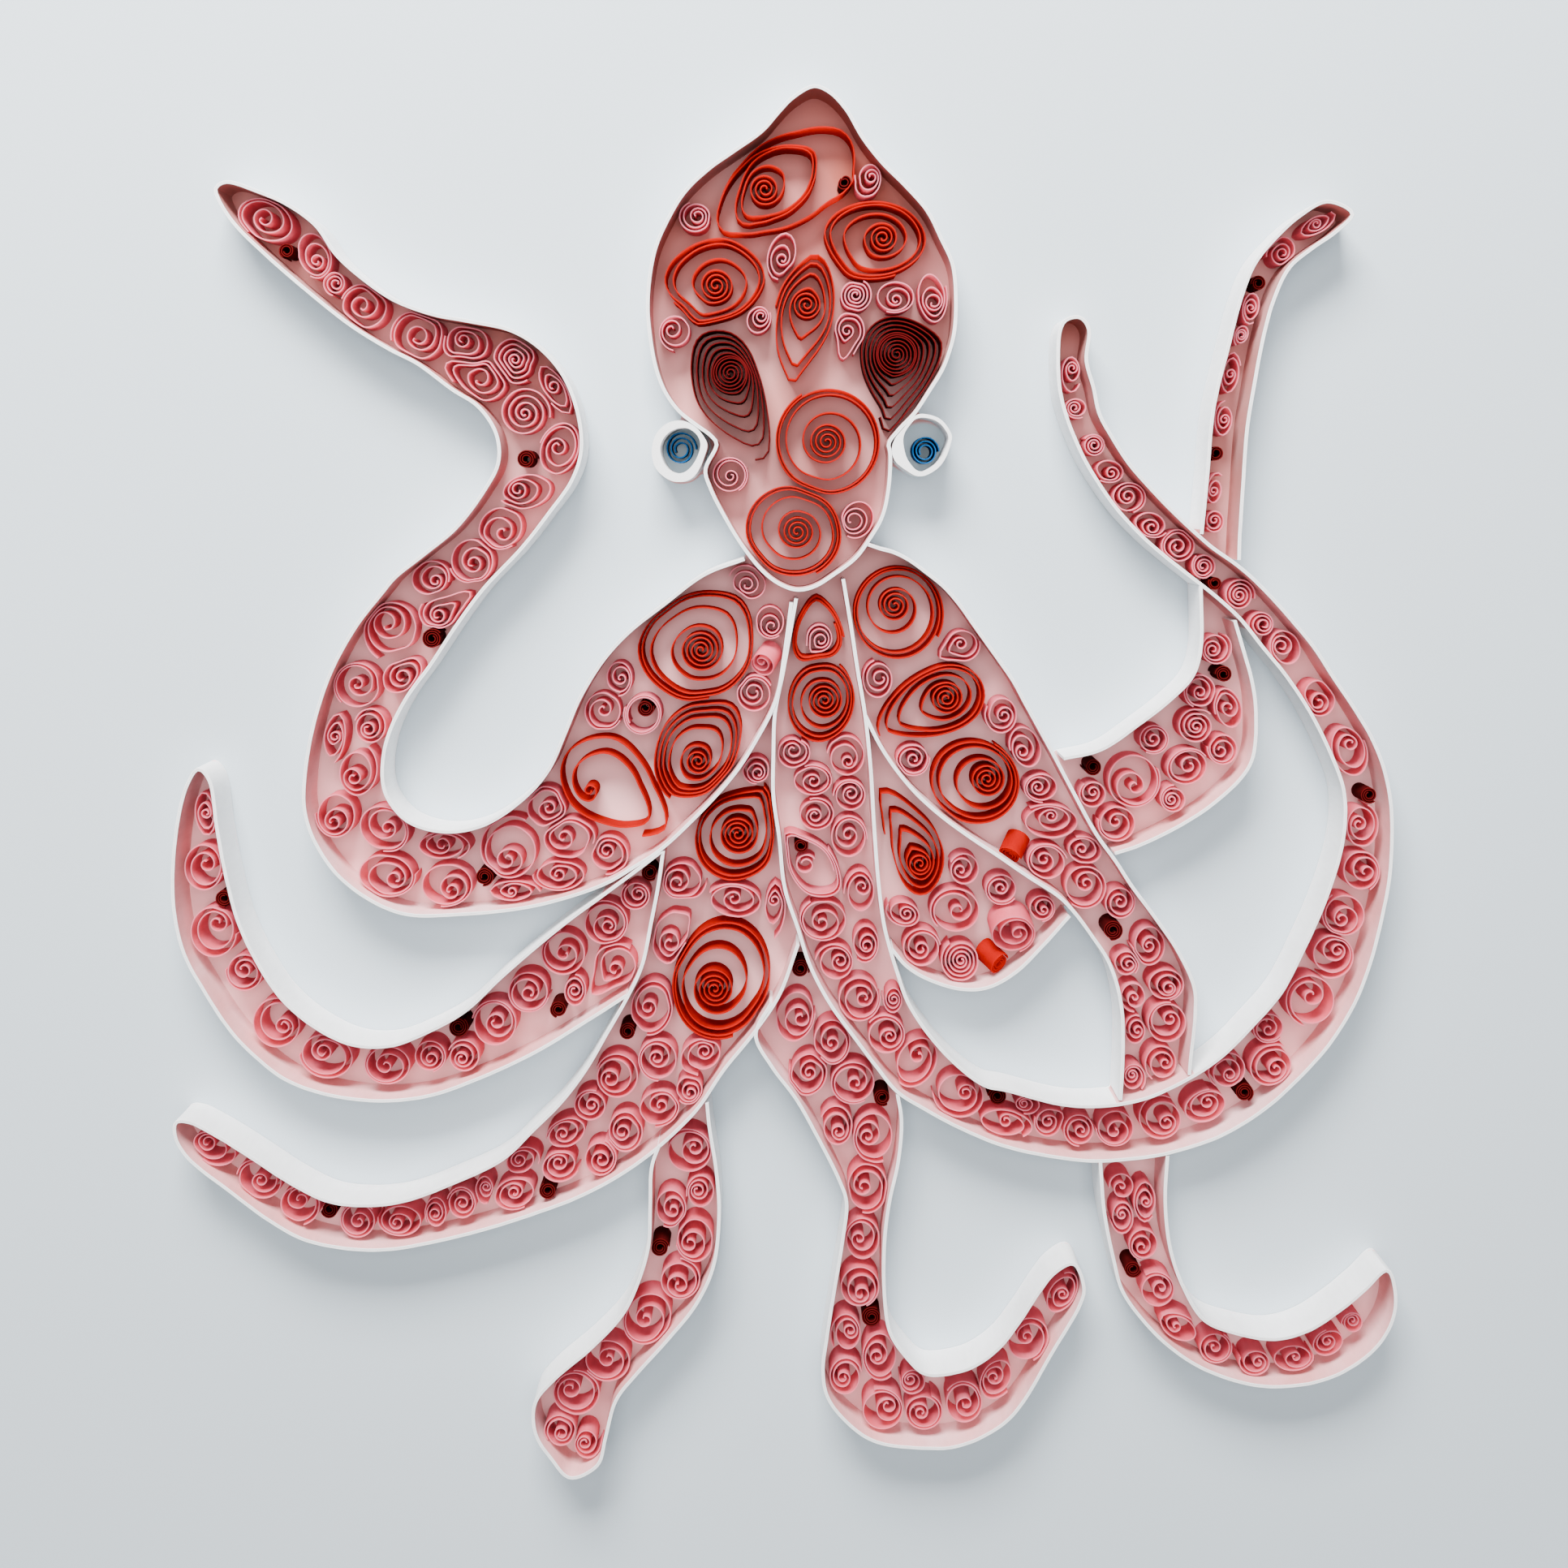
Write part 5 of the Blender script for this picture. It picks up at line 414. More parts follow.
CARD_OUTLINE = [(-46.25, -148.27), (-45.60, -148.10), (-44.89, -147.84), (-43.48, -147.12), (-42.20, -146.22), (-41.18, -145.22), (-40.81, -144.69), (-40.51, -144.11), (-40.09, -142.84), (-39.44, -139.43), (-37.82, -132.71), (-37.27, -131.12), (-36.94, -130.38), (-36.21, -129.09), (-35.35, -127.89), (-30.38, -122.05), (-26.12, -117.26), (-21.77, -112.05), (-20.10, -109.74), (-19.11, -108.11), (-18.19, -106.44), (-17.35, -104.71), (-16.59, -102.93), (-15.95, -101.06), (-15.40, -98.99), (-14.98, -96.63), (-14.70, -94.18), (-14.47, -90.53), (-14.38, -86.40), (-14.56, -82.90), (-15.00, -78.34), (-16.41, -68.97), (-16.92, -63.73), (-17.19, -63.30), (-17.24, -63.10), (-17.17, -62.69), (-14.61, -58.58), (-13.48, -56.93), (-11.51, -54.39), (-8.20, -50.37), (-8.04, -50.24), (-7.63, -50.14), (-7.43, -50.18), (-7.07, -50.39), (-6.95, -50.56), (-6.38, -51.86), (-5.98, -52.58), (-2.78, -57.48), (-0.08, -60.98), (1.44, -63.14), (2.40, -64.70), (4.18, -67.94), (7.52, -74.38), (9.60, -78.59), (10.47, -80.49), (11.85, -84.00), (12.06, -84.83), (12.20, -85.78), (12.25, -87.28), (12.13, -88.96), (10.90, -97.70), (9.99, -103.22), (8.37, -113.83), (7.32, -121.32), (7.23, -122.83), (7.29, -124.86), (7.40, -126.12), (7.59, -127.36), (7.89, -128.58), (8.33, -129.79), (8.65, -130.46), (9.43, -131.79), (10.37, -133.08), (11.93, -134.91), (13.52, -136.47), (14.58, -137.39), (15.68, -138.24), (16.86, -139.00), (18.12, -139.66), (19.63, -140.25), (20.50, -140.51), (22.35, -140.90), (24.28, -141.16), (27.17, -141.40), (31.66, -141.62), (33.45, -141.59), (35.24, -141.43), (37.03, -141.08), (38.01, -140.79), (40.02, -140.05), (41.03, -139.61), (43.00, -138.61), (44.84, -137.51), (45.69, -136.95), (47.03, -135.94), (48.50, -134.57), (49.77, -133.07), (51.06, -131.32), (52.38, -129.29), (53.70, -126.95), (56.97, -120.69), (58.23, -118.42), (62.09, -111.72), (63.07, -109.75), (63.89, -107.61), (64.12, -106.85), (64.26, -106.09), (64.29, -105.30), (64.19, -104.30), (63.89, -102.98), (63.44, -101.58), (62.85, -100.32), (62.54, -99.84), (62.15, -99.41), (61.67, -99.11), (61.24, -99.03), (60.69, -99.08), (60.23, -99.23), (59.31, -99.70), (58.38, -100.35), (56.75, -101.70), (55.76, -102.83), (53.56, -106.05), (50.13, -111.69), (47.11, -116.13), (45.73, -117.84), (44.73, -118.85), (43.66, -119.80), (42.54, -120.69), (41.38, -121.50), (39.58, -122.50), (38.32, -123.01), (36.27, -123.60), (34.26, -123.98), (33.06, -124.11), (31.51, -124.18), (30.82, -124.14), (30.17, -124.00), (29.53, -123.76), (28.74, -123.25), (27.94, -122.55), (26.75, -121.24), (24.89, -118.91), (23.54, -116.97), (22.97, -115.92), (22.49, -114.80), (22.06, -113.38), (21.76, -111.84), (21.46, -109.36), (21.17, -105.58), (21.04, -101.93), (21.03, -99.40), (21.18, -94.58), (21.30, -92.73), (21.67, -89.23), (22.17, -85.77), (22.51, -83.99), (23.54, -79.50), (23.89, -77.68), (24.27, -74.95), (24.62, -71.23), (24.69, -69.44), (24.68, -67.74), (24.50, -65.85), (24.19, -64.04), (24.20, -63.83), (24.39, -63.46), (24.54, -63.33), (24.94, -63.20), (25.34, -63.28), (30.36, -66.25), (34.89, -68.74), (38.15, -70.35), (41.65, -71.94), (43.43, -72.66), (45.21, -73.31), (46.90, -73.85), (50.27, -74.74), (52.00, -75.12), (55.94, -75.87), (60.50, -76.54), (63.90, -76.86), (65.95, -76.95), (66.33, -77.11), (66.57, -77.45), (67.20, -84.72), (67.45, -86.99), (67.99, -90.37), (68.92, -94.87), (70.68, -102.41), (71.04, -103.70), (71.79, -105.62), (72.54, -107.04), (73.90, -109.12), (75.44, -111.14), (77.72, -113.85), (80.36, -116.59), (82.47, -118.50), (85.35, -120.71), (86.83, -121.71), (88.39, -122.64), (90.05, -123.50), (93.22, -124.86), (95.70, -125.75), (98.29, -126.52), (100.95, -127.10), (102.29, -127.30), (103.61, -127.43), (106.45, -127.50), (109.38, -127.33), (112.31, -126.93), (115.14, -126.28), (116.50, -125.86), (117.79, -125.38), (118.99, -124.86), (121.37, -123.59), (123.65, -122.10), (125.73, -120.44), (126.66, -119.56), (127.51, -118.66), (128.26, -117.74), (128.82, -116.95), (129.81, -115.26), (130.22, -114.38), (130.90, -112.57), (131.35, -110.74), (131.57, -108.95), (131.58, -108.06), (131.44, -106.05), (131.08, -103.99), (130.55, -102.19), (130.23, -101.48), (129.85, -100.94), (129.34, -100.57), (128.70, -100.55), (128.19, -100.78), (127.69, -101.16), (127.18, -101.65), (124.50, -104.71), (120.71, -108.18), (119.57, -109.15), (116.58, -111.47), (114.07, -113.19), (112.78, -113.92), (110.84, -114.78), (109.54, -115.25), (108.21, -115.62), (106.86, -115.89), (105.48, -116.04), (103.91, -116.03), (102.26, -115.86), (99.74, -115.39), (95.05, -114.14), (93.60, -113.67), (92.22, -113.10), (90.97, -112.38), (90.39, -111.94), (89.82, -111.42), (88.77, -110.17), (87.82, -108.73), (86.95, -107.17), (85.36, -103.92), (84.28, -101.31), (83.36, -98.58), (82.62, -95.76), (82.40, -94.75), (81.88, -91.58), (81.65, -89.42), (81.36, -85.17), (81.33, -83.21), (81.43, -80.31), (81.69, -75.65), (81.86, -75.28), (82.20, -75.04), (85.64, -74.07), (87.74, -73.39), (89.83, -72.62), (91.86, -71.78), (94.66, -70.39), (97.30, -68.83), (99.82, -67.13), (101.44, -65.92), (102.99, -64.66), (105.22, -62.66), (106.65, -61.26), (109.45, -58.37), (112.25, -55.31), (113.59, -53.72), (114.87, -52.08), (116.59, -49.61), (117.65, -47.93), (118.64, -46.21), (119.57, -44.47), (120.43, -42.71), (121.18, -40.99), (121.86, -39.28), (123.06, -35.74), (124.25, -31.50), (124.85, -28.99), (125.90, -23.91), (126.77, -18.94), (127.22, -15.64), (127.37, -13.91), (127.55, -9.26), (127.54, -6.60), (127.46, -3.94), (127.30, -1.43), (126.97, 1.46), (126.69, 3.10), (125.99, 6.21), (125.09, 9.17), (124.58, 10.58), (123.41, 13.32), (122.09, 15.94), (121.36, 17.18), (118.53, 21.56), (114.04, 28.02), (110.67, 33.11), (109.78, 34.34), (107.85, 36.73), (102.79, 42.46), (101.13, 44.25), (97.64, 47.75), (96.05, 49.21), (93.92, 50.97), (93.79, 51.14), (93.69, 51.54), (93.88, 52.17), (93.95, 58.09), (94.67, 75.64), (94.81, 77.94), (95.22, 81.89), (96.92, 93.05), (97.58, 96.77), (98.56, 101.34), (99.32, 104.13), (100.33, 106.98), (100.90, 108.42), (101.54, 109.79), (102.26, 111.04), (103.02, 112.05), (103.83, 112.87), (105.18, 113.98), (107.57, 115.77), (110.07, 117.43), (111.53, 118.47), (113.70, 120.30), (114.53, 121.08), (114.87, 121.49), (115.14, 121.91), (115.27, 122.27), (115.29, 122.76), (115.06, 123.24), (114.68, 123.65), (114.20, 124.01), (113.04, 124.65), (111.68, 125.16), (110.34, 125.46), (109.74, 125.50), (109.14, 125.44), (108.54, 125.30), (107.95, 125.08), (106.80, 124.49), (103.65, 122.32), (102.69, 121.56), (100.88, 119.91), (98.61, 117.55), (96.70, 115.37), (95.82, 114.19), (95.03, 112.96), (94.06, 111.01), (93.28, 108.96), (92.06, 105.07), (91.52, 103.06), (87.86, 87.41), (87.20, 83.76), (86.88, 81.03), (86.57, 76.79), (86.27, 71.15), (85.37, 58.94), (85.19, 58.57), (85.03, 58.43), (84.63, 58.30), (84.43, 58.32), (84.06, 58.51), (81.00, 61.33), (77.65, 64.63), (72.57, 69.98), (70.73, 72.16), (69.13, 74.39), (67.66, 76.67), (65.31, 80.51), (64.84, 81.41), (64.26, 82.82), (63.98, 83.84), (63.19, 87.61), (62.10, 90.96), (61.80, 92.07), (61.61, 93.19), (61.62, 94.42), (62.10, 97.83), (62.13, 98.47), (62.10, 99.11), (61.99, 99.62), (61.56, 100.61), (61.16, 101.18), (60.71, 101.67), (60.19, 102.04), (59.91, 102.17), (59.28, 102.30), (58.59, 102.28), (57.59, 102.05), (56.75, 101.65), (56.38, 101.35), (55.95, 100.80), (55.73, 100.37), (55.46, 99.63), (55.22, 98.57), (55.09, 97.30), (55.02, 95.19), (55.05, 92.43), (55.20, 89.65), (55.53, 86.93), (55.75, 85.74), (56.28, 83.69), (57.06, 81.27), (57.72, 79.51), (59.85, 74.63), (60.80, 72.73), (62.18, 70.38), (63.84, 67.80), (65.94, 64.79), (68.26, 61.85), (69.34, 60.62), (71.68, 58.18), (74.37, 55.61), (75.84, 54.34), (79.70, 51.21), (85.12, 47.06), (85.33, 46.70), (85.68, 39.94), (85.78, 36.05), (85.73, 34.90), (85.46, 32.50), (85.25, 31.32), (84.98, 30.23), (84.61, 29.20), (84.13, 28.19), (83.45, 27.13), (82.61, 26.10), (81.14, 24.62), (78.96, 22.60), (76.38, 20.47), (68.48, 14.54), (66.96, 13.56), (65.46, 12.78), (64.73, 12.49), (63.23, 12.02), (57.65, 10.88), (57.29, 10.63), (57.09, 10.57), (56.68, 10.62), (56.34, 10.86), (49.82, 22.54), (47.88, 26.15), (46.37, 28.53), (36.65, 42.18), (34.79, 44.52), (33.47, 46.02), (32.77, 46.73), (31.30, 48.02), (27.14, 51.22), (25.63, 52.27), (23.71, 53.36), (22.47, 53.92), (21.21, 54.35), (19.67, 54.73), (17.66, 55.41), (17.49, 55.53), (17.27, 55.88), (17.25, 56.29), (17.33, 56.49), (18.84, 58.92), (19.37, 59.91), (19.82, 60.94), (20.37, 62.69), (20.88, 65.15), (21.23, 67.76), (21.46, 70.88), (21.64, 71.26), (21.98, 71.50), (22.18, 71.54), (22.59, 71.47), (24.31, 70.27), (25.66, 69.48), (26.65, 69.12), (27.09, 69.05), (27.53, 69.07), (28.48, 69.28), (29.77, 69.88), (30.51, 70.35), (31.10, 70.81), (31.87, 71.62), (32.32, 72.23), (32.77, 73.00), (33.41, 74.52), (33.74, 75.55), (34.08, 77.00), (34.12, 77.38), (34.09, 77.79), (33.91, 78.40), (33.21, 79.67), (32.58, 80.50), (31.90, 81.19), (31.59, 81.43), (30.55, 81.99), (29.12, 82.42), (28.02, 82.61), (27.65, 82.80), (27.52, 82.96), (27.40, 83.36), (27.49, 83.76), (31.26, 89.69), (32.14, 91.32), (32.70, 92.64), (33.43, 94.73), (33.94, 96.45), (34.35, 98.33), (34.51, 99.46), (34.71, 102.21), (34.72, 105.08), (34.58, 108.52), (34.45, 109.90), (34.26, 111.25), (33.97, 112.55), (33.37, 114.23), (29.69, 121.75), (28.70, 123.39), (27.89, 124.47), (26.54, 126.01), (23.69, 128.94), (19.81, 132.66), (18.94, 133.61), (17.31, 135.56), (15.43, 138.10), (14.75, 139.16), (13.16, 141.99), (12.48, 143.07), (11.45, 144.39), (10.06, 145.95), (8.94, 146.91), (7.63, 147.73), (6.97, 148.04), (6.29, 148.26), (5.57, 148.36), (4.76, 148.29), (3.81, 147.97), (2.87, 147.48), (1.54, 146.61), (0.44, 145.80), (-0.14, 145.31), (-2.27, 143.06), (-4.74, 140.19), (-5.53, 139.43), (-6.97, 138.30), (-15.29, 132.72), (-16.38, 131.88), (-18.51, 130.09), (-20.51, 128.16), (-21.41, 127.14), (-22.50, 125.67), (-23.75, 123.64), (-25.51, 120.36), (-26.62, 117.99), (-27.11, 116.77), (-27.52, 115.51), (-27.87, 114.21), (-28.41, 111.55), (-28.79, 108.91), (-28.92, 107.61), (-29.07, 105.01), (-29.07, 102.57), (-28.81, 99.35), (-28.21, 94.91), (-27.55, 91.76), (-27.12, 90.24), (-26.62, 88.79), (-25.68, 86.68), (-24.79, 85.18), (-23.70, 83.67), (-22.67, 82.49), (-22.51, 82.11), (-22.57, 81.70), (-22.67, 81.52), (-23.00, 81.27), (-23.88, 81.08), (-24.87, 80.73), (-25.48, 80.39), (-26.31, 79.72), (-27.20, 78.73), (-27.52, 78.22), (-28.00, 77.14), (-28.34, 75.85), (-28.47, 74.42), (-28.43, 73.71), (-28.15, 72.25), (-27.91, 71.57), (-27.48, 70.75), (-27.15, 70.29), (-26.35, 69.47), (-25.21, 68.65), (-24.55, 68.30), (-23.86, 68.06), (-22.70, 67.92), (-21.91, 67.94), (-20.81, 68.15), (-20.28, 68.37), (-19.57, 68.81), (-18.98, 69.33), (-18.63, 69.72), (-18.26, 69.92), (-18.06, 69.94), (-17.66, 69.82), (-17.38, 69.52), (-17.15, 68.81), (-16.20, 66.40), (-15.08, 64.00), (-12.27, 58.89), (-10.64, 56.21), (-8.97, 53.76), (-8.90, 53.56), (-8.91, 53.15), (-9.13, 52.79), (-9.30, 52.67), (-15.02, 50.64), (-16.69, 49.91), (-17.51, 49.48), (-19.27, 48.40), (-21.00, 47.16), (-25.20, 43.84), (-30.53, 39.79), (-31.96, 38.63), (-33.33, 37.43), (-35.66, 35.15), (-37.80, 32.74), (-38.83, 31.44), (-39.93, 29.93), (-40.99, 28.33), (-42.97, 25.02), (-43.86, 23.38), (-44.58, 21.89), (-48.68, 11.97), (-49.40, 10.38), (-50.20, 8.86), (-50.64, 8.15), (-52.07, 6.18), (-53.12, 4.94), (-54.84, 3.17), (-56.84, 1.42), (-58.45, 0.15), (-60.16, -1.06), (-61.94, -2.16), (-63.68, -3.05), (-65.39, -3.70), (-67.07, -4.16), (-67.93, -4.34), (-69.64, -4.58), (-71.32, -4.67), (-72.15, -4.66), (-73.71, -4.52), (-75.25, -4.26), (-76.75, -3.85), (-78.18, -3.32), (-79.47, -2.65), (-80.05, -2.27), (-81.07, -1.42), (-82.02, -0.40), (-82.85, 0.72), (-83.54, 1.90), (-84.08, 3.07), (-84.42, 4.20), (-84.61, 5.39), (-84.69, 7.25), (-84.56, 9.78), (-84.38, 11.08), (-83.96, 13.07), (-83.14, 15.72), (-82.56, 17.18), (-81.51, 19.40), (-80.72, 20.86), (-79.02, 23.70), (-77.57, 25.70), (-74.43, 29.81), (-68.95, 37.95), (-65.69, 42.48), (-63.46, 45.32), (-61.35, 47.71), (-55.57, 53.63), (-53.06, 56.55), (-46.57, 64.93), (-45.52, 66.40), (-44.59, 67.86), (-43.63, 69.80), (-43.15, 71.00), (-42.75, 72.20), (-42.46, 73.44), (-42.19, 75.44), (-42.16, 76.94), (-42.32, 79.24), (-42.69, 81.55), (-43.04, 83.10), (-43.49, 84.73), (-44.03, 86.35), (-44.67, 87.95), (-45.40, 89.46), (-46.65, 91.50), (-47.11, 92.13), (-48.62, 93.93), (-49.69, 95.03), (-51.34, 96.48), (-52.44, 97.29), (-54.17, 98.37), (-55.39, 98.99), (-56.69, 99.55), (-58.26, 100.07), (-59.93, 100.46), (-71.27, 102.48), (-72.78, 102.84), (-75.88, 103.79), (-78.88, 104.94), (-80.29, 105.60), (-82.12, 106.64), (-84.41, 108.20), (-86.71, 109.96), (-89.14, 111.96), (-90.31, 113.01), (-91.40, 114.11), (-92.34, 115.21), (-92.74, 115.77), (-94.58, 118.80), (-95.42, 119.98), (-96.41, 121.03), (-97.49, 121.98), (-99.24, 123.29), (-101.65, 124.80), (-102.80, 125.43), (-105.16, 126.49), (-110.41, 128.50), (-111.89, 129.01), (-113.27, 129.34), (-113.93, 129.40), (-114.76, 129.32), (-115.34, 129.12), (-115.87, 128.84), (-116.31, 128.49), (-116.65, 128.10), (-116.85, 127.59), (-116.82, 126.91), (-116.16, 125.22), (-115.72, 124.33), (-114.54, 122.35), (-113.83, 121.33), (-112.95, 120.21), (-111.20, 118.32), (-109.90, 117.04), (-104.65, 112.17), (-101.08, 109.05), (-95.81, 104.62), (-92.34, 101.81), (-90.60, 100.50), (-87.37, 98.29), (-84.24, 96.38), (-80.79, 94.45), (-77.40, 92.80), (-76.27, 92.15), (-74.17, 90.68), (-69.20, 86.87), (-68.06, 86.14), (-65.85, 84.86), (-64.85, 84.19), (-63.96, 83.42), (-63.11, 82.50), (-62.29, 81.46), (-61.55, 80.36), (-60.69, 78.66), (-60.31, 77.56), (-60.06, 76.45), (-59.92, 75.31), (-59.89, 74.16), (-59.99, 73.03), (-60.24, 71.89), (-60.68, 70.75), (-61.27, 69.61), (-63.63, 65.87), (-65.89, 62.72), (-67.15, 61.15), (-69.10, 58.98), (-70.38, 57.78), (-72.42, 56.12), (-80.85, 49.66), (-81.88, 48.75), (-83.01, 47.54), (-88.37, 41.04), (-89.52, 39.50), (-91.28, 36.90), (-92.47, 34.97), (-93.64, 32.96), (-94.73, 30.90), (-95.74, 28.82), (-97.09, 25.60), (-98.26, 22.29), (-99.59, 17.84), (-100.15, 15.62), (-101.11, 11.08), (-101.47, 8.88), (-101.74, 6.80), (-102.03, 3.69), (-102.09, 2.21), (-102.01, 0.02), (-101.82, -1.42), (-101.36, -3.51), (-100.70, -5.56), (-99.85, -7.57), (-98.69, -9.77), (-97.79, -11.22), (-96.80, -12.63), (-95.17, -14.61), (-93.98, -15.82), (-92.04, -17.50), (-91.36, -18.02), (-89.25, -19.46), (-86.36, -21.10), (-84.86, -21.80), (-83.29, -22.41), (-81.63, -22.89), (-79.69, -23.26), (-78.57, -23.37), (-76.25, -23.44), (-73.84, -23.37), (-65.31, -22.85), (-60.31, -22.36), (-57.93, -22.04), (-54.11, -21.39), (-52.41, -21.03), (-49.04, -20.18), (-45.17, -19.03), (-43.12, -18.34), (-40.69, -17.45), (-40.28, -17.46), (-39.92, -17.67), (-39.72, -18.03), (-39.73, -18.45), (-39.94, -18.80), (-46.36, -23.54), (-50.47, -26.85), (-55.76, -31.35), (-61.64, -36.58), (-65.63, -40.56), (-67.16, -42.00), (-68.75, -43.31), (-70.30, -44.38), (-72.67, -45.82), (-75.90, -47.48), (-79.86, -49.32), (-81.44, -49.96), (-83.02, -50.48), (-84.60, -50.85), (-86.15, -51.06), (-87.72, -51.15), (-89.30, -51.12), (-90.85, -50.97), (-92.38, -50.68), (-93.17, -50.47), (-94.76, -49.92), (-96.34, -49.21), (-98.65, -47.94), (-100.12, -47.02), (-101.56, -46.02), (-102.96, -44.94), (-104.31, -43.78), (-105.59, -42.55), (-107.35, -40.59), (-108.42, -39.18), (-109.89, -36.93), (-110.81, -35.36), (-112.60, -32.03), (-114.29, -28.42), (-115.04, -26.57), (-116.00, -23.78), (-116.53, -21.91), (-116.99, -20.01), (-118.19, -14.10), (-118.56, -11.97), (-119.71, -4.40), (-119.95, -2.17), (-120.32, 2.51), (-120.62, 4.58), (-120.84, 5.48), (-121.13, 6.23), (-121.51, 6.95), (-121.95, 7.61), (-122.45, 8.16), (-122.98, 8.54), (-123.28, 8.65), (-123.66, 8.68), (-124.00, 8.58), (-124.41, 8.32), (-125.01, 7.65), (-125.58, 6.75), (-126.62, 4.67), (-126.99, 3.76), (-127.67, 1.63), (-128.27, -0.79), (-129.02, -4.65), (-129.76, -9.80), (-130.02, -12.50), (-130.20, -15.21), (-130.24, -19.20), (-130.11, -21.61), (-129.88, -23.86), (-129.55, -26.06), (-129.12, -28.20), (-128.59, -30.25), (-127.97, -32.12), (-126.91, -34.56), (-125.69, -36.87), (-122.26, -42.93), (-121.11, -44.81), (-119.35, -47.46), (-118.27, -48.89), (-117.29, -50.08), (-115.29, -52.25), (-111.40, -55.94), (-110.19, -56.97), (-108.23, -58.40), (-106.79, -59.25), (-104.42, -60.36), (-101.90, -61.29), (-99.23, -62.07), (-95.89, -62.80), (-93.52, -63.19), (-91.12, -63.47), (-88.74, -63.64), (-85.38, -63.67), (-83.20, -63.56), (-81.03, -63.35), (-78.88, -63.03), (-75.65, -62.34), (-73.51, -61.72), (-70.35, -60.59), (-64.81, -58.32), (-59.65, -56.00), (-54.53, -53.44), (-52.19, -52.16), (-48.90, -50.20), (-37.29, -42.73), (-37.09, -42.66), (-36.68, -42.69), (-36.34, -42.93), (-36.16, -43.30), (-36.19, -43.71), (-41.95, -53.95), (-42.85, -55.43), (-44.80, -58.35), (-46.89, -61.19), (-49.16, -63.93), (-50.41, -65.27), (-55.03, -69.83), (-58.04, -72.99), (-59.27, -74.20), (-60.61, -75.35), (-61.34, -75.89), (-63.24, -77.09), (-64.27, -77.66), (-67.59, -79.27), (-76.43, -83.05), (-78.59, -83.88), (-81.72, -84.91), (-83.56, -85.36), (-85.97, -85.77), (-88.32, -85.99), (-89.89, -86.05), (-93.07, -86.01), (-94.66, -85.90), (-96.23, -85.70), (-97.78, -85.39), (-99.34, -84.92), (-100.13, -84.62), (-101.71, -83.90), (-104.05, -82.63), (-107.19, -80.76), (-109.53, -79.19), (-112.65, -76.96), (-118.09, -73.26), (-121.15, -71.29), (-125.92, -68.53), (-127.18, -67.94), (-127.77, -67.73), (-128.93, -67.47), (-129.53, -67.41), (-130.10, -67.42), (-130.63, -67.55), (-131.10, -67.86), (-131.33, -68.19), (-131.53, -68.86), (-131.59, -69.68), (-131.48, -70.98), (-131.19, -72.24), (-130.85, -73.13), (-130.12, -74.45), (-128.77, -76.25), (-128.12, -76.97), (-126.52, -78.46), (-124.67, -79.97), (-120.80, -82.96), (-115.21, -87.48), (-113.64, -88.68), (-109.80, -91.34), (-108.30, -92.32), (-106.74, -93.22), (-105.10, -94.02), (-104.25, -94.37), (-102.22, -95.04), (-101.15, -95.33), (-97.83, -96.01), (-95.64, -96.33), (-91.91, -96.71), (-90.34, -96.78), (-87.18, -96.71), (-84.24, -96.44), (-81.63, -96.05), (-77.48, -95.24), (-72.09, -94.03), (-67.59, -92.86), (-63.29, -91.59), (-59.33, -90.34), (-53.94, -88.48), (-48.98, -86.67), (-46.43, -85.63), (-43.38, -84.23), (-40.10, -82.55), (-38.47, -81.65), (-35.17, -79.59), (-33.50, -78.46), (-30.59, -76.36), (-30.19, -76.25), (-29.98, -76.28), (-29.63, -76.49), (-29.42, -76.85), (-29.39, -77.06), (-29.65, -78.51), (-29.83, -81.04), (-30.08, -92.65), (-30.23, -94.39), (-30.67, -96.93), (-31.31, -99.45), (-32.37, -102.72), (-33.51, -105.71), (-34.12, -107.12), (-34.80, -108.51), (-35.58, -109.87), (-36.56, -111.33), (-38.46, -113.65), (-40.62, -115.93), (-42.87, -118.16), (-44.47, -119.63), (-48.77, -123.20), (-50.34, -124.62), (-53.03, -127.41), (-53.93, -128.46), (-54.68, -129.58), (-55.24, -130.81), (-55.43, -131.48), (-55.65, -132.91), (-55.70, -134.40), (-55.58, -135.91), (-55.33, -137.36), (-54.93, -138.74), (-54.32, -140.08), (-53.56, -141.37), (-49.76, -146.70), (-48.98, -147.56), (-48.53, -147.91), (-48.06, -148.17), (-47.59, -148.31), (-46.91, -148.36)]
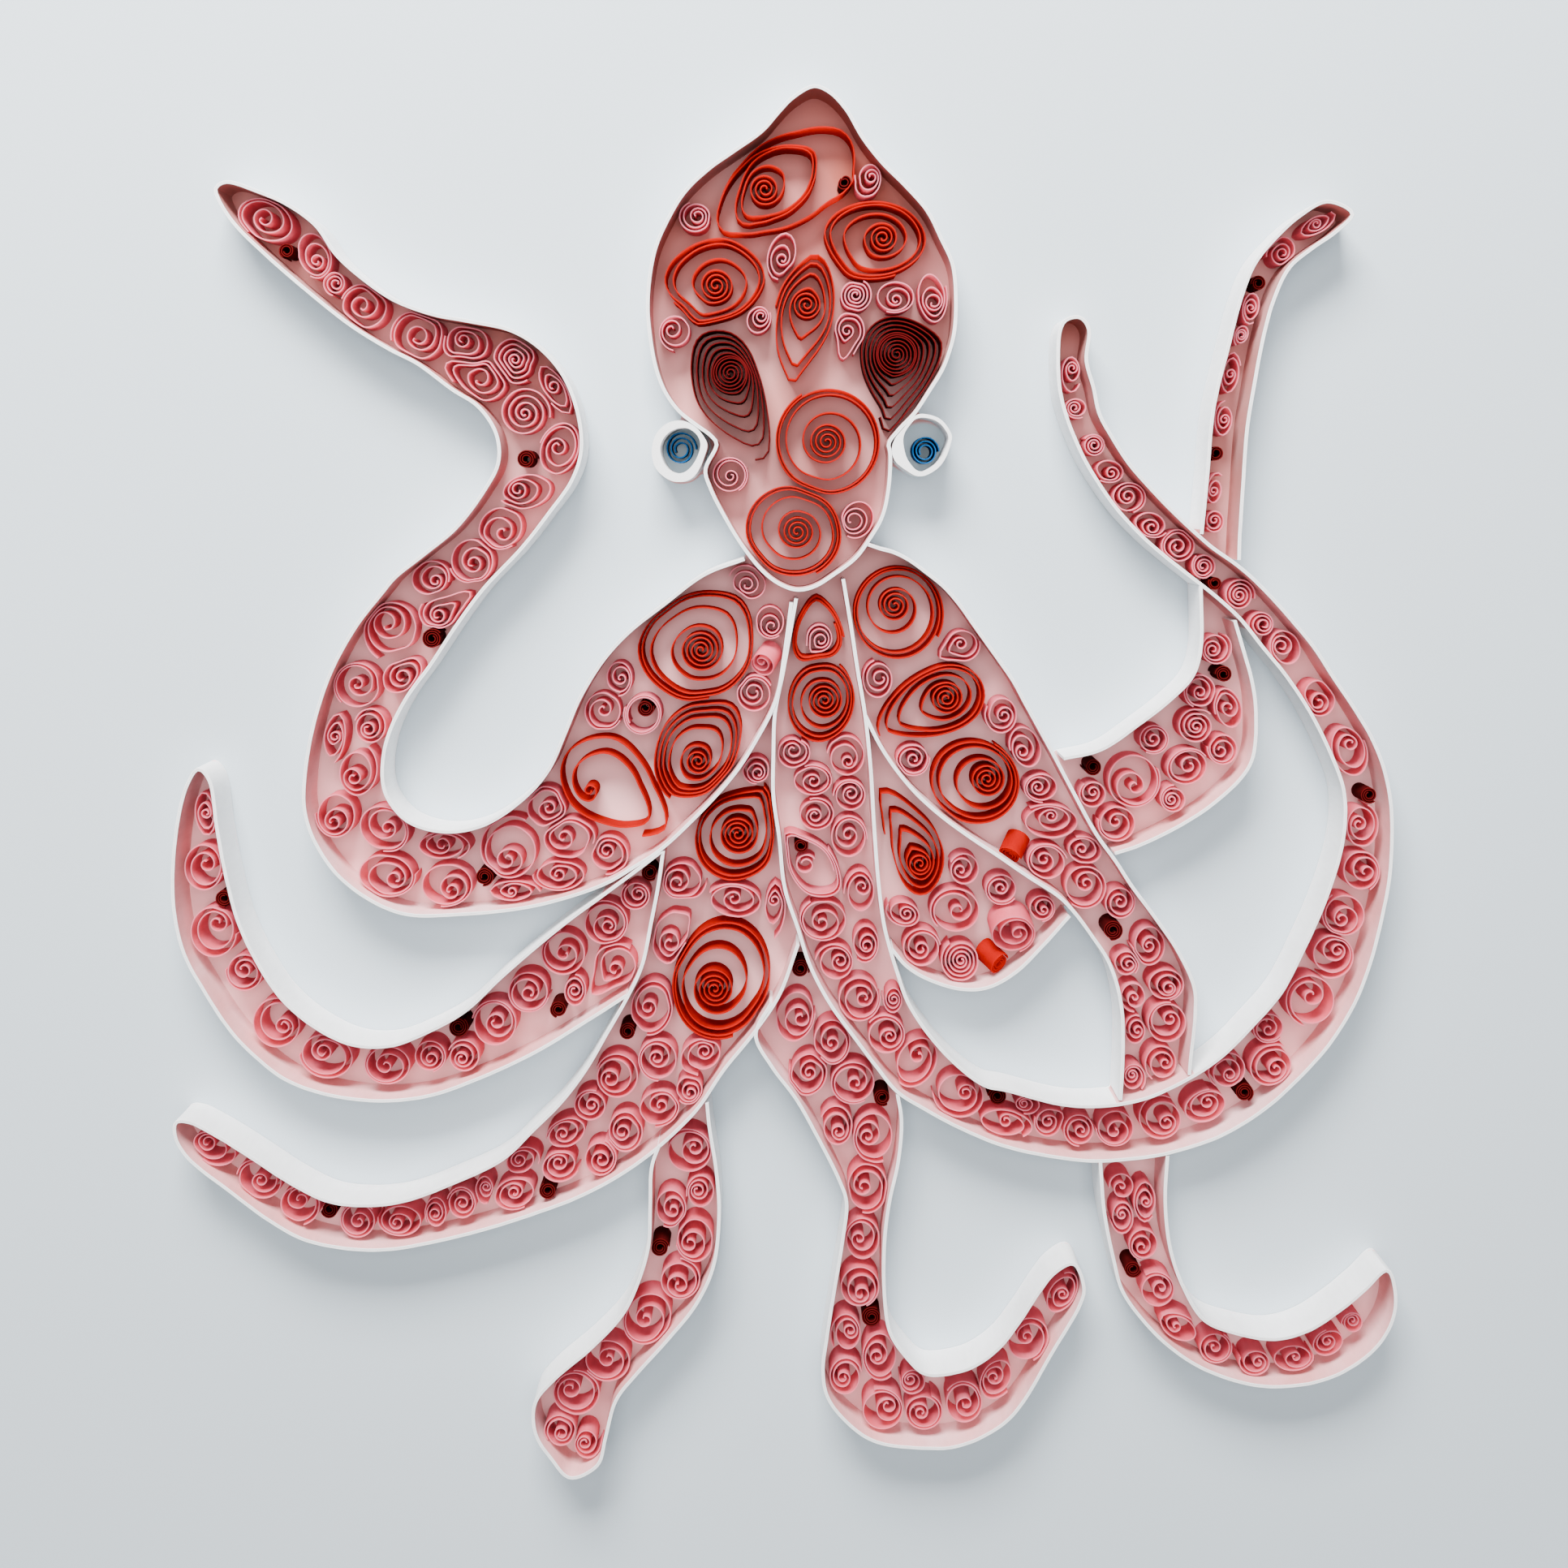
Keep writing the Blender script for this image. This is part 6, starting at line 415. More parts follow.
CARD_GAPS = [
    [(86.67, -57.01), (86.30, -56.82), (86.08, -56.47), (86.04, -56.26), (86.11, -54.96), (86.65, -48.93), (86.89, -45.63), (86.97, -42.19), (86.95, -41.02), (86.84, -39.83), (86.60, -38.58), (86.12, -37.00), (85.45, -35.37), (84.25, -32.93), (82.53, -29.84), (81.61, -28.40), (77.63, -22.81), (73.19, -16.89), (72.36, -15.71), (69.63, -11.47), (69.42, -10.52), (69.51, -10.11), (69.78, -9.80), (73.23, -8.66), (74.55, -8.11), (78.12, -6.47), (81.76, -4.57), (84.73, -2.82), (87.41, -1.05), (88.72, -0.08), (91.51, 2.26), (92.95, 3.58), (94.29, 4.93), (95.45, 6.25), (96.49, 7.72), (96.95, 8.50), (97.34, 9.30), (97.79, 10.64), (98.08, 11.97), (98.28, 13.84), (98.36, 15.89), (98.30, 18.99), (98.08, 22.18), (97.71, 24.61), (97.19, 27.05), (96.81, 28.52), (94.19, 36.93), (94.22, 37.35), (94.46, 37.69), (94.64, 37.80), (95.04, 37.87), (95.25, 37.82), (95.59, 37.59), (98.38, 34.03), (102.73, 28.93), (103.78, 27.58), (105.97, 24.57), (108.06, 21.40), (109.06, 19.77), (110.98, 16.32), (112.74, 12.78), (115.12, 7.44), (115.65, 6.02), (116.09, 4.61), (116.53, 2.56), (116.75, 0.53), (116.81, -0.83), (116.78, -3.63), (116.67, -5.07), (116.28, -8.00), (115.64, -11.19), (115.16, -13.06), (114.01, -16.92), (112.71, -20.77), (111.24, -24.61), (107.46, -33.43), (106.54, -35.45), (105.06, -38.29), (104.04, -39.93), (102.49, -42.03), (101.39, -43.35), (95.66, -49.85), (94.23, -51.35), (92.76, -52.77), (90.55, -54.61), (88.26, -56.26), (87.08, -56.99)],
    [(62.55, -64.17), (59.67, -63.89), (58.12, -63.65), (55.91, -63.19), (53.47, -62.54), (48.66, -61.15), (46.13, -60.51), (43.95, -60.21), (43.18, -60.04), (42.37, -59.75), (41.20, -59.12), (39.96, -58.29), (38.06, -56.81), (35.60, -54.62), (34.36, -53.39), (31.99, -50.75), (30.88, -49.37), (28.84, -46.63), (27.00, -43.79), (25.85, -41.67), (25.29, -40.43), (24.60, -38.54), (23.41, -34.81), (23.40, -34.60), (23.54, -34.21), (23.85, -33.94), (24.05, -33.87), (24.46, -33.90), (24.65, -34.00), (26.18, -35.22), (26.98, -35.75), (28.76, -36.73), (30.11, -37.34), (31.61, -37.94), (33.20, -38.48), (35.55, -39.10), (36.89, -39.31), (38.08, -39.41), (39.24, -39.44), (40.39, -39.36), (41.54, -39.18), (42.75, -38.85), (43.38, -38.62), (45.25, -37.74), (46.47, -37.02), (48.23, -35.81), (48.85, -35.32), (50.06, -34.24), (51.80, -32.45), (54.63, -29.33), (59.79, -23.32), (60.16, -23.13), (60.58, -23.15), (60.92, -23.38), (62.15, -24.98), (66.46, -31.07), (66.98, -31.92), (67.95, -33.87), (68.39, -34.94), (69.17, -37.16), (69.52, -38.36), (70.12, -40.95), (70.57, -43.67), (70.74, -45.14), (70.92, -48.28), (70.95, -54.50), (70.64, -63.16), (70.46, -63.54), (70.31, -63.68), (69.94, -63.82), (66.41, -64.14), (63.98, -64.20)],
]
CARD_LOOPS = [CARD_OUTLINE] + CARD_GAPS

# ---- materials ----------------------------------------------------------------------------------
def paper(name, base, dark, light, edge, rough=0.82, grain=900.0, mottle=60.0, fibre=0.25, sss=0.0, bump=0.35, spread=0.5, low=None, tint=None, spec=0.28, thru=None, spots=(), sides=None):
    """Matt paper: mottled colour, a lighter cut top edge, fibres and a fine grain."""
    m = bpy.data.materials.new(name)
    m.use_nodes = True
    nt = m.node_tree
    n, l = nt.nodes, nt.links
    n.clear()
    out = n.new("ShaderNodeOutputMaterial"); out.location = (1200, 0)
    bs = n.new("ShaderNodeBsdfPrincipled"); bs.location = (900, 0)
    if thru is None:
        l.new(bs.outputs[0], out.inputs[0])
    else:
        # thin paper lets some light through in its own colour
        tr = n.new("ShaderNodeBsdfTranslucent"); tr.inputs["Color"].default_value = (*thru[1], 1)
        mx = n.new("ShaderNodeMixShader"); mx.inputs[0].default_value = thru[0]
        l.new(bs.outputs[0], mx.inputs[1]); l.new(tr.outputs[0], mx.inputs[2]); l.new(mx.outputs[0], out.inputs[0])
    bs.inputs["Specular IOR Level"].default_value = spec
    if sss > 0:
        bs.inputs["Subsurface Weight"].default_value = sss
        bs.inputs["Subsurface Radius"].default_value = (1.0, 0.45, 0.35)
        bs.inputs["Subsurface Scale"].default_value = 0.0012
    tc = n.new("ShaderNodeTexCoord")
    big = n.new("ShaderNodeTexNoise"); big.inputs["Scale"].default_value = mottle; big.inputs["Detail"].default_value = 5.0
    l.new(tc.outputs["Object"], big.inputs["Vector"])
    ramp = n.new("ShaderNodeValToRGB")
    ramp.color_ramp.elements[0].position = 0.5 - spread / 2; ramp.color_ramp.elements[0].color = (*dark, 1)
    ramp.color_ramp.elements[1].position = 0.5 + spread / 2; ramp.color_ramp.elements[1].color = (*light, 1)
    e = ramp.color_ramp.elements.new(0.5); e.color = (*base, 1)
    l.new(big.outputs["Fac"], ramp.inputs[0])
    # fibres, drawn out along the height of the strip
    mp = n.new("ShaderNodeMapping"); mp.inputs["Scale"].default_value = (1.0, 1.0, 0.22)
    l.new(tc.outputs["Object"], mp.inputs["Vector"])
    fb = n.new("ShaderNodeTexNoise"); fb.inputs["Scale"].default_value = grain; fb.inputs["Detail"].default_value = 8.0; fb.inputs["Roughness"].default_value = 0.7
    l.new(mp.outputs[0], fb.inputs["Vector"])
    fr = n.new("ShaderNodeMapRange"); fr.inputs["From Min"].default_value = 0.3; fr.inputs["From Max"].default_value = 0.7
    fr.inputs["To Min"].default_value = 1.0 - fibre; fr.inputs["To Max"].default_value = 1.0 + fibre * 0.45
    l.new(fb.outputs["Fac"], fr.inputs["Value"])
    mul = n.new("ShaderNodeMix"); mul.data_type = "RGBA"; mul.blend_type = "MULTIPLY"; mul.inputs["Factor"].default_value = 1.0
    l.new(ramp.outputs["Color"], mul.inputs["A"]); l.new(fr.outputs["Result"], mul.inputs["B"])
    # cut top edge
    geo = n.new("ShaderNodeNewGeometry"); sep = n.new("ShaderNodeSeparateXYZ")
    l.new(geo.outputs["Normal"], sep.inputs[0])
    up = n.new("ShaderNodeMapRange"); up.inputs["From Min"].default_value = 0.55; up.inputs["From Max"].default_value = 0.95
    l.new(sep.outputs["Z"], up.inputs["Value"])
    ed = n.new("ShaderNodeMix"); ed.data_type = "RGBA"
    l.new(up.outputs["Result"], ed.inputs["Factor"]); l.new(mul.outputs["Result"], ed.inputs["A"]); ed.inputs["B"].default_value = (*edge, 1)
    last = ed.outputs["Result"]
    if low is not None:
        pos = n.new("ShaderNodeSeparateXYZ"); l.new(geo.outputs["Position"], pos.inputs[0])
        zr = n.new("ShaderNodeMapRange"); zr.inputs["From Min"].default_value = 0.0008; zr.inputs["From Max"].default_value = low[1]
        zr.inputs["To Min"].default_value = 1.0; zr.inputs["To Max"].default_value = 0.0
        l.new(pos.outputs["Z"], zr.inputs["Value"])
        lo = n.new("ShaderNodeMix"); lo.data_type = "RGBA"
        l.new(zr.outputs["Result"], lo.inputs["Factor"]); l.new(last, lo.inputs["A"]); lo.inputs["B"].default_value = (*low[0], 1)
        last = lo.outputs["Result"]
    if tint is not None:
        # deeper towards the crown, in soft patches
        op = n.new("ShaderNodeSeparateXYZ"); l.new(tc.outputs["Object"], op.inputs[0])
        yr = n.new("ShaderNodeMapRange"); yr.interpolation_type = "SMOOTHSTEP"
        yr.inputs["From Min"].default_value = tint[1]; yr.inputs["From Max"].default_value = tint[2]
        yr.inputs["To Min"].default_value = tint[3]; yr.inputs["To Max"].default_value = tint[4]
        l.new(op.outputs["Y"], yr.inputs["Value"])
        pn = n.new("ShaderNodeTexNoise"); pn.inputs["Scale"].default_value = 22.0; pn.inputs["Detail"].default_value = 2.0
        l.new(tc.outputs["Object"], pn.inputs["Vector"])
        pr = n.new("ShaderNodeMapRange"); pr.inputs["From Min"].default_value = 0.35; pr.inputs["From Max"].default_value = 0.65
        pr.inputs["To Min"].default_value = 0.45; pr.inputs["To Max"].default_value = 1.0
        l.new(pn.outputs["Fac"], pr.inputs["Value"])
        mf = n.new("ShaderNodeMath"); mf.operation = "MULTIPLY"
        l.new(yr.outputs["Result"], mf.inputs[0]); l.new(pr.outputs["Result"], mf.inputs[1])
        ti = n.new("ShaderNodeMix"); ti.data_type = "RGBA"
        l.new(mf.outputs[0], ti.inputs["Factor"]); l.new(last, ti.inputs["A"]); ti.inputs["B"].default_value = (*tint[0], 1)
        last = ti.outputs["Result"]
    for px, py in spots:
        # clean white under the eye tubes
        vd = n.new("ShaderNodeVectorMath"); vd.operation = "DISTANCE"; vd.inputs[1].default_value = (px, py, 0.0008)
        l.new(tc.outputs["Object"], vd.inputs[0])
        vr = n.new("ShaderNodeMapRange"); vr.inputs["From Min"].default_value = 0.0058; vr.inputs["From Max"].default_value = 0.0064
        vr.inputs["To Min"].default_value = 1.0; vr.inputs["To Max"].default_value = 0.0
        l.new(vd.outputs["Value"], vr.inputs["Value"])
        wm = n.new("ShaderNodeMix"); wm.data_type = "RGBA"
        l.new(vr.outputs["Result"], wm.inputs["Factor"]); l.new(last, wm.inputs["A"]); wm.inputs["B"].default_value = (0.55, 0.66, 0.72, 1)
        last = wm.outputs["Result"]
    if sides is not None:
        sd = n.new("ShaderNodeMix"); sd.data_type = "RGBA"
        l.new(up.outputs["Result"], sd.inputs["Factor"]); sd.inputs["A"].default_value = (*sides, 1); l.new(last, sd.inputs["B"])
        last = sd.outputs["Result"]
    l.new(last, bs.inputs["Base Color"])
    rr = n.new("ShaderNodeMapRange"); rr.inputs["To Min"].default_value = rough - 0.10; rr.inputs["To Max"].default_value = min(1.0, rough + 0.12)
    l.new(fb.outputs["Fac"], rr.inputs["Value"]); l.new(rr.outputs["Result"], bs.inputs["Roughness"])
    bp = n.new("ShaderNodeBump"); bp.inputs["Strength"].default_value = bump; bp.inputs["Distance"].default_value = 0.00006
    l.new(fb.outputs["Fac"], bp.inputs["Height"])
    bp2 = n.new("ShaderNodeBump"); bp2.inputs["Strength"].default_value = 0.25; bp2.inputs["Distance"].default_value = 0.00025
    l.new(big.outputs["Fac"], bp2.inputs["Height"]); l.new(bp2.outputs[0], bp.inputs["Normal"])
    l.new(bp.outputs[0], bs.inputs["Normal"])
    return m


MAT = {
    "white_card": paper("card", (0.93, 0.53, 0.54), (0.85, 0.36, 0.37), (0.97, 0.80, 0.82), (0.93, 0.53, 0.54), mottle=38.0, fibre=0.06, rough=0.9, bump=0.25, spread=0.34, tint=((0.40, 0.080, 0.050), 0.0, 0.125, 0.10, 1.0), spots=((-0.0224, 0.0752), (0.0285, 0.0747)), sides=(0.90, 0.90, 0.91)),
    "white_strip": paper("strip", (0.90, 0.90, 0.91), (0.82, 0.81, 0.82), (0.96, 0.96, 0.97), (0.98, 0.98, 0.99), mottle=70.0, fibre=0.06, rough=0.78, bump=0.3),
    "pink_paper": paper("pink", (0.94, 0.20, 0.28), (0.86, 0.125, 0.185), (0.96, 0.31, 0.40), (0.95, 0.34, 0.43), mottle=140.0, fibre=0.10, spec=0.06, thru=(0.50, (1.0, 0.44, 0.52))),
    "red_paper": paper("red", (0.36, 0.002, 0.001), (0.27, 0.001, 0.0005), (0.46, 0.004, 0.002), (0.50, 0.006, 0.003), mottle=110.0, fibre=0.10, bump=0.2, spec=0.04, thru=(0.48, (1.0, 0.035, 0.018))),
    "maroon_paper": paper("maroon", (0.044, 0.0015, 0.002), (0.020, 0.001, 0.001), (0.08, 0.004, 0.005), (0.13, 0.006, 0.007), mottle=110.0, fibre=0.12, spec=0.04, thru=(0.25, (0.42, 0.015, 0.02))),
    "blue_paper": paper("blue", (0.001, 0.025, 0.095), (0.0005, 0.008, 0.032), (0.002, 0.06, 0.19), (0.002, 0.075, 0.23), mottle=200.0, fibre=0.2, spec=0.05),
    "inner_strip": paper("strip_inside", (0.90, 0.50, 0.51), (0.80, 0.34, 0.34), (0.96, 0.72, 0.74), (0.98, 0.98, 0.99), mottle=60.0, fibre=0.07, rough=0.85, bump=0.3, tint=((0.30, 0.07, 0.04), -0.01, 0.12, 0.06, 1.0)),
}

# ---- geometry -----------------------------------------------------------------------------------
def outline_radius(radii, angle):
    n = len(radii)
    x = (angle / (2 * math.pi)) % 1.0 * n
    i = int(x) % n
    f = x - int(x)
    a, b, c, d = radii[i - 1], radii[i], radii[(i + 1) % n], radii[(i + 2) % n]
    return (b + 0.5 * f * (c - a + f * (2 * a - 5 * b + 4 * c - d + f * (3 * (b - c) + d - a)))) / 100


def spiral(t, n1, n2, n3, g1, kx, ky, cr, ce, start, sense, hook, radii, outer=54, core=22):
    """The strip's centre line, from its outer end to the core."""
    total = n1 + n2 + n3
    R = sum(radii) / len(radii) / 100
    if R < 4.0:
        outer, core = 26, 16
    if n1 + n2 == 0:
        core = max(core, 18)
    a = max(1, round((n1 + n2) * outer))
    b = max(6, round(n3 * core)) if n3 > 0 else 0
    qs = [(n1 + n2) * i / a for i in range(a)] + [n1 + n2 + n3 * i / max(b, 1) for i in range(b + 1)]
    line = []
    for q in qs:
        s = cr
        if q <= n1 or n2 <= 0:
            g = g1 * q / n1 if n1 > 0 else 0.0
        elif q <= n1 + n2 or n3 <= 0:
            u = min(1.0, (q - n1) / n2)
            if n1 > 0:
                m0, m1 = min(g1 / n1 * n2, 2.2 * (1 - g1)), 0.0
            else:
                m0 = m1 = 1 - g1
            g = (2 * u ** 3 - 3 * u * u + 1) * g1 + (u ** 3 - 2 * u * u + u) * m0 + (3 * u * u - 2 * u ** 3) + (u ** 3 - u * u) * m1
        else:
            g = 1.0
            s = cr + (ce - cr) * (q - n1 - n2) / n3
        th = math.radians(start) + sense * 2 * math.pi * q
        ro = outline_radius(radii, th) - t / 2
        c, sn = math.cos(th), math.sin(th)
        line.append(((1 - g) * ro * c + g * (kx + s * c), (1 - g) * ro * sn + g * (ky + s * sn)))
    if hook > 0 and n3 > 0:
        (x0, y0), (x1, y1) = line[-1], line[-2]
        d = math.dist((x0, y0), (x1, y1))
        tx, ty = (x0 - x1) / d, (y0 - y1) / d
        d = math.hypot(kx - x0, ky - y0)
        cx, cy = (kx - x0) / d, (ky - y0) / d
        h = min(hook, d * 1.25)
        hx, hy = 0.55 * tx + 0.85 * cx, 0.55 * ty + 0.85 * cy
        d = math.hypot(hx, hy)
        hx, hy = hx / d, hy / d
        for f in (0.25, 0.5, 0.75, 1.0):
            w = f * f
            line.append((x0 + f * h * ((1 - w) * tx + w * hx), y0 + f * h * ((1 - w) * ty + w * hy)))
    return line


def strip(bm, line, t, z0, z1, top=None, lean=None, bevel=0.06, closed=False, shift=(0.0, 0.0), foot=0.0):
    """A paper strip on edge along a centre line. top(i) lifts the top edge, lean(i) moves it sideways."""
    n = len(line)
    rings = []
    for i, (x, y) in enumerate(line):
        if closed:
            (xa, ya), (xb, yb) = line[i - 1], line[(i + 1) % n]
        else:
            (xa, ya), (xb, yb) = line[max(i - 1, 0)], line[min(i + 1, n - 1)]
        d = math.hypot(xb - xa, yb - ya) or 1.0
        nx, ny = -(yb - ya) / d, (xb - xa) / d
        zt = z1 + (top(i) if top else 0.0)
        ln = lean(i) if lean else 0.0
        b = min(bevel, t * 0.3)
        prof = [(-t / 2, z0, 0), (-t / 2, z0 + (zt - z0) * 0.5, 0.3), (-t / 2, zt - b, 1), (-t / 2 + b, zt, 1), (t / 2 - b, zt, 1), (t / 2, zt - b, 1), (t / 2, z0 + (zt - z0) * 0.5, 0.3), (t / 2, z0, 0)]
        ring = []
        for o, z, k in prof:
            o2 = o + ln * k + foot * (1 - k)
            ring.append(bm.verts.new(((shift[0] + x + nx * o2) * MM, (shift[1] + y + ny * o2) * MM, z * MM)))
        rings.append(ring)
    m = len(rings[0])
    span = n if closed else n - 1
    for i in range(span):
        a, b = rings[i], rings[(i + 1) % n]
        for k in range(m):
            f = bm.faces.new((a[k], a[(k + 1) % m], b[(k + 1) % m], b[k]))
            f.smooth = True
    if not closed:
        bm.faces.new(rings[0][::-1])
        bm.faces.new(rings[-1])


def finish_mesh(bm, name, material, slot, *nodes):
    bmesh.ops.recalc_face_normals(bm, faces=bm.faces)
    me = bpy.data.meshes.new(name)
    bm.to_mesh(me)
    bm.free()
    me.set_sharp_from_angle(angle=math.radians(40))
    ob = bpy.data.objects.new(name, me)
    bpy.context.scene.collection.objects.link(ob)
    me.materials.append(material)
    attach(ob, "root")
    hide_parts(*nodes)
    return ob


def slot_of(node):
    if node == "backing_card":
        return "white_card"
    if node.endswith("_wall") or node.endswith("_tube"):
        return "white_strip"
    if "pink" in node:
        return "pink_paper"
    if "maroon" in node or "teardrop" in node:
        return "maroon_paper"
    if "blue" in node:
        return "blue_paper"
    return "red_paper"


THICK = {"pink_paper": 0.29, "red_paper": 0.42, "maroon_paper": 0.25, "blue_paper": 0.28}
# coils that lean over: degrees, the way the top leans, height
LEAN = {
    ("arm_lower_right_red_coils", 3): (52, (-0.55, -0.83), 5.2),
    ("arm_upper_right_root_red_coils", 1): (46, (0.80, -0.60), 5.4),
    ("arm_upper_left_pink_coils", 36): (34, (-0.60, -0.80), 5.0),
    ("arm_upper_right_root_pink_coils", 5): (20, (0.15, -0.99), 6.0),
}
# the crown coil's loose outer loop, which goes round the tight roll, and the loop inside it
CROWN_OUT = [1485, 1533, 1618, 1664, 1614, 1437, 1248, 1090, 996, 930, 882, 854, 837, 830, 839, 860, 906, 985, 1080, 1201, 1346, 1530, 1562, 1371, 1217, 1079, 1000, 955, 922, 903, 902, 920, 952, 997, 1100, 1310]
CROWN_IN = [696, 745, 799, 867, 928, 906, 840, 787, 753, 722, 698, 683, 681, 690, 706, 727, 750, 783, 827, 889, 997, 1112, 1204, 1163, 998, 882, 782, 721, 681, 647, 623, 611, 613, 624, 643, 665]
seed = 0
count = 0
for node, coils in COILS.items():
    sl = slot_of(node)
    bm = bmesh.new()
    for k, (x, y, *spec) in enumerate(coils):
        seed += 1
        rng = random.Random(seed)
        t0 = spec[0]
        rolls = spec[1] == 0
        t = THICK[sl]
        if rolls and sl == "red_paper":
            t = 0.32
        if "teardrop" in node:
            t = 0.32
        t0, n1, n2, n3, g1, kx, ky, cr, ce, start, sense, hook, radii = spec
        if "blue" in node:
            t = 0.26
            n2, n3, cr, ce, hook = 2.3, 0.3, 1.25, 1.15, 0.0
        elif rolls and n3 == 0:
            # tight roll with a small open eye
            t = 0.24
            n2, cr, ce = max(2.0, n2 * 0.62), 0.62, 0.62
        elif not rolls and n3 > 0:
            if sl == "pink_paper":
                n2, n3 = n2 * 1.1, n3 * 0.58
                t = 0.27
            elif sl == "red_paper":
                t = 0.28
                n1, n2, n3 = n1 * 1.15, n2 * 1.9, (cr - 0.5) / 1.02
            elif "teardrop" in node:
                t = 0.27
                n1, n2, n3, g1 = 1.5, 4.6, (cr - 0.5) / 0.78, 0.30
            if node == "arm_upper_left_red_coils" and k == 0:
                # one wide arch with a small open curl
                n1, n2, n3, cr, t = 1.25, 0.85, 0.9, 1.5, 0.33
        spec = (t0, n1, n2, n3, g1, kx, ky, cr, ce, start, sense, hook, radii)
        if node == "head_crown_coil":
            spec = (t0, 1.05, 1.5, n3, 0.08, kx, ky, cr, ce, 80, sense, hook, CROWN_IN)
        line = spiral(*spec)
        if node == "head_crown_coil":
            lead = []
            for i in range(97):
                q = 565 - i * 5
                th = math.radians(q)
                u = max(0.0, (205 - q) / 125)
                u = u * u * (3 - 2 * u)
                r = (1 - u) * outline_radius(CROWN_OUT, th) + u * outline_radius(CROWN_IN, th) - t / 2
                lead.append((r * math.cos(th), r * math.sin(th)))
            line = lead + line
        if node == "head_maroon_roll":
            line = [(px * 0.88, py * 0.88) for px, py in line]
        # tilt of the whole coil's top and slow waves along the strip
        tx, ty = rng.uniform(-1, 1), rng.uniform(-1, 1)
        R = sum(spec[-1]) / len(spec[-1]) / 100
        amp = 0.10 if rolls else 0.16
        base = rng.uniform(-0.25, 0.2)
        up = rng.uniform(-0.25, 0.35) if not rolls else 0.0
        ph = rng.uniform(0, 50)
        N = len(line)

        def top(i, line=line, tx=tx, ty=ty, R=R, amp=amp, base=base, up=up, ph=ph, N=N):
            px, py = line[i]
            f = i / N
            return base + amp * (tx * px + ty * py) / R + up * f * f + 0.07 * noise.noise(Vector((ph, i * 0.13, 0.0)))

        first = len(bm.verts)
        z1 = COIL_TOP
        if node == "left_eye_blue_coil":
            z1 = 5.4
        if (node, k) in LEAN:
            z1 = CARD_T + LEAN[node, k][2]
        strip(bm, line, t, CARD_T, z1, top=top, bevel=0.05, shift=(x, y))
        if node == "arm_long_right_pink_coils" and k == 7:
            curl = [(-0.9 + (2.3 - 1.3 * i / 30) * math.cos(0.6 + 0.28 * i), -0.4 + (2.3 - 1.3 * i / 30) * math.sin(0.6 + 0.28 * i)) for i in range(31)]
            strip(bm, curl, t, CARD_T, COIL_TOP - 0.4, bevel=0.05, shift=(x, y))
        if (node, k) in LEAN:
            deg, way, high = LEAN[node, k]
            ca, sa = math.cos(math.radians(deg)), math.sin(math.radians(deg))
            bm.verts.ensure_lookup_table()
            mid = (CARD_T + high / 2) * MM
            moved = []
            for v in bm.verts[first:]:
                dx, dy, dz = v.co.x - x * MM, v.co.y - y * MM, v.co.z - mid
                al = dx * way[0] + dy * way[1]
                moved.append((al * ca + dz * sa - al, dz * ca - al * sa))
            rise = (CARD_T * MM + 0.00002) - (mid + min(m[1] for m in moved))
            for v, (da, dz) in zip(bm.verts[first:], moved):
                v.co.x += da * way[0]
                v.co.y += da * way[1]
                v.co.z = min(mid + dz + rise, 0.0099)
        count += len(line) * 16
    finish_mesh(bm, node + "_paper", MAT[sl], sl, node)

print("coil triangles", count)

# ---- outline strips -----------------------------------------------------------------------------
def through(points, closed, n):
    """A smooth curve through the points: centripetal, n steps in each span."""
    p = [tuple(map(float, q)) for q in points]
    if closed:
        p = [p[-1]] + p + [p[0], p[1]]
    else:
        p = [(2 * p[0][0] - p[1][0], 2 * p[0][1] - p[1][1])] + p + [(2 * p[-1][0] - p[-2][0], 2 * p[-1][1] - p[-2][1])]
    out = []
    for i in range(1, len(p) - 2):
        a, b, c, d = p[i - 1:i + 3]
        t0 = 0.0
        t1 = t0 + math.dist(a, b) ** 0.5
        t2 = t1 + math.dist(b, c) ** 0.5
        t3 = t2 + math.dist(c, d) ** 0.5
        for k in range(n):
            t = t1 + (t2 - t1) * k / n
            q = []
            for ax in (0, 1):
                a1 = (t1 - t) / (t1 - t0) * a[ax] + (t - t0) / (t1 - t0) * b[ax]
                a2 = (t2 - t) / (t2 - t1) * b[ax] + (t - t1) / (t2 - t1) * c[ax]
                a3 = (t3 - t) / (t3 - t2) * c[ax] + (t - t2) / (t3 - t2) * d[ax]
                b1 = (t2 - t) / (t2 - t0) * a1 + (t - t0) / (t2 - t0) * a2
                b2 = (t3 - t) / (t3 - t1) * a2 + (t - t1) / (t3 - t1) * a3
                q.append((t2 - t) / (t2 - t1) * b1 + (t - t1) / (t2 - t1) * b2)
            out.append(tuple(q))
    if not closed:
        out.append(p[-2])
    return out


def even(line, step, closed):
    """The same line with evenly spaced points."""
    pts = line + [line[0]] if closed else line
    s = [0.0]
    for a, b in zip(pts, pts[1:]):
        s.append(s[-1] + math.dist(a, b))
    n = max(4, int(s[-1] / step))
    out, j = [], 0
    for i in range(n if closed else n + 1):
        q = s[-1] * i / n
        while j < len(s) - 2 and s[j + 1] < q:
            j += 1
        f = (q - s[j]) / ((s[j + 1] - s[j]) or 1)
        out.append((pts[j][0] + f * (pts[j + 1][0] - pts[j][0]), pts[j][1] + f * (pts[j + 1][1] - pts[j][1])))
    return out


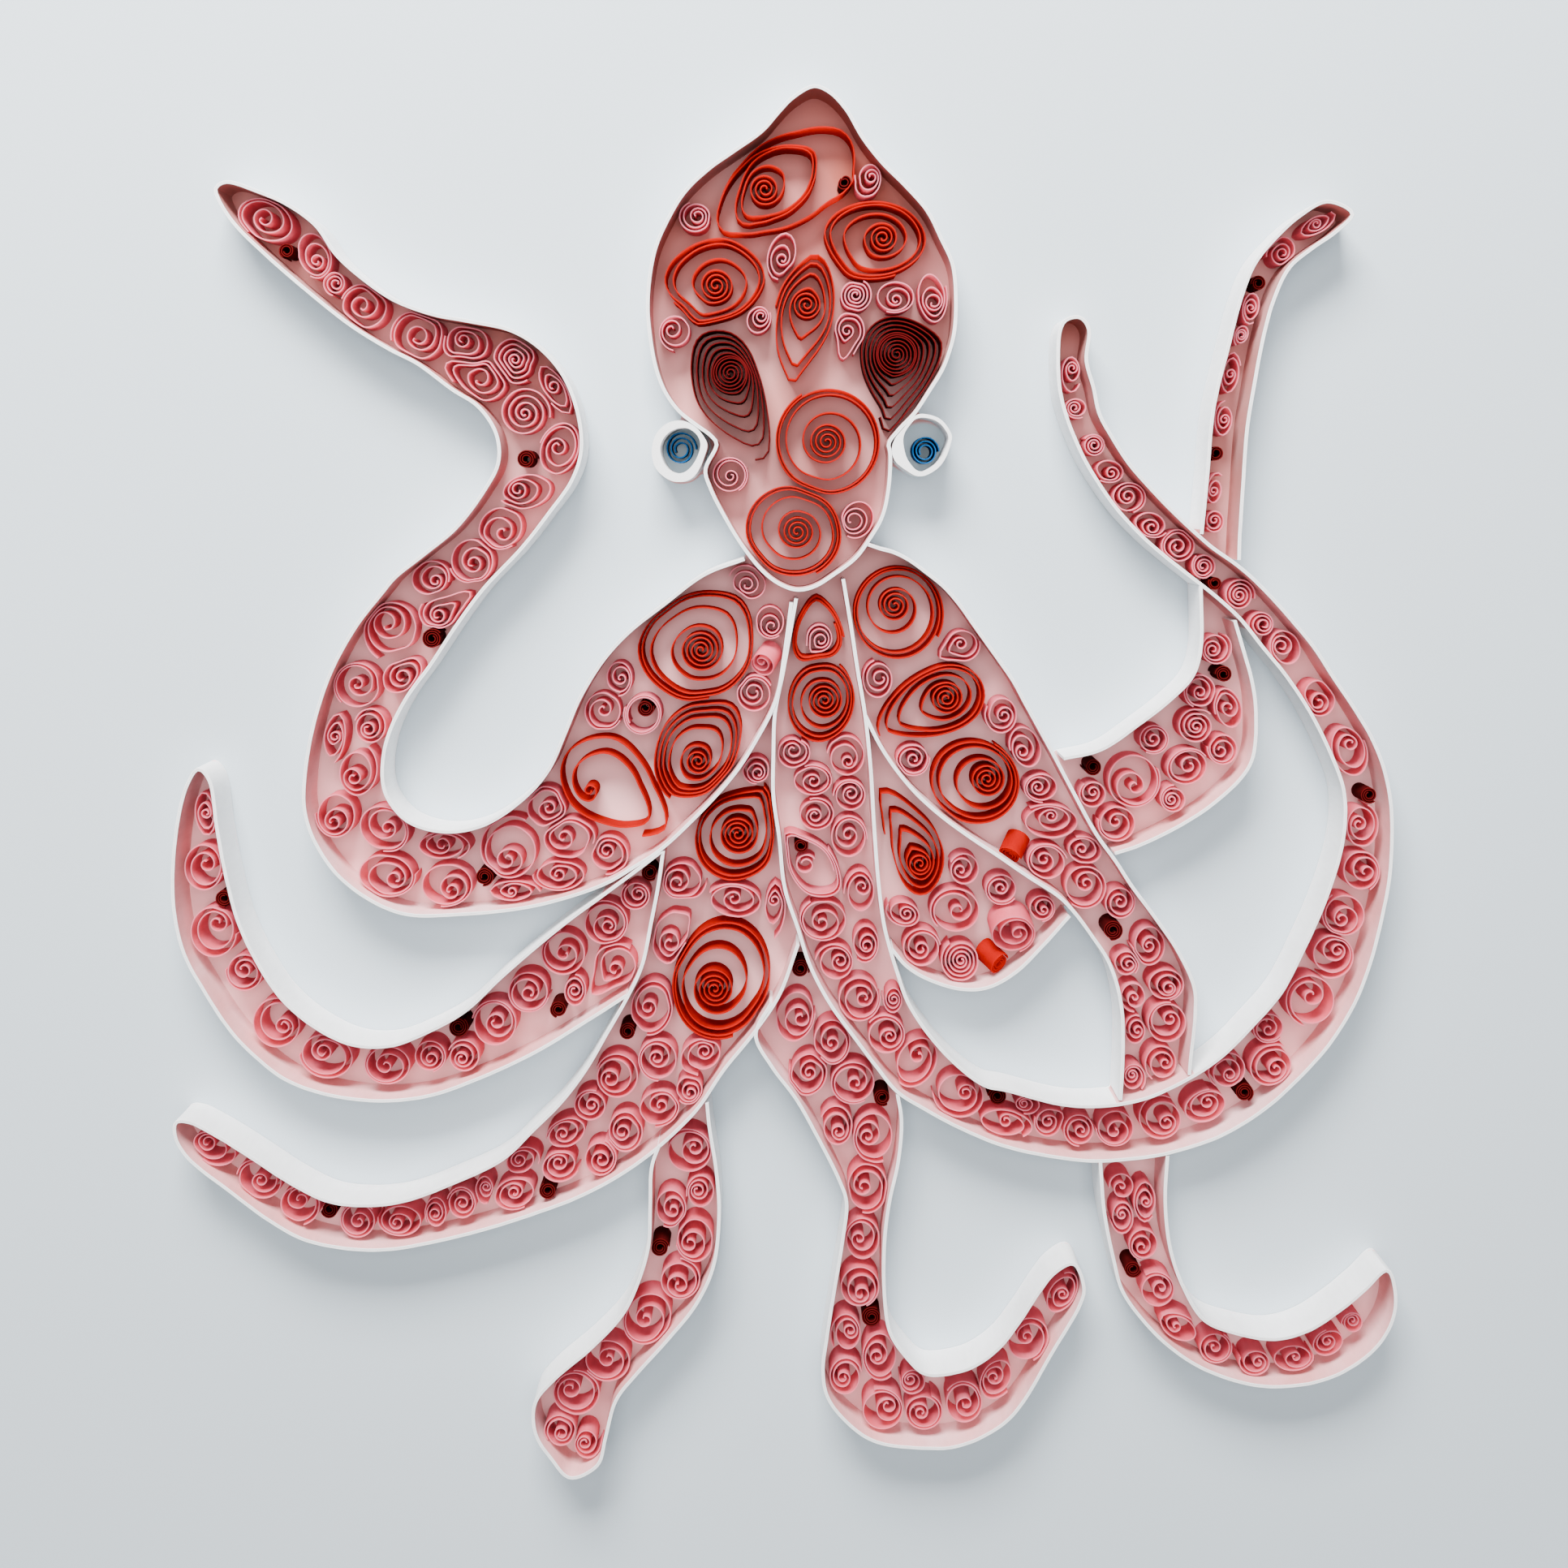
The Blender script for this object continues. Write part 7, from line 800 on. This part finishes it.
def inside(x, y):
    """Is the point over the card?"""
    odd = False
    for loop in CARD_LOOPS:
        x0, y0 = loop[-1]
        for x1, y1 in loop:
            if (y0 > y) != (y1 > y) and x < (x1 - x0) * (y - y0) / (y1 - y0) + x0:
                odd = not odd
            x0, y0 = x1, y1
    return odd


def wall(bm, line, closed, ph, drop):
    """Two layers of white paper on edge, with a fine seam along the top edge."""
    n = len(line)
    rings, side = [], []
    for i, (x, y) in enumerate(line):
        if closed:
            (xa, ya), (xb, yb) = line[i - 1], line[(i + 1) % n]
        else:
            (xa, ya), (xb, yb) = line[max(i - 1, 0)], line[min(i + 1, n - 1)]
        d = math.hypot(xb - xa, yb - ya) or 1.0
        nx, ny = -(yb - ya) / d, (xb - xa) / d
        side.append((inside(x - nx * 1.6, y - ny * 1.6), inside(x + nx * 1.6, y + ny * 1.6)))
        w1 = 0.11 * noise.noise(Vector((x * 0.09, y * 0.09, ph)))
        w2 = 0.10 * noise.noise(Vector((x * 0.35, y * 0.35, ph + 7.0)))
        zt = WALL_TOP - 0.12 - drop + w1 + w2
        zs = zt + 0.05 * noise.noise(Vector((x * 0.6, y * 0.6, ph + 3.0)))
        bow = 0.07 * noise.noise(Vector((x * 0.12, y * 0.12, ph + 11.0)))
        T = WALL_T / 2
        b = 0.07
        zm = (CARD_T + zt) / 2
        prof = [(-T, CARD_T, 0), (-T + bow, zm, 0), (-T, zt - b, 0), (-T + b, zt, 0), (-0.05, zt, 0), (0.0, zt - 0.10, 0), (0.05, zs, 0), (T - b, zs, 0), (T, zs - b, 0), (T + bow, zm, 0), (T, CARD_T, 0)]
        rings.append([bm.verts.new(((x + nx * o) * MM, (y + ny * o) * MM, z * MM)) for o, z, _ in prof])
    m = len(rings[0])
    for i in range(n if closed else n - 1):
        a, c = rings[i], rings[(i + 1) % n]
        for k in range(m):
            f = bm.faces.new((a[k], a[(k + 1) % m], c[(k + 1) % m], c[k]))
            f.smooth = True
            if (k < 2 and side[i][0]) or (7 < k < 10 and side[i][1]):
                f.material_index = 1
    if not closed:
        bm.faces.new(rings[0][::-1])
        bm.faces.new(rings[-1])


for k, (node, (closed, points)) in enumerate(WALLS.items()):
    bm = bmesh.new()
    wall(bm, even(through(points, closed, 8), 0.9, closed), closed, 3.7 * k, 0.03 * (k % 4))
    ob = finish_mesh(bm, node + "_paper", MAT["white_strip"], "white_strip", node)
    ob.data.materials.append(MAT["inner_strip"])

for name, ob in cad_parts.items():
    if name in COILS or name in WALLS:
        continue
    sl = slot_of(name)
    ob.data.materials.clear()
    ob.data.materials.append(MAT[sl])

# ---- stage, light, camera -----------------------------------------------------------------------
def floor():
    bm = bmesh.new()
    s, seg = 3.0, 24
    vs = [[bm.verts.new(((i / seg - 0.5) * s, (j / seg - 0.5) * s, -0.0001)) for i in range(seg + 1)] for j in range(seg + 1)]
    for j in range(seg):
        for i in range(seg):
            bm.faces.new((vs[j][i], vs[j][i + 1], vs[j + 1][i + 1], vs[j + 1][i]))
    me = bpy.data.meshes.new("floor")
    bm.to_mesh(me); bm.free()
    ob = bpy.data.objects.new("floor", me)
    bpy.context.scene.collection.objects.link(ob)
    me.materials.append(paper("floor_board", (0.60, 0.68, 0.74), (0.59, 0.67, 0.73), (0.61, 0.69, 0.75), (0.60, 0.68, 0.74), mottle=6.0, fibre=0.01, bump=0.05, rough=0.9))


floor()


def area(name, loc, size, energy, target=(0, 0, 0), color=(1, 1, 1)):
    li = bpy.data.lights.new(name, "AREA")
    li.shape = "RECTANGLE"; li.size, li.size_y = size
    li.energy = energy; li.color = color
    ob = bpy.data.objects.new(name, li)
    ob.location = loc
    ob.rotation_euler = (Vector(target) - Vector(loc)).to_track_quat("-Z", "Y").to_euler()
    bpy.context.scene.collection.objects.link(ob)


area("key", (-0.12, 0.62, 0.40), (0.40, 0.30), 21.0, color=(1.0, 0.985, 0.97))
area("top", (0.0, 0.15, 1.1), (0.9, 0.9), 12.5)
w = bpy.data.worlds.new("studio"); bpy.context.scene.world = w
w.use_nodes = True
w.node_tree.nodes["Background"].inputs[0].default_value = (0.95, 0.97, 1.0, 1)
w.node_tree.nodes["Background"].inputs[1].default_value = 0.20

# light that has passed or met paper this often adds nothing to see
if hasattr(bpy.context.scene, "cycles"):
    bpy.context.scene.cycles.max_bounces = 5
    bpy.context.scene.cycles.diffuse_bounces = 3
    bpy.context.scene.cycles.glossy_bounces = 2
    bpy.context.scene.cycles.transmission_bounces = 4

cam = bpy.data.cameras.new("camera")
cam.sensor_width = 36.0
cam.lens = 2022.0 / 1932.0 * 36.0
cam.shift_x = 0.0
cam.shift_y = -189.0 / 1932.0
cam.clip_start = 0.01
co = bpy.data.objects.new("camera", cam)
co.location = (-0.00083071, 0.06724261, 0.350)
co.rotation_euler = (math.radians(-5.0), 0.0, 0.0)
bpy.context.scene.collection.objects.link(co)
bpy.context.scene.camera = co

bpy.context.view_layer.update()
